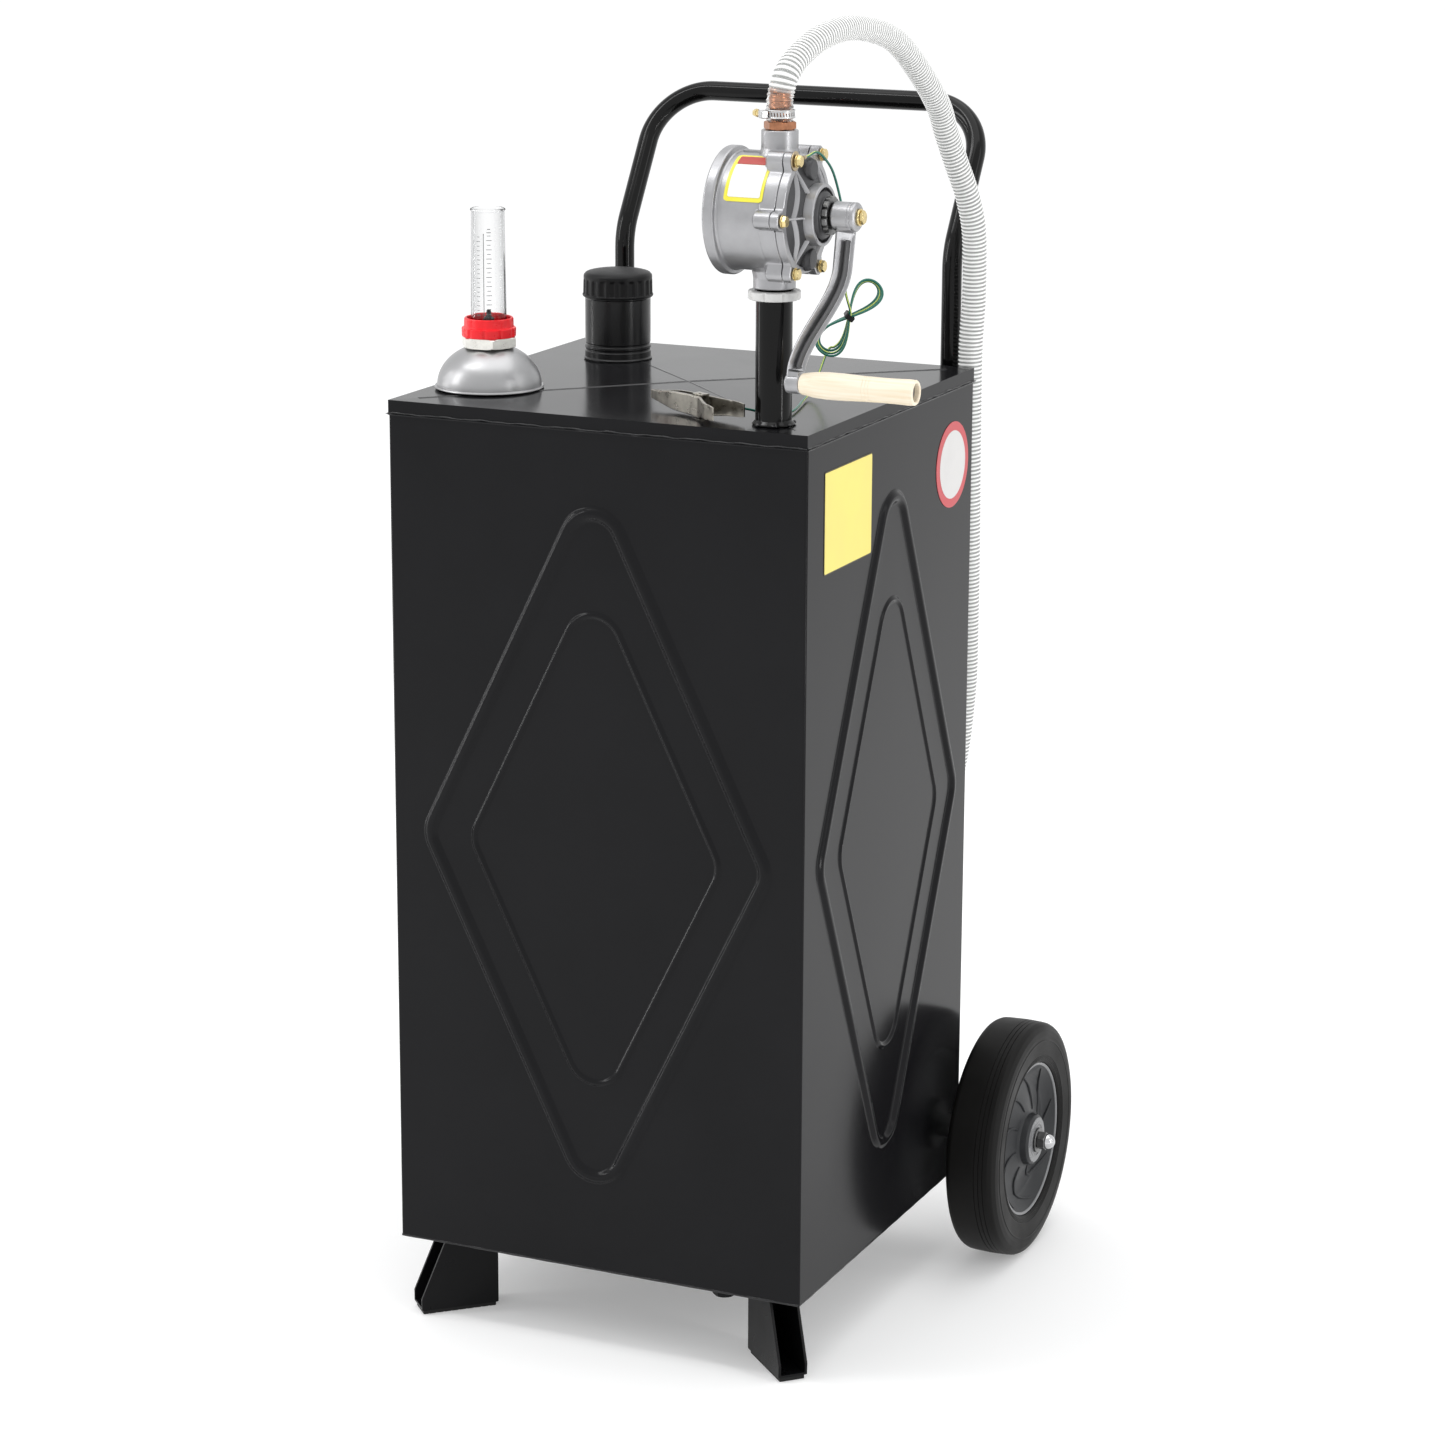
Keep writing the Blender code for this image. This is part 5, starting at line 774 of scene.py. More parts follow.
scene.view_settings.view_transform = "Standard"
make_world()
make_floor()
soft_light("overhead", (0.2, 0.2, 4.2), (0, 0, 0.4), (3.5, 3.5), 60)
soft_light("left_window", (-3.2, -2.2, 2.4), (0, 0, 0.7), (0.6, 2.4), 34)
soft_light("right_window", (3.6, 0.6, 2.2), (0, 0, 0.8), (0.6, 2.4), 8)
soft_light("fold_strip", (-1.25, -1.0, 3.4), (-1.25, -0.9, 0), (1.5, 0.35), 16)
soft_light("left_strip", (-2.6, -0.5, 1.1), (0, 0, 0.9), (0.10, 2.0), 7)
soft_light("right_strip", (2.4, -0.7, 1.1), (0, 0, 0.9), (0.10, 2.0), 12)

# Spout on the hose's end, made before the hose

SPOUT_PLACE = (-0.100, 0.230, 0.640)
spout_straight = 0.080
spout_bend = 0.045
spout_turn = math.radians(40)
spout_arc = spout_bend * spout_turn


def bent_up(distance):
    """The spout's middle line by the distance from the hose's end."""
    turn = clamped(distance - spout_straight, 0, spout_arc) / spout_bend
    beyond = max(distance - spout_straight - spout_arc, 0)
    x = spout_bend * (1 - math.cos(turn)) + beyond * math.sin(spout_turn)
    z = min(distance, spout_straight) + spout_bend * math.sin(turn) + beyond * math.cos(spout_turn)
    return spot(*SPOUT_PLACE) + Vector((-x, 0, z))


def make_spout():
    """A bent tube with a rolled mouth, a knurled collar at its foot and a barb in the hose."""
    total = spout_straight + spout_arc + 0.060
    points = [bent_up(0.004 + (total - 0.0042) * index / 70) for index in range(71)]
    pipe = swept(points, [0.0080] * 69 + [0.0079, 0.0072], 40)
    pipe = cut(pipe, swept([bent_up(total - 0.012), bent_up(total + 0.004)], 0.0060, 32))
    levels = [(0.0003, 0.0112, 0.0), (0.0010, 0.0119, 0.0), (0.0018, 0.0120, 0.0006)]
    levels += [(0.0084, 0.0120, 0.0006), (0.0092, 0.0119, 0.0), (0.0102, 0.0110, 0.0)]
    barb = [(0.0042, -0.0200), (0.0059, -0.0200, 0.0004), (0.0065, -0.0150, 0.0002)]
    barb += [(0.0059, -0.0130), (0.0059, -0.0080), (0.0065, -0.0040, 0.0002), (0.0059, -0.0020)]
    barb += [(0.0059, 0.0030), (0.0042, 0.0030)]
    here = upright(*SPOUT_PLACE)
    bm = joined(pipe, (waved_drum(levels, 36, 216), here), (tube(barb, 40), here))
    piece("spout_bent", bm, zinc, "hose_spout", smooth=40)


# The hose: a cord with spiral ribs from the pump's barb to the spout behind the tank

hose_radius = 0.0120
hose_pitch = 0.0039
HOSE_ROUTE = [
    (0.1630, -0.1640, 1.1557), (0.1630, -0.1640, 1.1657), (0.1630, -0.1640, 1.1757),
    (0.1665, -0.1590, 1.1950), (0.1700, -0.1370, 1.2105), (0.1750, -0.1010, 1.2232),
    (0.1800, -0.0510, 1.2278), (0.1846, 0.0080, 1.2194), (0.1873, 0.0490, 1.2048),
    (0.1895, 0.0940, 1.1765), (0.1914, 0.1340, 1.1447), (0.1916, 0.1560, 1.1170),
    (0.1944, 0.1750, 1.0875), (0.2000, 0.1910, 1.0560), (0.2035, 0.2010, 1.0250),
    (0.2030, 0.2070, 0.9940), (0.2012, 0.2120, 0.9515), (0.1985, 0.2140, 0.9100),
    (0.1980, 0.2150, 0.8700), (0.1980, 0.2165, 0.8000), (0.1975, 0.2200, 0.7300),
    (0.1960, 0.2250, 0.6500), (0.1930, 0.2290, 0.5600), (0.1800, 0.2310, 0.4700),
    (0.1500, 0.2320, 0.3950), (0.1000, 0.2330, 0.3420), (0.0450, 0.2330, 0.3280),
    (-0.0100, 0.2330, 0.3420), (-0.0600, 0.2330, 0.3900), (-0.0900, 0.2320, 0.4650),
    (-0.1000, 0.2310, 0.5500), (-0.1000, 0.2300, 0.6200), (-0.1000, 0.2300, 0.6400),
]


def make_hose():
    route = smooth_path([spot(*point) for point in HOSE_ROUTE], hose_pitch / 6)
    length = travelled(route)[-1]

    def ribbed(index):
        phase = 2 * math.pi * length * index / (len(route) - 1) / hose_pitch

        def radius(angle):
            wave = math.cos(phase - angle)
            return hose_radius - 0.00055 + 0.0005 * wave * (1 - 0.3 * wave)

        return radius

    bm = swept(route, [ribbed(index) for index in range(len(route))], 28)
    hose = piece("hose_ribbed", bm, hose_finish(hose_pitch), "hose", smooth=80)


make_spout()
make_hose()

# The ground wire: ring terminal, free stretch, wound hank, free stretch, clip

wire_radius = 0.0011
straight_end = 0.0063
HANK_MIDDLE = (0.1530, 0.0200, 0.9600)
HANK_FACING = turned(25, "Z") @ turned(90, "X")
HANK_LEAN = turned(-38, "Z")
WIRE_TOP_ROUTE = [
    (0.1925, -0.1762, 1.1270), (0.1925, -0.1700, 1.1273), (0.1955, -0.1580, 1.1295),
    (0.1990, -0.1460, 1.1215), (0.2020, -0.1350, 1.1075), (0.2035, -0.1200, 1.0775),
    (0.1980, -0.0980, 1.0475), (0.1870, -0.0660, 1.0230), (0.1710, -0.0300, 1.0020),
    (0.1610, -0.0080, 0.9860),
]
WIRE_FOOT_ROUTE = [
    (0.1300, 0.0020, 0.9060), (0.1340, -0.0280, 0.8945), (0.1414, -0.0589, 0.8930),
    (0.1490, -0.0883, 0.8925), (0.1530, -0.1120, 0.8925), (0.1490, -0.1340, 0.8935),
]


def hank_path(points_per_loop):
    """Loops in a figure of eight, each a little smaller and farther back."""
    turns = 3.17
    points = []
    for index in range(round(turns * points_per_loop) + 1):
        turn = index / points_per_loop
        angle = -math.pi / 2 - 2 * math.pi * turn
        across = (0.0135 - 0.0014 * turn) * math.sin(2 * angle)
        along = (0.041 - 0.0014 * turn) * math.cos(angle)
        flat = HANK_LEAN @ Vector((across, along, 0))
        layer = 0.0056 * (turns / 2 - turn)
        points.append(spot(*HANK_MIDDLE) + HANK_FACING @ Vector((flat.x, flat.y, layer)))
    return points


def make_tie():
    """A black tie round the waist of the spare wire."""
    x, z = 0.0036, 0.0112
    loop = softened([(-x, -z, 0.003), (x, -z, 0.003), (x, z, 0.003), (-x, z, 0.003)], True, 8)
    levels = [(-0.0024, -0.0004), (-0.0020, 0.0002), (0.0, 0.0005), (0.0020, 0.0002)]
    levels += [(0.0024, -0.0004), (0.0020, -0.0010), (-0.0020, -0.0010)]

    def ring(height, grow):
        return [(x + math.copysign(grow, x), z + math.copysign(grow, z), height) for x, z in loop]

    band = lofted([ring(*level) for level in levels], closed=True)
    place = upright(*HANK_MIDDLE) @ HANK_FACING @ HANK_LEAN @ SWAP_Y_Z
    return piece("wire_tie", band, cap_black, place=place, smooth=40)


def make_wire():
    loops = hank_path(72)
    first = (loops[1] - loops[0]).normalized()
    last = (loops[-1] - loops[-2]).normalized()
    clip = clip_frame @ Vector((-0.0368, 0.016125, 0))
    outward = (clip_frame.to_3x3() @ Vector((0, 1, 0))).normalized()
    upper = [spot(*point) for point in WIRE_TOP_ROUTE]
    upper += [loops[0] - first * straight_end, loops[0]]
    lower = [loops[-1], loops[-1] + last * straight_end]
    lower += [spot(*point) for point in WIRE_FOOT_ROUTE]
    lower += [clip + outward * straight_end, clip + outward * 0.0003]
    route = smooth_path(upper, 0.0012)[:-1] + loops + smooth_path(lower, 0.0012)[1:]
    nodes = ["ground_wire_upper", "ground_wire_hank", "ground_wire_lower"]
    wire = piece("ground_wire", swept(route, wire_radius, 14), green_wire, *nodes, smooth=80)
    tie = make_tie()
    travelled(route)[-1]


make_wire()

# Tank


def rounded_rhombus(half_width, half_height, corner, offset, arc=14):
    """A rhombus with round corners, grown by an offset, from its right corner's middle."""
    reach = half_width * half_height / math.hypot(half_width, half_height)
    core = (reach - corner) / reach
    tilt = math.atan2(half_width, half_height)
    points = []
    for quarter, (side, end) in enumerate(((1, 0), (0, 1), (-1, 0), (0, -1))):
        half = math.pi / 2 - tilt if end else tilt
        for index in range(arc + 1):
            angle = quarter * math.pi / 2 - half + 2 * half * index / arc
            x = side * half_width * core + (corner + offset) * math.cos(angle)
            y = end * half_height * core + (corner + offset) * math.sin(angle)
            points.append((x, y))
    return points[arc // 2 :] + points[: arc // 2]


def bead_levels(half, height, steps, flat=0.0):
    """A bead's section: (offset, height) from its outer foot to its inner foot."""
    levels = []
    for index in range(steps + 1):
        offset = half - 2 * half * index / steps
        share = max(0.0, (abs(offset) - flat) / (half - flat))
        levels.append((offset, height * (0.5 + 0.5 * math.cos(math.pi * share))))
    return levels


def add_wall(bm, w, base, top, place):
    """A wall of half width w with two diamond beads. place gives a point from its distance
    across, its height and how far it stands out."""
    middle = 0.4875
    outer = (w - 0.035, 0.350)
    inset = 1 - 0.041 * math.hypot(*outer) / (outer[0] * outer[1])
    inner = (outer[0] * inset, outer[1] * inset)
    levels = [(outer, *level) for level in bead_levels(0.0080, 0.0038, 16, 0.0012)]
    levels += [(inner, *level) for level in bead_levels(0.0042, 0.0020, 12)]
    loops = []
    for diamond, offset, height in levels:
        outline = rounded_rhombus(*diamond, 0.028, offset)
        loops.append([bm.verts.new(place(u, middle + v, height)) for u, v in outline])
    quarter = len(loops[0]) // 4
    rim = [(w, middle), (w, top), (0, top), (-w, top)]
    rim += [(-w, middle), (-w, base), (0, base), (w, base)]
    edge = [bm.verts.new(place(u, v, 0)) for u, v in rim]
    for index in range(4):
        around = [edge[2 * index], edge[2 * index + 1], edge[(2 * index + 2) % 8]]
        stretch = (loops[0] + loops[0][:1])[index * quarter : (index + 1) * quarter + 1]
        bm.faces.new(around + stretch[::-1])
    skin(bm, loops)
    bm.faces.new(loops[-1])


def folds_of(bm):
    """The edges at which the sheet is folded."""
    return [edge for edge in bm.edges if len(edge.link_faces) == 2 and edge.calc_face_angle() > 1.2]


def make_tank_shell():
    bm = bmesh.new()
    w = tank_width / 2
    d = tank_depth / 2
    base = ground_clearance
    top = tank_top - lid_flange - 0.0003
    add_wall(bm, w, base, top, lambda u, v, out: spot(u, -d - out, v))
    add_wall(bm, w, base, top, lambda u, v, out: spot(-u, d + out, v))
    add_wall(bm, d, base, top, lambda u, v, out: spot(w + out, u, v))
    add_wall(bm, d, base, top, lambda u, v, out: spot(-w - out, -u, v))
    edge = [(-w, -d), (-w, 0), (-w, d), (0, d), (w, d), (w, 0), (w, -d), (0, -d)]
    for height in (base, top):
        bm.faces.new([bm.verts.new(spot(x, y, height)) for x, y in edge])
    bmesh.ops.remove_doubles(bm, verts=bm.verts, dist=1e-5)
    bevelled(bm, folds_of(bm), 0.0022, 4)
    piece("tank_walls", bm, gloss_black, "tank_shell", smooth=60)


def tank_corners(inset=0.0):
    w = tank_width / 2 - inset
    d = tank_depth / 2 - inset
    return [Vector(corner) for corner in ((-w, -d), (w, -d), (w, d), (-w, d))]


def make_lid():
    """The folded lid with its four slopes."""
    corners = tank_corners()
    bm = bmesh.new()
    upper = [bm.verts.new(spot(*corner, tank_top)) for corner in corners]
    lower = [bm.verts.new(spot(*corner, tank_top - lid_flange)) for corner in corners]
    middle = bm.verts.new(spot(0, 0, tank_top + lid_rise))
    skin(bm, [lower, upper])
    for first, second in neighbours(upper, closed=True):
        bm.faces.new((first, second, middle))
    bm.faces.new(lower)
    bevelled(bm, folds_of(bm), 0.0026, 5)
    mesh = piece("tank_lid_folded", bm, gloss_black, "tank_lid", smooth=60).data
    for edge in mesh.edges:
        first, second = [mesh.vertices[index].co for index in edge.vertices]
        run = first - second
        if min(first.z, second.z) > tank_top - 0.0001 and abs(run.x * run.y) > 0.01:
            edge.use_edge_sharp = True


# Across a crease: (distance from its middle, height over the lid)
CREASE_SECTION = ((-0.0011, -0.0003), (-0.0005, 0.0003), (0.0005, 0.0003), (0.0011, -0.0003))


def lid_crease(start, end, offset):
    """A fine raised line over the lid, beside the line between two of its corners."""
    run = (end - start).normalized()
    across = Vector((-run.y, run.x))
    rings = []
    for step in range(41):
        middle_line = start.lerp(end, 0.05 + 0.90 * step / 40) + across * offset
        ring = []
        for reach, rise in CREASE_SECTION:
            point = middle_line + across * reach
            slope = 1 - max(abs(point.x) / (tank_width / 2), abs(point.y) / (tank_depth / 2))
            ring.append(spot(*point, tank_top + lid_rise * slope + rise))
        rings.append(ring)
    return lofted(rings)


def make_creases():
    corners = tank_corners()
    lines = ((0, 2, -0.0016), (0, 2, 0.0016), (1, 3, 0.0))
    creases = [lid_crease(corners[start], corners[end], offset) for start, end, offset in lines]
    piece("lid_creases", joined(*creases), crease_highlight_black, smooth=60)


def seam(name, corners, steps, sides, point_at, radius_at):
    """A weld bead round the tank, whose points and radii are given by share and side."""
    beads = []
    for index, (start, end) in enumerate(neighbours(corners, closed=True)):
        shares = [step / steps for step in range(steps + 1)]
        points = [point_at(start.lerp(end, share), share, index) for share in shares]
        beads.append(swept(points, [radius_at(share, index) for share in shares], sides))
    piece(name, joined(*beads), weld_black, smooth=80)


def make_seams():
    """The welded seams under the lid's flange and round the tank's floor."""

    def lid_point(flat, share, index):
        wobble = 0.00035 * math.sin(share * 61 + index) + 0.0002 * math.sin(share * 143 + 2 * index)
        inward = flat - flat.normalized() * 0.0004
        return spot(*inward, tank_top - lid_flange - 0.0002 + wobble)

    def lid_radius(share, index):
        return 0.0011 + 0.00022 * math.sin(share * 97 + 3 * index)

    def floor_point(flat, *_):
        return spot(*flat, ground_clearance + 0.0010)

    def floor_radius(share, index):
        return 0.0012 + 0.0001 * math.sin(share * 71 + 3 * index)

    seam("lid_seam", tank_corners(), 150, 10, lid_point, lid_radius)
    seam("floor_seam", tank_corners(0.0008), 120, 8, floor_point, floor_radius)


make_tank_shell()
make_lid()
make_creases()
make_seams()

# Filler neck and cap

NECK_PLACE = (-0.121, 0.099)


def make_neck():
    profile = [
        (0.0295, 0.0745, 0.0004), (0.0315, 0.0745, 0.0008), (0.0315, 0.0620, 0.0003),
        (0.0321, 0.0612, 0.0004), (0.0321, 0.0588, 0.0004), (0.0315, 0.0580, 0.0003),
        (0.0315, 0.0158, 0.0003), (0.0309, 0.0150, 0.0003), (0.0309, 0.0136, 0.0003),
        (0.0318, 0.0128, 0.0004), (0.0318, 0.0106, 0.0004), (0.0310, 0.0098, 0.0003),
        (0.0310, 0.0084, 0.0003), (0.0317, 0.0074, 0.0004), (0.0317, 0.0020, 0.0006),
        (0.0338, 0.0002, 0.0008), (0.0300, 0.0002), (0.0300, -0.0120), (0.0295, -0.0120),
    ]
    place = upright(*NECK_PLACE, low_of("filler_neck") + 0.012)
    piece("filler_neck_turned", tube(profile, 96), neck_black, "filler_neck", place=place)


def make_cap():
    """The screw cap: wide shallow ribs, a lip at its foot and a low crown."""
    low = low_of("filler_cap")
    top = high_of("filler_cap") - low
    rim = top - 0.0068
    crown_low = rim + 0.0022
    levels = [
        (0.0, 0.0324, 0.0), (0.0003, 0.0335, 0.0), (0.0012, 0.0340, 0.0), (0.0022, 0.0340, 0.0),
        (0.0028, 0.0336, 0.0003), (0.0034, 0.0335, 0.0012), (rim - 0.0050, 0.0333, 0.0013),
        (rim - 0.0036, 0.0332, 0.0011), (rim - 0.0026, 0.0330, 0.0004), (rim - 0.0018, 0.0330, 0.0),
        (rim + 0.0006, 0.0329, 0.0), (rim + 0.0016, 0.0324, 0.0), (crown_low, 0.0316, 0.0),
    ]
    for index in range(1, 9):
        share = math.pi / 2 * index / 8
        height = crown_low + (top - crown_low) * math.sin(share)
        levels.append((height, 0.0316 * math.cos(share) + 0.0001, 0.0))
    bm = waved_drum(levels, 22, 308, 0.55)
    place = upright(*NECK_PLACE, low)
    piece("filler_cap_ribbed", bm, cap_black, "filler_cap", place=place, body="cap")
    bm = tube([(0.0315, 0, 0.0008), (0.0315, 0.003, 0.0008), (0.0275, 0.003), (0.0275, 0)])
    place = upright(*NECK_PLACE, low_of("cap_gasket"))
    piece("cap_gasket_ring", bm, soft_black, "cap_gasket", place=place, body="lifting_gasket")


make_neck()
make_cap()

# Level gauge

collar_low = low_of("gauge_collar")


def at_gauge(height):
    return upright(-0.1535, -0.105, height)


def make_dome():
    outer = 0.0482
    rise = 0.0376
    foot = 0.0026
    start = math.asin(0.0200 / outer)
    profile = [(0.0135, rise)]
    for index in range(25):
        angle = start + (math.pi / 2 - start) * index / 24
        height = foot + (rise - foot) * math.cos(angle) / math.cos(start)
        profile.append((outer * math.sin(angle), height))
    profile += [(0.0500, foot, 0.0006), (0.0506, 0.0010, 0.0006), (0.0496, 0.0002, 0.0003)]
    profile += [(0.0475, 0.0002), (0.0465, 0.0100), (0.0380, 0.0260), (0.0135, 0.0350)]
    place = at_gauge(low_of("gauge_dome"))
    piece("gauge_dome_spun", tube(profile, 128), dome_silver, "gauge_dome", place=place, smooth=50)
    bm = joined(
        nut_body(0.0268, 0.0381, 0.0474, 0.0011, start=math.radians(5)),
        tube([(0.0080, 0.0382), (0.0125, 0.0382), (0.0125, 0.0270), (0.0080, 0.0270)], 48),
    )
    piece("gauge_hexagon", bm, pale_nut, "gauge_fitting", place=place, smooth=30)


def make_collar():
    """The red collar: a scalloped lower ring, a step and a plainer ring with flats above."""
    levels = [
        (0.0029, 0.0243, 0.0010, 0.0), (0.0035, 0.0249, 0.0012, 0.0), (0.0104, 0.0251, 0.0012, 0.0),
        (0.0112, 0.0247, 0.0008, 0.0), (0.0116, 0.0239, 0.0, 0.0004), (0.0118, 0.0232, 0.0, 0.0005),
        (0.0130, 0.0229, 0.0, 0.0006), (0.0190, 0.0227, 0.0, 0.0006), (0.0200, 0.0224, 0.0, 0.0004),
        (0.0205, 0.0217, 0.0, 0.0), (0.0203, 0.0206, 0.0, 0.0), (0.0190, 0.0200, 0.0, 0.0),
        (0.0050, 0.0194, 0.0, 0.0), (0.0030, 0.0192, 0.0, 0.0),
    ]

    def reach_at(angle, radius, scallop, flat):
        notch = max(0.0, math.cos(10 * angle)) ** 6
        return radius - scallop * notch - flat * (1 - abs(math.cos(6 * angle)))

    bm = round_body(levels, reach_at, 240, closed=True)
    place = at_gauge(collar_low)
    piece("gauge_collar_moulded", bm, red_plastic, "gauge_collar", place=place, smooth=35)


clear_height = 0.1205


def make_clear_tube():
    """The clear tube, closed at its top by a rolled lip."""
    high = clear_height
    profile = [
        (0.0190, 0.0003), (0.0190, 0.0022, 0.0005), (0.0166, 0.0026, 0.0005),
        (0.0154, high - 0.0030, 0.002), (0.0163, high - 0.0014, 0.0006), (0.0160, high, 0.0007),
        (0.0148, high, 0.0006), (0.0141, high - 0.0022, 0.0006), (0.0140, high - 0.0040, 0.0005),
        (0.0150, 0.0003),
    ]
    ride = {"place": at_gauge(collar_low), "smooth": 40, "weighted": False}
    piece("gauge_tube_clear", tube(profile, 96), clear_plastic, "gauge_tube", **ride)


def make_scale():
    """Faint tick marks on the clear tube, in two columns beside a line."""
    marks = bmesh.new()

    def mark(angle, low, width, height):
        reach = 0.0166 - (0.0012 * (low - 0.0026) / (clear_height - 0.0056)) + 0.00012
        corners = []
        for side, up in ((-1, 0), (1, 0), (1, 1), (-1, 1)):
            turn = angle + side * width / 2 / reach
            corners.append(marks.verts.new(polar(reach, turn, low + up * height)))
        marks.faces.new(corners)

    line = math.radians(-61) - 0.28
    left = line - 0.34
    right = line + 0.30
    mark(line, 0.023, 0.0007, 0.076)
    for index in range(18):
        height = 0.024 + index * 0.0042
        width = 0.0052 if index % 2 == 0 else 0.0034
        mark(left, height, width * 0.7, 0.00055)
        mark(right, height + 0.0012, width, 0.00055)
    mark(right, 0.0995, 0.0042, 0.0007)
    mark(right, 0.1025, 0.0030, 0.0007)
    piece("gauge_scale", marks, scale_grey, place=at_gauge(collar_low), smooth=80, weighted=False)


def make_indicator():
    low = low_of("gauge_indicator")
    high = max(high_of("gauge_indicator"), collar_low + 0.0272) - low
    profile = [
        (0, high), (0.0018, high - 0.0004, 0.0008), (0.0024, high - 0.0030, 0.0010),
        (0.0020, high - 0.0048, 0.0006), (0.0026, high - 0.0062, 0.0006),
        (0.0050, high - 0.0082, 0.0006), (0.0058, high - 0.0120, 0.0003), (0.0016, high - 0.0120),
        (0.0016, 0.0, 0.0004), (0, 0.0),
    ]
    bm = lathe(profile, 40)
    piece("indicator_rod", bm, cap_black, "gauge_indicator", place=at_gauge(low), body="indicator")


make_dome()
make_collar()
make_clear_tube()
make_scale()
make_indicator()

# Stand pipe and lock nut


def at_pump(height):
    return upright(pump_x, pump_y, height)


def make_pipe():
    low = low_of("stand_pipe") + 0.012
    high = high_of("stand_pipe") - low
    profile = [(0.0130, high), (0.0157, high, 0.0003)]
    for index in range(7):
        thread = high - 0.0012 - index * 0.0018
        profile += [(0.0157, thread), (0.0150, thread - 0.0009)]
    profile += [(0.0157, 0.1170), (0.0162, 0.1162, 0.0003), (0.0162, 0.0045, 0.001)]
    profile += [(0.0185, 0.0018, 0.001), (0.0196, 0.0003, 0.0006), (0.0145, 0.0003)]
    profile += [(0.0145, -0.0120), (0.0130, -0.0120)]
    place = at_pump(low)
    piece("stand_pipe_turned", tube(profile), tube_black, "stand_pipe", place=place)
    blobs = []
    for angle, size in ((-112, 0.0022), (-64, 0.0026), (-20, 0.0020), (40, 0.0024), (150, 0.0022)):
        blob = bmesh.new()
        bmesh.ops.create_uvsphere(blob, u_segments=20, v_segments=12, radius=size)
        for vert in blob.verts:
            vert.co.z *= 0.7 + 0.1 * math.sin(vert.co.x * 2600)
        blobs.append((blob, turned(angle, "Z") @ moved(0.0186, 0, 0.0013)))
    slot = "black_satin_paint"
    piece("pipe_weld_spots", joined(*blobs), weld_black, place=place, slot=slot, smooth=80)


def notched(levels, count, sharpness, points):
    """A nut with notches round it. A level is (height, radius, depth of the notches)."""

    def reach_at(angle, radius, depth):
        return radius - depth * max(0.0, math.cos(count * angle)) ** sharpness

    return round_body(levels, reach_at, points)


def make_lock_nut():
    levels = [(0.0000, 0.0222, 0.0010), (0.0008, 0.0232, 0.0016)]
    levels += [(0.0072, 0.0232, 0.0016), (0.0080, 0.0222, 0.0010)]
    bore = lathe([(0, -0.01), (0.0167, -0.01), (0.0167, 0.02), (0, 0.02)], 64)
    bm = cut(notched(levels, 8, 8, 192), bore)
    place = at_pump(low_of("pipe_lock_nut"))
    piece("lock_nut_notched", bm, white_ring, "pipe_lock_nut", place=place, smooth=35)


make_pipe()
make_lock_nut()

# Pump


def lobed(radius, lug_radius, blend):
    """The pump's round outline with its six lugs, which run into it by soft fillets."""
    centres = [polar(lug_reach, math.pi / 2 + angle) for angle in angles(6)]

    def outside(reach, angle):
        x, y = polar(reach, angle)
        round_out = reach - radius
        lug_out = min(math.hypot(x - a, y - b) for a, b in centres) - lug_radius
        share = clamped(0.5 + 0.5 * (lug_out - round_out) / blend)
        return lug_out + (round_out - lug_out) * share - blend * share * (1 - share)

    out = []
    for angle in angles(288):
        low = radius - 0.004
        high = lug_reach + lug_radius + 0.004
        for _ in range(26):
            reach = (low + high) / 2
            if outside(reach, angle) < 0:
                low = reach
            else:
                high = reach
        out.append(polar(low, angle))
    return out


def stacked(*outlines):
    """Skins outlines that are given with their heights."""
    return lofted([[(x, y, height) for x, y in outline] for height, outline in outlines])


def make_pump_body():
    wide = lobed(0.0515, 0.0078, 0.0050)
    trimmed = lobed(0.0509, 0.0072, 0.0050)
    small = lobed(0.0512, 0.0050, 0.0050)
    body = stacked(
        (-0.034, circle(0.0510, 288)), (0.0035, circle(0.0513, 288)), (0.0052, small),
        (0.0070, trimmed), (0.0078, wide), (0.0214, wide), (0.0220, trimmed),
    )
    back = [
        (0, -0.0335), (0.0512, -0.0320), (0.0518, -0.0338, 0.0015), (0.0552, -0.0348, 0.0012),
        (0.0560, -0.0362, 0.0010), (0.0560, -0.0436, 0.0016), (0.0546, -0.0450, 0.0012),
        (0.0440, -0.0450, 0.0010), (0.0425, -0.0438, 0.0010), (0.0420, -0.0425, 0.0010),
        (0, -0.0425),
    ]
    upper = [(0.0092, 0.0716), (0.0155, 0.0716, 0.0006), (0.0162, 0.0709, 0.0004)]
    upper += [(0.0162, 0.0560, 0.003), (0.0178, 0.0500, 0.004), (0.0230, 0.0440), (0.0092, 0.0440)]
    lower = [(0.0163, -0.0660), (0.0178, -0.0660, 0.0006), (0.0186, -0.0652, 0.0006)]
    lower += [(0.0186, -0.0565, 0.003), (0.0200, -0.0500, 0.004)]
    lower += [(0.0250, -0.0440), (0.0163, -0.0440)]
    level = pump_frame.inverted()
    foot = box((0.020, -0.0022, -0.030), (0.053, 0.0022, 0.006), 0.0012)
    bm = joined(
        body,
        lathe(back, 144),
        (tube(upper), level @ upright(port_x, pump_y, pump_z)),
        (tube(lower), level @ upright(pump_x, pump_y, pump_z)),
        (foot, turned(180, "Z")),
    )
    piece("pump_body_cast", bm, cast_silver, "pump_body", place=pump_frame, smooth=40)


def web_height(radius):
    """The cover's web, a shallow cone between its flange and its hub."""
    return 0.0283 + 0.0087 * clamped((0.0450 - radius) / (0.0450 - 0.0265))


def rib_height(radius):
    """The tops of the ribs, low at the flange and higher at the hub."""
    return 0.0301 + 0.0105 * clamped((0.0460 - radius) / (0.0460 - 0.0262))


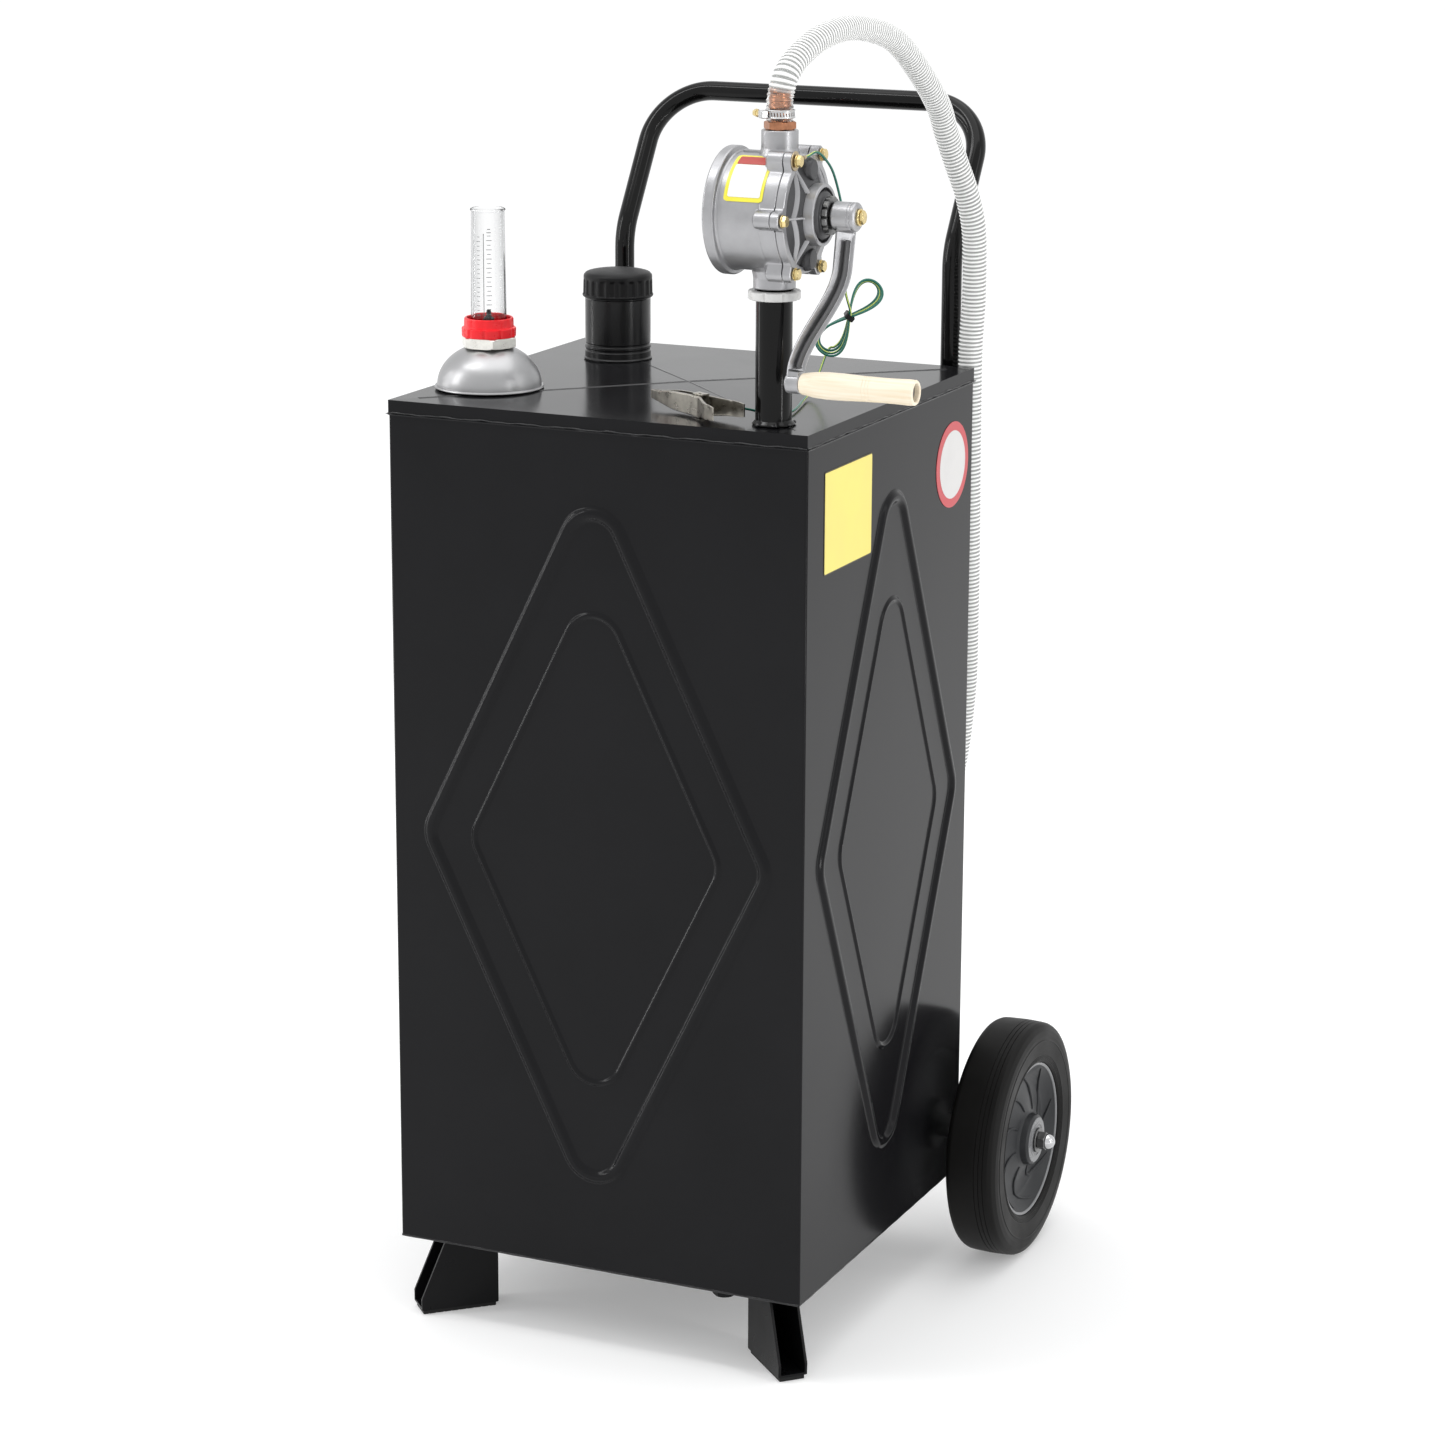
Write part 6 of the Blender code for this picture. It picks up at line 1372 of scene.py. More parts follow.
def rib_between(start, end, width=0.0026):
    """A thin cast rib over the web between two places, each (radius, angle in degrees)."""
    first, last = [Vector(polar(radius, math.radians(angle))) for radius, angle in (start, end)]
    across = Vector((-(last - first).y, (last - first).x)).normalized()
    rings = []
    for step in range(9):
        point = first.lerp(last, step / 8)
        top = rib_height(point.length)
        foot = web_height(point.length) - 0.0015
        half = [(-0.75, foot), (-0.42, top - 0.0007), (-0.2, top)]
        section = half + [(-share, height) for share, height in reversed(half)]
        rings.append([(*(point + across * width * share), height) for share, height in section])
    return lofted(rings)


def make_pump_cover():
    outline = lobed(0.0515, 0.0078, 0.0060)
    trimmed = lobed(0.0508, 0.0071, 0.0060)
    flange = stacked((0.0223, trimmed), (0.0229, outline), (0.0297, outline), (0.0303, trimmed))
    pocket = lathe([(0, 0.0270), (0.0452, 0.0270), (0.0462, 0.0320), (0, 0.0320)], 120)
    flange = cut(flange, pocket)
    piece("pump_cover_flange", flange, cast_silver, "pump_cover", place=pump_frame, smooth=32)
    web = [
        (0.0070, 0.0500), (0.0163, 0.0500, 0.0006), (0.0170, 0.0492, 0.0008),
        (0.0196, 0.0484, 0.002), (0.0214, 0.0458, 0.002), (0.0221, 0.0420, 0.0006),
        (0.0240, 0.0416, 0.0006),
        (0.0240, 0.0450), (0.0262, 0.0450), (0.0270, web_height(0.0270), 0.0015),
        (0.0450, web_height(0.0450), 0.0008), (0.0456, 0.0262), (0.0070, 0.0262),
    ]
    bulge = [(0, 0.0372), (0.0085, 0.0368, 0.002), (0.0105, 0.0330, 0.002)]
    bulge += [(0.0115, 0.0270), (0, 0.0270)]
    bosses = [(lathe(bulge, 48), turned(angle, "Z") @ moved(0.0385, 0, 0)) for angle in (180, 0)]
    piece("pump_cover_web", joined(tube(web, 144), *bosses), cast_silver_painted_shade, place=pump_frame, smooth=32)
    ring = [(0.0236, 0.0430), (0.0238, 0.0466, 0.0004), (0.0243, 0.0473, 0.0004)]
    ring += [(0.0262, 0.0473, 0.0006), (0.0270, 0.0464, 0.0005), (0.0273, 0.0380), (0.0262, 0.0375)]
    ribs = [tube(ring, 144)]
    for lug, side, corner_angle in ((210, 1, 232), (330, -1, 308), (150, -1, 128), (30, 1, 52)):
        corner = (0.0357, corner_angle)
        ribs.append(rib_between((0.0495, lug - side * 2.5), corner))
        ribs.append(rib_between((0.0495, lug - side * 1.5), (0.0268, lug + side * 9.5)))
        ribs.append(rib_between(corner, (0.0363, 270 if lug > 180 else 90)))
    ribs += [rib_between((0.0490, lug), (0.0268, lug)) for lug in (90, 270)]
    piece("pump_cover_ribs", joined(*ribs), cast_silver, place=pump_frame, smooth=32)


def bolt_of(nut, washer, shank_radius, shank_end):
    """A hexagon, its washer and its shank. washer is (radius, top, foot, steps round it)."""
    radius, top, foot, steps = washer
    return joined(
        nut,
        lathe([(0, top), (radius, top, 0.0002), (radius, foot), (0, foot)], steps),
        lathe([(0, 0.0), (shank_radius, 0.0), (shank_radius, shank_end), (0, shank_end)], 24),
    )


def make_cover_bolts():
    for index in range(6):
        name = f"cover_bolt_{index + 1}"
        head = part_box(name)[1][0] - pump_x - 0.0046
        nut = nut_body(0.0052, 0.0006, 0.0044, 0.0006, 60, 0.3 * index)
        bm = bolt_of(nut, (0.0058, 0.0007, 0.0001, 36), 0.0026, -0.018)
        place = pump_frame @ turned(90 + 60 * index, "Z") @ moved(lug_reach, 0, head)
        piece(f"hex_bolt_{index + 1}", bm, yellow_zinc, name, place=place, smooth=30)


def make_packing_nut():
    levels = [(0.0503, 0.0160, 0.0014), (0.0508, 0.0169, 0.0022), (0.0545, 0.0169, 0.0022)]
    levels += [(0.0552, 0.0160, 0.0014), (0.0554, 0.0100, 0.0)]
    bm = notched(levels, 12, 3, 288)
    piece("packing_nut_toothed", bm, dark_steel_and_painted_reflection, "packing_nut", place=pump_frame, smooth=35)


make_pump_body()
make_pump_cover()
make_cover_bolts()
make_packing_nut()

# Crank, bolt, spindle and wooden grip

hub_middle = 0.06775
boss_middle = 0.0330
arm_start = 0.0099
arm_end = 0.1406
arm_bend_start = 0.26
arm_bend_length = 0.72


def arm_station(along):
    """The arm's place and sizes at a share of its length."""
    part = clamped((along - arm_bend_start) / arm_bend_length)
    drop = boss_middle - hub_middle
    middle = hub_middle + drop * eased(part)
    slope = drop * 6 * part * (1 - part) / (arm_bend_length * (arm_end - arm_start))
    distance = arm_start + (arm_end - arm_start) * along
    lean = math.atan(slope)

    def place(across, depth):
        return (distance - depth * math.sin(lean), across, middle + depth * math.cos(lean))

    half_width = (0.0150 + 0.0005 * along) / 2
    half_depth = (0.0138 - 0.0025 * along) / 2
    opened = clamped(min((along - 0.02) / 0.05, (0.97 - along) / 0.05), 0.02)
    return place, half_width, half_depth, 0.0033 * eased(opened)


def arm_outline(half_width, half_depth, channel):
    """A section of the arm. Its front has a channel of the given depth between two thin edges."""
    wall = 0.0017
    right = [(half_width, -half_depth, 0.0020), (half_width, half_depth, 0.0012)]
    right += [(half_width - wall, half_depth, 0.0006)]
    right += [(half_width - wall - 0.0008, half_depth - channel, 0.0008)]
    left = [(-corner[0], *corner[1:]) for corner in reversed(right)]
    return softened(left[-1:] + right + left[:-1], True)


def make_arm():
    rings = []
    shaded = []
    for index in range(65):
        along = index / 64
        place, half_width, half_depth, channel = arm_station(along)
        rings.append([place(*corner) for corner in arm_outline(half_width, half_depth, channel)])
        # These strips on the channel's floor carry painted shade.
        if 0.07 < along < 0.94:
            reach = half_width - 0.0030
            low = half_depth - channel - 0.0008
            high = half_depth - channel + 0.0002
            strip = ((-reach, high), (reach, high), (reach, low), (-reach, low))
            shaded.append([place(*corner) for corner in strip])
    hub = [
        (0.0073, 0.0790), (0.0104, 0.0790, 0.0005), (0.0127, 0.0772, 0.0022), (0.0127, 0.0748),
        (0.0123, 0.0745), (0.0123, 0.0741), (0.0127, 0.0738), (0.0127, 0.0722), (0.0123, 0.0719),
        (0.0123, 0.0715), (0.0127, 0.0712), (0.0127, 0.0580, 0.0012), (0.0118, 0.0565, 0.0008),
        (0.0073, 0.0565),
    ]
    boss = [(0.0043, 0.0395), (0.0080, 0.0395, 0.0006), (0.0090, 0.0386, 0.0010)]
    boss += [(0.0090, 0.0276, 0.0010), (0.0080, 0.0265, 0.0008), (0.0043, 0.0265)]
    bm = joined(lofted(rings), tube(hub, 80), (tube(boss, 64), moved(grip_reach, 0, 0)))
    ride = {"place": crank_frame, "body": "crank"}
    piece("crank_arm_cast", bm, arm_silver, "crank_arm", **ride, smooth=35)
    piece("crank_arm_painted_channel_shade", lofted(shaded), channel_shade_paint, **ride, smooth=35)


def make_crank_bolt():
    washer = [(0, 0.0018), (0.0070, 0.0018, 0.0003), (0.0075, 0.0013, 0.0003)]
    washer += [(0.0075, 0.0), (0, 0)]
    bm = joined(
        nut_body(0.0062, 0.0018, 0.0050, 0.0007, 72),
        lathe(washer, 48),
        lathe([(0, 0.0052), (0.0030, 0.0052, 0.0003), (0.0032, 0.0049), (0, 0.0049)], 32),
    )
    place = crank_frame @ moved(0, 0, 0.0793)
    piece("crank_end_bolt", bm, yellow_zinc, "crank_bolt", place=place, body="crank", smooth=30)


def make_grip():
    """The spindle in the arm's boss and the turned wooden grip with three grooves."""
    place = crank_frame @ moved(grip_reach, 0, 0)
    spindle = [
        (0, 0.1437), (0.0050, 0.1430, 0.0008), (0.0074, 0.1418, 0.0006), (0.0074, 0.1408, 0.0003),
        (0.0040, 0.1409), (0.0040, 0.0262), (0.0060, 0.0262, 0.0004), (0.0062, 0.0254, 0.0005),
        (0.0040, 0.0249, 0.0006), (0, 0.0248),
    ]
    bm = lathe(spindle, 48)
    piece("spindle_turned", bm, dark_steel_and_painted_reflection, "grip_spindle", place=place, body="crank")
    low = 0.0398
    high = low + 0.107
    outline = [(0.0046, low), (0.0084, low, 0.0004), (0.0093, low + 0.0014, 0.0010)]
    swell = [(0.005, 0.0099), (0.013, 0.0112), (0.025, 0.0119), (0.040, 0.0118), (0.052, 0.0113)]
    outline += [(radius, low + along, 0.02) for along, radius in swell]
    for index in range(3):
        ring = low + 0.0600 + index * 0.0030
        outline += [(0.0110, ring - 0.0006), (0.0106, ring), (0.0110, ring + 0.0006)]
    swell = [(0.0760, 0.0108), (0.0920, 0.0110), (0.1000, 0.0113)]
    outline += [(radius, low + along, 0.02) for along, radius in swell]
    outline += [(0.0110, high - 0.0010, 0.0010), (0.0101, high, 0.0006), (0.0086, high, 0.0004)]
    outline += [(0.0080, high - 0.0010, 0.0003), (0.0080, high - 0.0060), (0.0046, high - 0.0060)]
    bm = tube(outline, 80)
    piece("grip_turned", bm, wood, "crank_grip", place=place, body="grip", smooth=30)


make_arm()
make_crank_bolt()
make_grip()

# Hose fitting, clamp and the spout's holder


def make_barb():
    stem = [
        (0.0042, 0.0350), (0.0062, 0.0350, 0.0003), (0.0075, 0.0320, 0.0002), (0.0068, 0.0300),
        (0.0068, 0.0280), (0.0075, 0.0250, 0.0002), (0.0068, 0.0230), (0.0075, 0.0190, 0.0002),
        (0.0065, 0.0170), (0.0065, 0.0130), (0.0072, 0.0110, 0.0002), (0.0062, 0.0090),
        (0.0059, 0.0060), (0.0042, 0.0060),
    ]
    bm = joined(
        nut_body(0.0142, 0.0, 0.0070, 0.0009, start=math.radians(14)),
        tube(stem, 40),
        tube([(0.0042, 0.001), (0.0080, 0.001), (0.0080, -0.010), (0.0042, -0.010)], 32),
    )
    place = upright(port_x, pump_y, port_top)
    piece("barb_coppered", bm, copper, "hose_barb", place=place, smooth=30)


def make_clamp():
    """A light worm clamp: two rolled wires, a thin band between them, housing and screw."""
    inner = 0.0122
    lower = [(inner, 0.0020), (inner + 0.0006, 0.0018), (inner + 0.0013, 0.0024, 0.0005)]
    lower += [(inner + 0.0006, 0.0031, 0.0003), (inner + 0.0005, 0.0055)]
    upper = [(inner + 0.0006, 0.0079, 0.0003), (inner + 0.0013, 0.0086, 0.0005)]
    upper += [(inner + 0.0006, 0.0092), (inner, 0.0090)]
    slots = []
    for angle in angles(30):
        slot = box((inner - 0.0010, -0.0005, 0.0038), (inner + 0.0030, 0.0005, 0.0072))
        slots.append((slot, Matrix.Rotation(angle, 4, "Z") @ Matrix.Rotation(0.18, 4, "X")))
    band = cut(tube(lower + upper, 96), joined(*slots))
    housing = box((-0.0034, -0.0196, 0.0020), (0.0034, -0.0127, 0.0090), 0.0011, 3)
    facing = turned(-40, "Z")
    place = upright(port_x, pump_y, 1.1562)
    bm = joined(band, (housing, facing))
    piece("clamp_band", bm, steel, "hose_clamp", place=place, smooth=30)
    head = nut_body(0.0036, 0.0100, 0.0150, 0.0005, 72)
    head = cut(head, box((-0.0050, -0.0005, 0.0140), (0.0050, 0.0005, 0.0160)))
    rod = lathe([(0, 0.0130), (0.0026, 0.0130, 0.0004), (0.0026, 0.0), (0, 0)], 40)
    place = place @ facing @ moved(0, -0.0162, 0.0055) @ turned(-90, "Y")
    piece("clamp_screw", joined(rod, head), yellow_zinc, place=place, smooth=30)


def make_holder():
    """The sprung clip behind the tank that holds the spout."""
    gap = math.radians(46)
    inner = 0.0083
    outer = 0.0102
    lips = []
    for side in (1, -1):
        x, y = polar(outer, math.pi / 2 - side * gap)
        ends = [(x + side * 0.0014, y + 0.0022), (x + side * 0.0002, y + 0.0026)]
        lips.append(ends[::side])
    bend = [math.pi / 2 + gap + (2 * math.pi - 2 * gap) * index / 40 for index in range(41)]
    outline = [polar(outer, angle) for angle in bend] + lips[0]
    outline += [polar(inner, angle) for angle in reversed(bend)] + lips[1]
    rivets = []
    for x, z in ((-0.0080, 0.0060), (0.0080, 0.0060), (-0.0080, 0.0240), (0.0080, 0.0240)):
        rivet = lathe([(0, 0.0016), (0.0020, 0.0012, 0.0006), (0.0026, 0), (0, 0)], 24)
        rivets.append((rivet, moved(x, -0.0277, z) @ turned(-90, "X")))
    bm = joined(
        prism(outline, 0.0, 0.030, 0.0003),
        box((-0.0060, -0.0296, 0.0030), (0.0060, -0.0088, 0.0270), 0.0008),
        box((-0.0103, -0.0296, 0.0), (0.0103, -0.0276, 0.030), 0.0007),
        *rivets,
    )
    place = upright(SPOUT_PLACE[0], SPOUT_PLACE[1], 0.680)
    piece("spout_clip", bm, steel, "spout_holder", place=place, smooth=35)


make_barb()
make_clamp()
make_holder()

# Push handle and its brackets

handle_y = 0.2233
handle_half_width = 0.174
handle_corner = 0.058


def handle_path():
    """Up the left leg, over its lean and corners, and down the right one."""
    corner = handle_corner
    lean_angle = math.radians(32.7)
    lean = Vector((0, math.sin(lean_angle), math.cos(lean_angle)))
    bend = Vector((0, handle_y, tank_top + 0.1056))
    start = bend - Vector((0, 0, corner * math.tan(lean_angle / 2)))
    side = [Vector((0, handle_y, tank_top - 0.150 + step * 0.02)) for step in range(11)]
    for index in range(13):
        angle = lean_angle * index / 12
        side.append(start + Vector((0, corner * (1 - math.cos(angle)), corner * math.sin(angle))))
    side = [point for point in side if point.z <= start.z + 1e-6 or point.y > handle_y + 1e-9]
    corner_start = bend + lean * (0.158 - corner)
    side += [side[-1].lerp(corner_start, step / 6) for step in range(1, 6)]
    left = [point - Vector((handle_half_width, 0, 0)) for point in side]
    for index in range(25):
        angle = math.pi / 2 * index / 24
        across = corner * (1 - math.cos(angle)) - handle_half_width
        left.append(corner_start + lean * corner * math.sin(angle) + Vector((across, 0, 0)))
    top = left[-1]
    middle = [Vector((top.x * (1 - step / 8), top.y, top.z)) for step in range(1, 8)]
    right = [Vector((-point.x, point.y, point.z)) for point in reversed(left + middle)]
    return [spot(*point) for point in left + middle + right]


def make_handle():
    points = handle_path()
    kept = [points[0]]
    kept += [point for before, point in zip(points, points[1:]) if (point - before).length > 0.0004]
    ends = [[kept[index] + Vector((0, 0, up)) for up in (0.0006, 0.0016)] for index in (0, -1)]
    path = kept[:1] + ends[0] + kept[1:-1] + ends[1][::-1] + kept[-1:]
    rounded = [0.0086, 0.0093, 0.0096]
    radii = rounded + [0.0096] * (len(path) - 6) + rounded[::-1]
    piece("handle_tube", swept(path, radii, 40), tube_black, "push_handle", smooth=60)


def make_handle_bracket(side, word):
    name = f"handle_bracket_{word}"
    high = tank_top - 0.028
    low = high - 0.024
    block = box((-0.0100, -0.0230, low), (0.0100, -0.0034, high), 0.0010, 3)
    below = low - 0.01
    above = high + 0.01
    saddle = lathe([(0, below), (0.0099, below), (0.0099, above), (0, above)], 48)
    place = upright(side * handle_half_width, handle_y, 0)
    piece(f"{name}_block", cut(block, saddle), satin_black, name, place=place, smooth=35)
    nut = nut_body(0.0062, 0.0, 0.0040, 0.0006, 72)
    bolt = bolt_of(nut, (0.0064, 0.0006, 0.0, 40), 0.0034, -0.0330)
    place = upright(side * handle_half_width, handle_y + 0.0099, (high + low) / 2)
    piece(f"{name}_bolt", bolt, zinc, place=place @ turned(-90, "X"), smooth=30)


make_handle()
for leg in SIDES:
    make_handle_bracket(*leg)

# Feet, pads and drain plug


def make_foot(side, word):
    """A folded channel across a front corner of the tank, on its grooved pad."""
    low = 0.0043
    high = ground_clearance - 0.0003
    toe = 0.0766
    sheet = 0.0025
    half = 0.0144
    inner = half - 0.0006
    heading = math.radians(-44) if side > 0 else math.pi + math.radians(44)
    reach = Vector(polar(toe, heading, 0))
    corner = spot(side * 0.197, -0.1885, 0)
    place = moved(*(corner - reach)) @ Matrix.Rotation(heading, 4, "Z")
    outline = [(0, low, 0.0015), (toe, low, 0.0015), (toe, low + 0.012, 0.0030)]
    outline += [(0.050, high, 0.0030), (0, high, 0.0010)]
    parts = [
        box((0.0006, -inner, low), (toe - 0.0004, inner, low + sheet), 0.0006),
        box((0, -inner, low), (sheet, inner, high), 0.0006),
    ]
    for across in (-half, half - sheet):
        plate = prism(softened(outline, True), across, across + sheet, 0.0005)
        parts.append((plate, SWAP_Y_Z))
    for across in (-half + 0.0002, half - 0.0002):
        line = [Vector((x, across, high - 0.0004)) for x in (0.004, 0.018, 0.032, 0.046)]
        parts.append(swept(line, [0.0010, 0.0013, 0.0012, 0.0009], 10))
    name = f"foot_{word}"
    piece(f"{name}_folded", joined(*parts), satin_black, name, place=place, smooth=35)
    pad = box((0.0020, -half + 0.0020, 0.0), (toe - 0.0020, half - 0.0020, 0.0040), 0.0008)
    starts = [0.0085 + index * 0.0075 for index in range(9)]
    pad = cut(pad, *[box((x, -half, -0.001), (x + 0.0012, half, 0.0009)) for x in starts])
    name = f"foot_pad_{word}"
    piece(f"{name}_grooved", pad, soft_black, name, place=place, smooth=35)


def make_drain_plug():
    washer = [(0, -0.0003), (0.0130, -0.0003, 0.0004), (0.0135, -0.0024, 0.0004), (0, -0.0026)]
    stem = [(0, 0.010), (0.0080, 0.010, 0.0005), (0.0086, 0.009), (0.0086, -0.0010), (0, -0.0010)]
    hexagon = nut_body(0.0115, -0.0140, -0.0022, 0.0010, start=math.radians(20))
    bm = joined(hexagon, lathe(washer, 60), lathe(stem, 40))
    place = upright(0.118, -0.168, ground_clearance - 0.0003)
    piece("drain_plug_turned", bm, satin_black, "drain_plug", place=place, smooth=30)


for corner_side in SIDES:
    make_foot(*corner_side)
make_drain_plug()

# Axle, its bracket and the wheels


def make_axle_bracket():
    half = 0.190
    front = 0.2003
    low = axle_z - 0.034
    high = axle_z + 0.013
    parts = [box((-half, front, low), (half, front + 0.0018, axle_z - 0.0110), 0.0005)]
    ear = [
        (front, low, 0.002), (front + 0.0240, low + 0.010, 0.006),
        (front + 0.0240, high - 0.004, 0.006), (front + 0.0180, high, 0.004), (front, high, 0.001),
    ]
    for start in (-half, half - 0.0036):
        plate = prism(softened(ear, True, 6), 0, 0.0036, 0.0006)
        plate.transform(moved(start, 0, 0) @ XYZ_FROM_ZXY)
        bore = lathe([(0, -0.21), (0.0083, -0.21), (0.0083, 0.21), (0, 0.21)], 48)
        bore.transform(moved(0, axle_y, axle_z) @ turned(90, "Y"))
        parts.append(cut(plate, bore))
    for middle in (-0.150, 0, 0.150):
        starts = [middle - 0.014 + 0.004 * step for step in range(8)]
        line = [Vector((x, front + 0.0016, low + 0.0002)) for x in starts]
        radii = [0.0012 + 0.0004 * math.sin(step * 2.1) for step in range(8)]
        parts.append(swept(line, radii, 10))
    bm = joined(*parts)
    piece("axle_bracket_folded", bm, satin_black, "axle_bracket", place=upright(0, 0, 0))


def make_axle():
    right = [
        (0.0048, 0.2975, 0.0006), (0.0048, 0.2883), (0.0080, 0.2878, 0.0004),
        (0.0080, 0.2317, 0.0003), (0.0120, 0.2317, 0.0006), (0.0120, 0.2081, 0.0006),
        (0.0080, 0.2081, 0.0003),
    ]
    profile = [(0, 0.2979)] + right + mirrored(right) + [(0, -0.2979)]
    piece("axle_turned", lathe(profile, 56), steel, "axle", place=along_x(0, axle_y, axle_z))


def tyre_outline(grooved):
    """Half of the tyre's outline from its bore to the middle of its tread."""
    outline = [
        (0.0771, 0.0), (0.0771, 0.0228, 0.0004), (0.0784, 0.0238, 0.0005), (0.0798, 0.0246, 0.0004),
        (0.0806, 0.0242, 0.0003), (0.0814, 0.0249, 0.0004), (0.0822, 0.0244, 0.0003),
        (0.0830, 0.0251, 0.0004), (0.0838, 0.0246, 0.0003), (0.0848, 0.0253, 0.0005),
        (0.0915, 0.0259, 0.003), (0.0985, 0.0265, 0.001), (0.0994, 0.0269, 0.0004),
        (0.1006, 0.0264, 0.0004), (0.1040, 0.0265, 0.003), (0.1092, 0.0258, 0.004),
        (0.1148, 0.0232, 0.004), (0.1166, 0.0196, 0.003), (0.1170, 0.0150, 0.001),
    ]
    if grooved:
        for across, reach in ((0.0150, 0.1170), (0.0106, 0.1172), (0.0062, 0.1174)):
            outline += [(reach, across + 0.0004), (reach - 0.0006, across + 0.0001)]
            outline += [(reach - 0.0006, across - 0.0002), (reach, across - 0.0005)]
    return outline + [(0.1175, 0.0)]


RIM_FLOOR = [
    (0.0262, 0.0200), (0.0290, 0.0172), (0.0450, 0.0125), (0.0580, 0.0105), (0.0640, 0.0122),
    (0.0690, 0.0162), (0.0728, 0.0196),
]


def rim_depth(radius):
    for near, far in zip(RIM_FLOOR, RIM_FLOOR[1:]):
        if near[0] <= radius <= far[0]:
            depth = near[1] + (far[1] - near[1]) * (radius - near[0]) / (far[0] - near[0])
    return depth


def raised_arc(start, sweep, inner, outer):
    """A curved rib on the dished rim's floor, from near the hub to near the lip."""
    shares = [step / 26 for step in range(27)]
    points = []
    for share in shares:
        radius = inner + (outer - inner) * share
        points.append(Vector(polar(radius, start + sweep * share**2, rim_depth(radius) + 0.0003)))
    radii = [0.0006 + 0.0009 * abs(math.sin(math.pi * share)) ** 0.4 for share in shares]
    return swept(points, radii, 10)


def wheel_place(side, x):
    return upright(side * x, axle_y, axle_z) @ turned(side * 90, "Y")


def make_tyre(side, word):
    half = tyre_outline(True)[:-1]
    tyre = tube(half + mirrored(tyre_outline(False))[:-1], 160)
    ride = {"place": wheel_place(side, 0.259), "body": f"{word}_wheel"}
    piece(f"{word}_tyre_moulded", tyre, tyre_black, f"{word}_tyre", **ride, smooth=32)


def make_rim(side, word):
    """The dished rim with curved ribs, and its rings at the hub and the lip, made paler as painted
    highlight.
    """
    ride = {"place": wheel_place(side, 0.259), "body": f"{word}_wheel"}
    face = [
        (0.0083, 0.0292), (0.0106, 0.0292, 0.0003), (0.0109, 0.0282, 0.0003),
        (0.0226, 0.0280, 0.0006), (0.0250, 0.0262, 0.0020), *RIM_FLOOR, (0.0736, 0.0206, 0.0006),
        (0.0748, 0.0214, 0.0006), (0.0768, 0.0218, 0.0006), (0.0768, 0.0),
    ]
    rim = [tube(face[:-1] + mirrored(face)[1:], 144)]
    rim += [raised_arc(angle + 0.2, 0.85 * side, 0.0300, 0.0710) for angle in angles(8)]
    piece(f"{word}_rim_moulded", joined(*rim), rim_grey, f"{word}_rim", **ride, smooth=32)
    disc = [
        (0.0108, 0.0275), (0.0108, 0.0288, 0.0002), (0.0140, 0.0288, 0.0002),
        (0.0143, 0.0284, 0.0002), (0.0152, 0.0284, 0.0002), (0.0155, 0.0290, 0.0002),
        (0.0168, 0.0290, 0.0002), (0.0171, 0.0285, 0.0002), (0.0222, 0.0284, 0.0004),
        (0.0226, 0.0275),
    ]
    lip = [(0.0738, 0.0200), (0.0739, 0.0212, 0.0003), (0.0748, 0.0219, 0.0004)]
    lip += [(0.0762, 0.0222, 0.0004), (0.0768, 0.0219, 0.0003), (0.0768, 0.0200)]
    bm = joined(tube(disc, 96), tube(lip, 144))
    piece(f"{word}_highlight_rings", bm, rim_highlight_grey, **ride, smooth=32)


def make_wheel_nut(side, word):
    """A domed nut: a chromed crown, and a darker hexagon and washer under it. The hexagon's dark
    colour is a painted dark reflection on chrome; the washer's dark colour is its own.
    """
    place = wheel_place(side, 0.2885)
    crown = [(0, 0.0180)]
    for index in range(1, 13):
        angle = math.pi / 2 * index / 12
        crown.append((0.0077 * math.sin(angle), 0.0096 + 0.0084 * math.cos(angle)))
    bm = lathe(crown + [(0.0077, 0.0088), (0, 0.0088)], 56)
    piece(f"{word}_acorn_nut", bm, chrome, f"{word}_axle_nut", place=place, smooth=30)
    washer = [(0.0050, 0.0018), (0.0120, 0.0018, 0.0003), (0.0125, 0.0014, 0.0003)]
    washer += [(0.0125, 0.0003), (0.0050, 0.0003)]
    bm = joined(nut_body(0.0094, 0.0018, 0.0094, 0.0008), tube(washer, 64))
    # On the chromed hexagon this dark steel is a painted dark reflection.
    piece(f"{word}_nut_hexagon", bm, dark_steel_and_painted_reflection, place=place, slot="chrome", smooth=30)


make_axle_bracket()
make_axle()
for wheel in SIDES:
    make_tyre(*wheel)
    make_rim(*wheel)
    make_wheel_nut(*wheel)

# Ring terminal and spring clip


def make_terminal():
    x, y = polar(lug_reach, math.radians(210))
    section = [(0.0030, 0.0), (0.0085, 0.0, 0.0002), (0.0085, 0.0008, 0.0002), (0.0030, 0.0008)]
    start = spot(*WIRE_TOP_ROUTE[0])
    back = (start - spot(*WIRE_TOP_ROUTE[1])).normalized()
    bm = joined(
        (tube(section, 48), along_x(pump_x + 0.0306, pump_y + y, pump_z - x)),
        swept([start + back * 0.0083, start + back * 0.0003], 0.0016),
        swept([start + back * 0.0060, start + back * 0.0030], 0.0019),
    )
    piece("terminal_crimped", bm, dull_brass, "ring_terminal", smooth=35)


# Stations along a jaw of the clip: (place along it, distance out, height)
JAW_PATH = [
    (-0.0460, 0.0175, 0.0117), (-0.0380, 0.0162, 0.0136), (-0.0276, 0.01475, 0.0144),
    (-0.0180, 0.0108, 0.0162), (-0.0092, 0.00715, 0.0180), (0.0000, 0.0068, 0.0180),
    (0.0086, 0.0065, 0.0180), (0.0324, 0.0062, 0.0162), (0.0480, 0.0050, 0.0126),
    (0.0612, 0.0039, 0.0090), (0.0698, 0.0017, 0.0081), (0.0720, 0.0017, 0.0081),
]


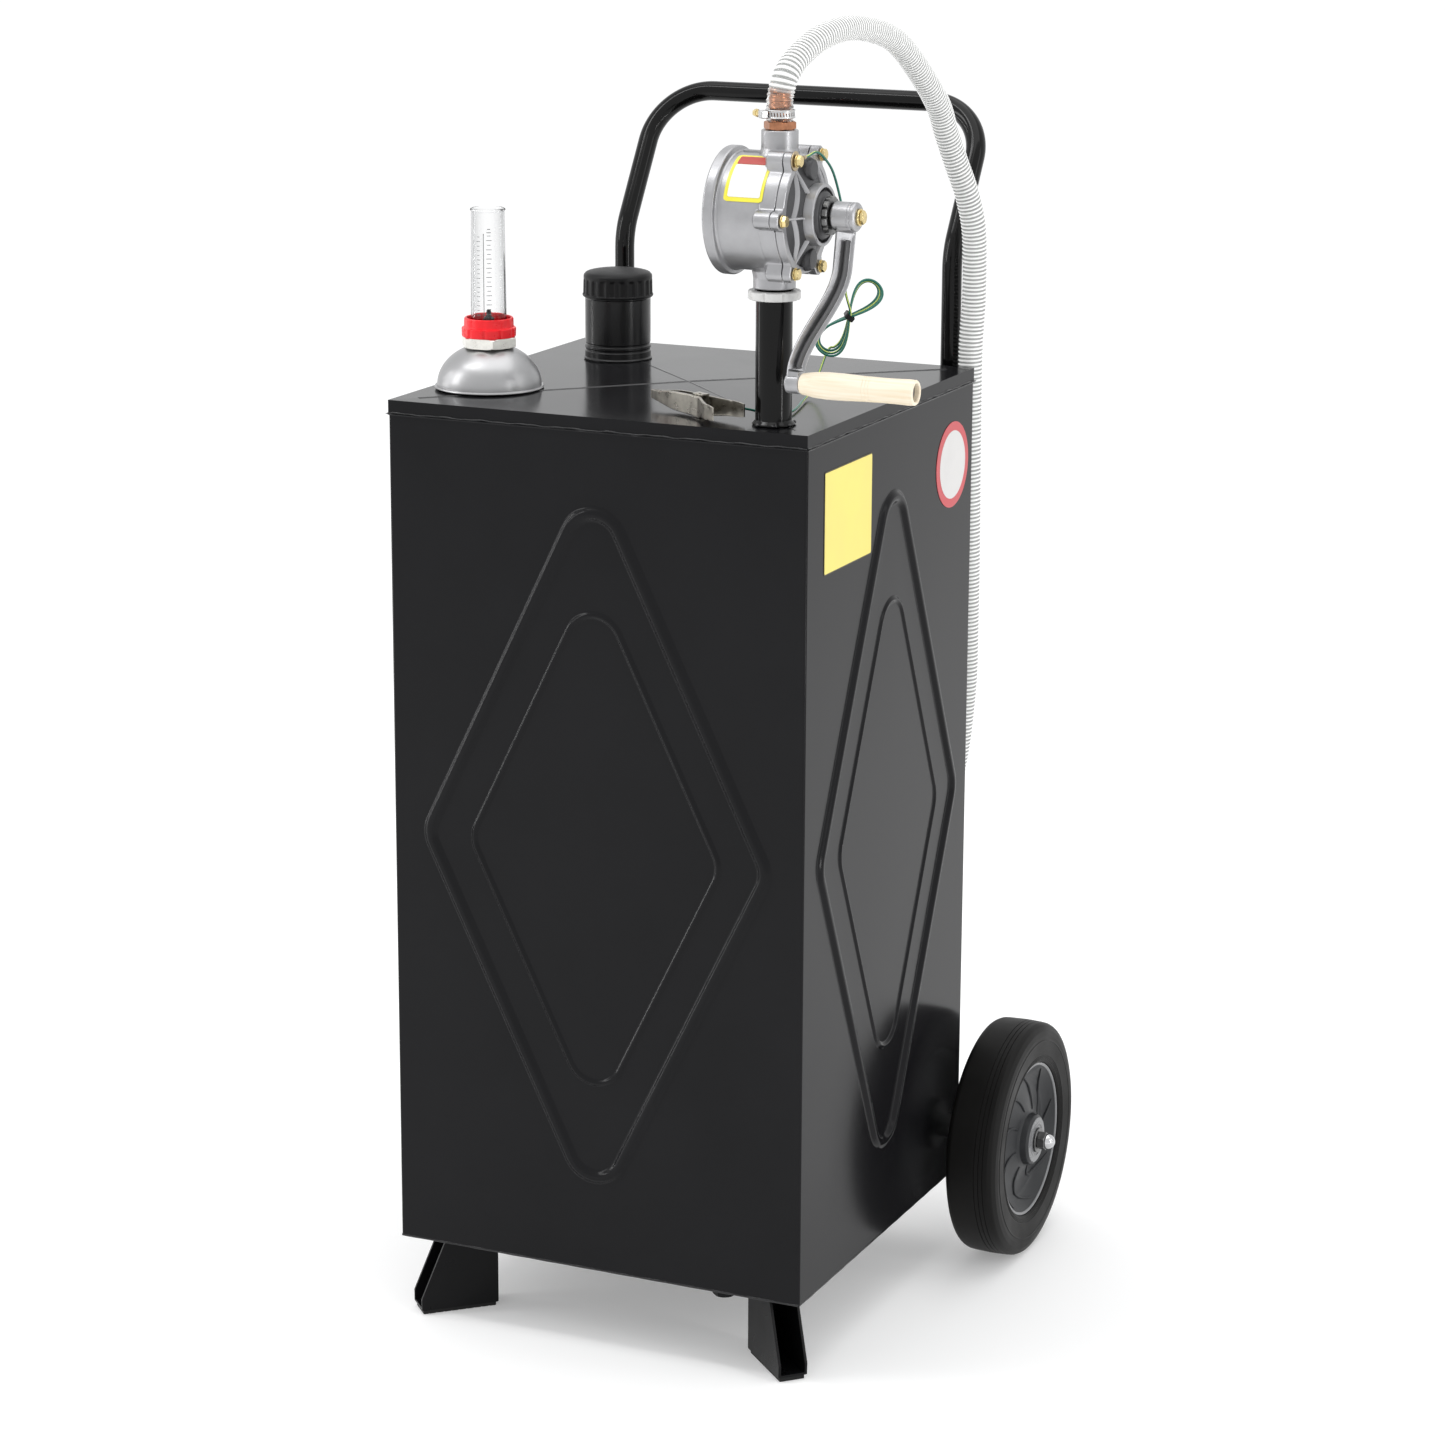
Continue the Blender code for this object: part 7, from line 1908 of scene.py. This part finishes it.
def make_jaw(side):
    """One half of the clip: a strip with folded edges, open towards the other half."""
    stations = []
    sheet = 0.0010
    for x, out, height in smooth_path(JAW_PATH, 0.0014):
        half = height / 2
        lip = 0.0026 if -0.030 < x < 0.060 else 0.0012
        lip = out - min(lip, max(0.0008, out - 0.0010))
        upper = [(out, half, 0.0010), (lip, half, 0.0001)]
        upper += [(lip, half - sheet, 0.0001), (out - sheet, half - sheet, 0.0003)]
        lower = [(y, -z, radius) for y, z, radius in reversed(upper)]
        section = softened(lower[-1:] + upper + lower[:-1], True, 3)
        stations.append([(x, side * y, z) for y, z in section])
    return lofted(stations)


def make_clip():
    ride = {"place": clip_frame, "smooth": 35}
    ear = [(-0.0065, -0.0030, 0.003), (0.0065, -0.0030, 0.003), (0.0075, 0.0064), (-0.0075, 0.0064)]
    ear = softened(ear, True, 6)
    ears = [prism(ear, low, low + 0.0014, 0.0003) for low in (0.0090, -0.0104)]
    pin = [(0, 0.0112), (0.0022, 0.0110, 0.0004), (0.0026, 0.0104), (0.0016, 0.0104)]
    bm = joined(make_jaw(1), *ears, lathe(pin + mirrored(pin), 28))
    piece("clip_half_fixed", bm, nickel, "clip_jaw_fixed", **ride)
    ear = [(-0.0028, -0.0060), (0.0028, -0.0060), (0.0028, 0.0028), (-0.0028, 0.0028)]
    ears = [prism(ear, low, low + 0.0012, 0.0002) for low in (0.0074, -0.0088)]
    bm = joined(make_jaw(-1), *ears)
    piece("clip_half_moving", bm, nickel, "clip_jaw_moving", body="clip_jaw", **ride)


def make_spring():
    coil = []
    for index in range(109):
        height = 0.0048 * (index / 108 - 0.5)
        coil.append(Vector(polar(0.0043, 2 * math.pi * index / 36, height)))
    bm = swept(coil, 0.0005, 12)
    piece("spring_coiled", bm, steel, "clip_spring", place=clip_frame, smooth=60)


make_terminal()
make_clip()
make_spring()

# Bare plates


def side_plate(name, outline, low, high, finish):
    """A flat plate on the tank's right side."""
    place = upright(tank_width / 2 + 0.0001, 0, 0) @ XYZ_FROM_ZXY
    piece(name, prism(outline, low, high, 0.0001, 1), finish, place=place, smooth=40)


def rectangle(left, right, low, high, corner):
    points = [(left, low), (right, low), (right, high), (left, high)]
    return softened([(*point, corner) for point in points], True, 6)


def pump_plate(name, start, stop, radius, corner, finish, low_x=-0.0236, high_x=0.0068):
    """A plate wrapped round the pump's body, between two angles from its top."""
    across = 14
    along = 40
    width = high_x - low_x
    bm = bmesh.new()
    for reach in (radius, radius + 0.0003):
        rows = []
        for i in range(along + 1):
            angle = start + (stop - start) * i / along
            from_end = min(i / along, 1 - i / along) * abs(stop - start) * radius
            inset = corner - math.sqrt(max(0, corner**2 - max(0, corner - from_end) ** 2))
            xs = [low_x + inset + (width - 2 * inset) * j / across for j in range(across + 1)]
            z, y = polar(reach, angle)
            rows.append([bm.verts.new((x, -y, z)) for x in xs])
        for first, second in neighbours(rows):
            for j in range(across):
                bm.faces.new((first[j], first[j + 1], second[j + 1], second[j]))
    place = upright(pump_x, pump_y, pump_z)
    piece(name, bm, finish, place=place, smooth=60, weighted=False)


def make_plates():
    """Two bare plates on the right side and one with a band on the pump."""
    outline = rectangle(-0.1622, -0.0528, 0.7573, 0.8507, 0.0022)
    side_plate("side_plate_edge", outline, 0.0, 0.0003, plate_edge)
    outline = rectangle(-0.1610, -0.0540, 0.7585, 0.8495, 0.0016)
    side_plate("side_plate", outline, 0.0001, 0.0005, side_plate_yellow)
    middle = (0.1466, 0.8050)
    side_plate("round_plate_rim", circle(0.0410, 96, middle), 0.0, 0.0004, round_plate_red)
    side_plate("round_plate", circle(0.0325, 96, middle), 0.0002, 0.0006, round_plate_pale)
    start = math.radians(17)
    stop = math.radians(74.4)
    pump_plate("pump_plate_edge", start, stop, 0.0516, 0.0030, pump_plate_yellow, -0.0270, 0.0095)
    pump_plate("pump_plate", start + 0.29, stop - 0.075, 0.0519, 0.0014, pump_plate_white)
    pump_plate("pump_plate_band", start + 0.06, start + 0.28, 0.0519, 0.0014, pump_plate_red)


make_plates()

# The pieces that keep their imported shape: only their finish is made finer

KEPT_NODES = {
    "gauge_stem": zinc,
    "float_arm": zinc,
    "gauge_float": cap_black,
    "suction_tube": white_plastic,
    "pump_rotor": steel,
    "vane_1": cap_black,
    "vane_2": cap_black,
}
for node, finish in KEPT_NODES.items():
    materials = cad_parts[node].data.materials
    for index in range(len(materials)):
        materials[index] = finish
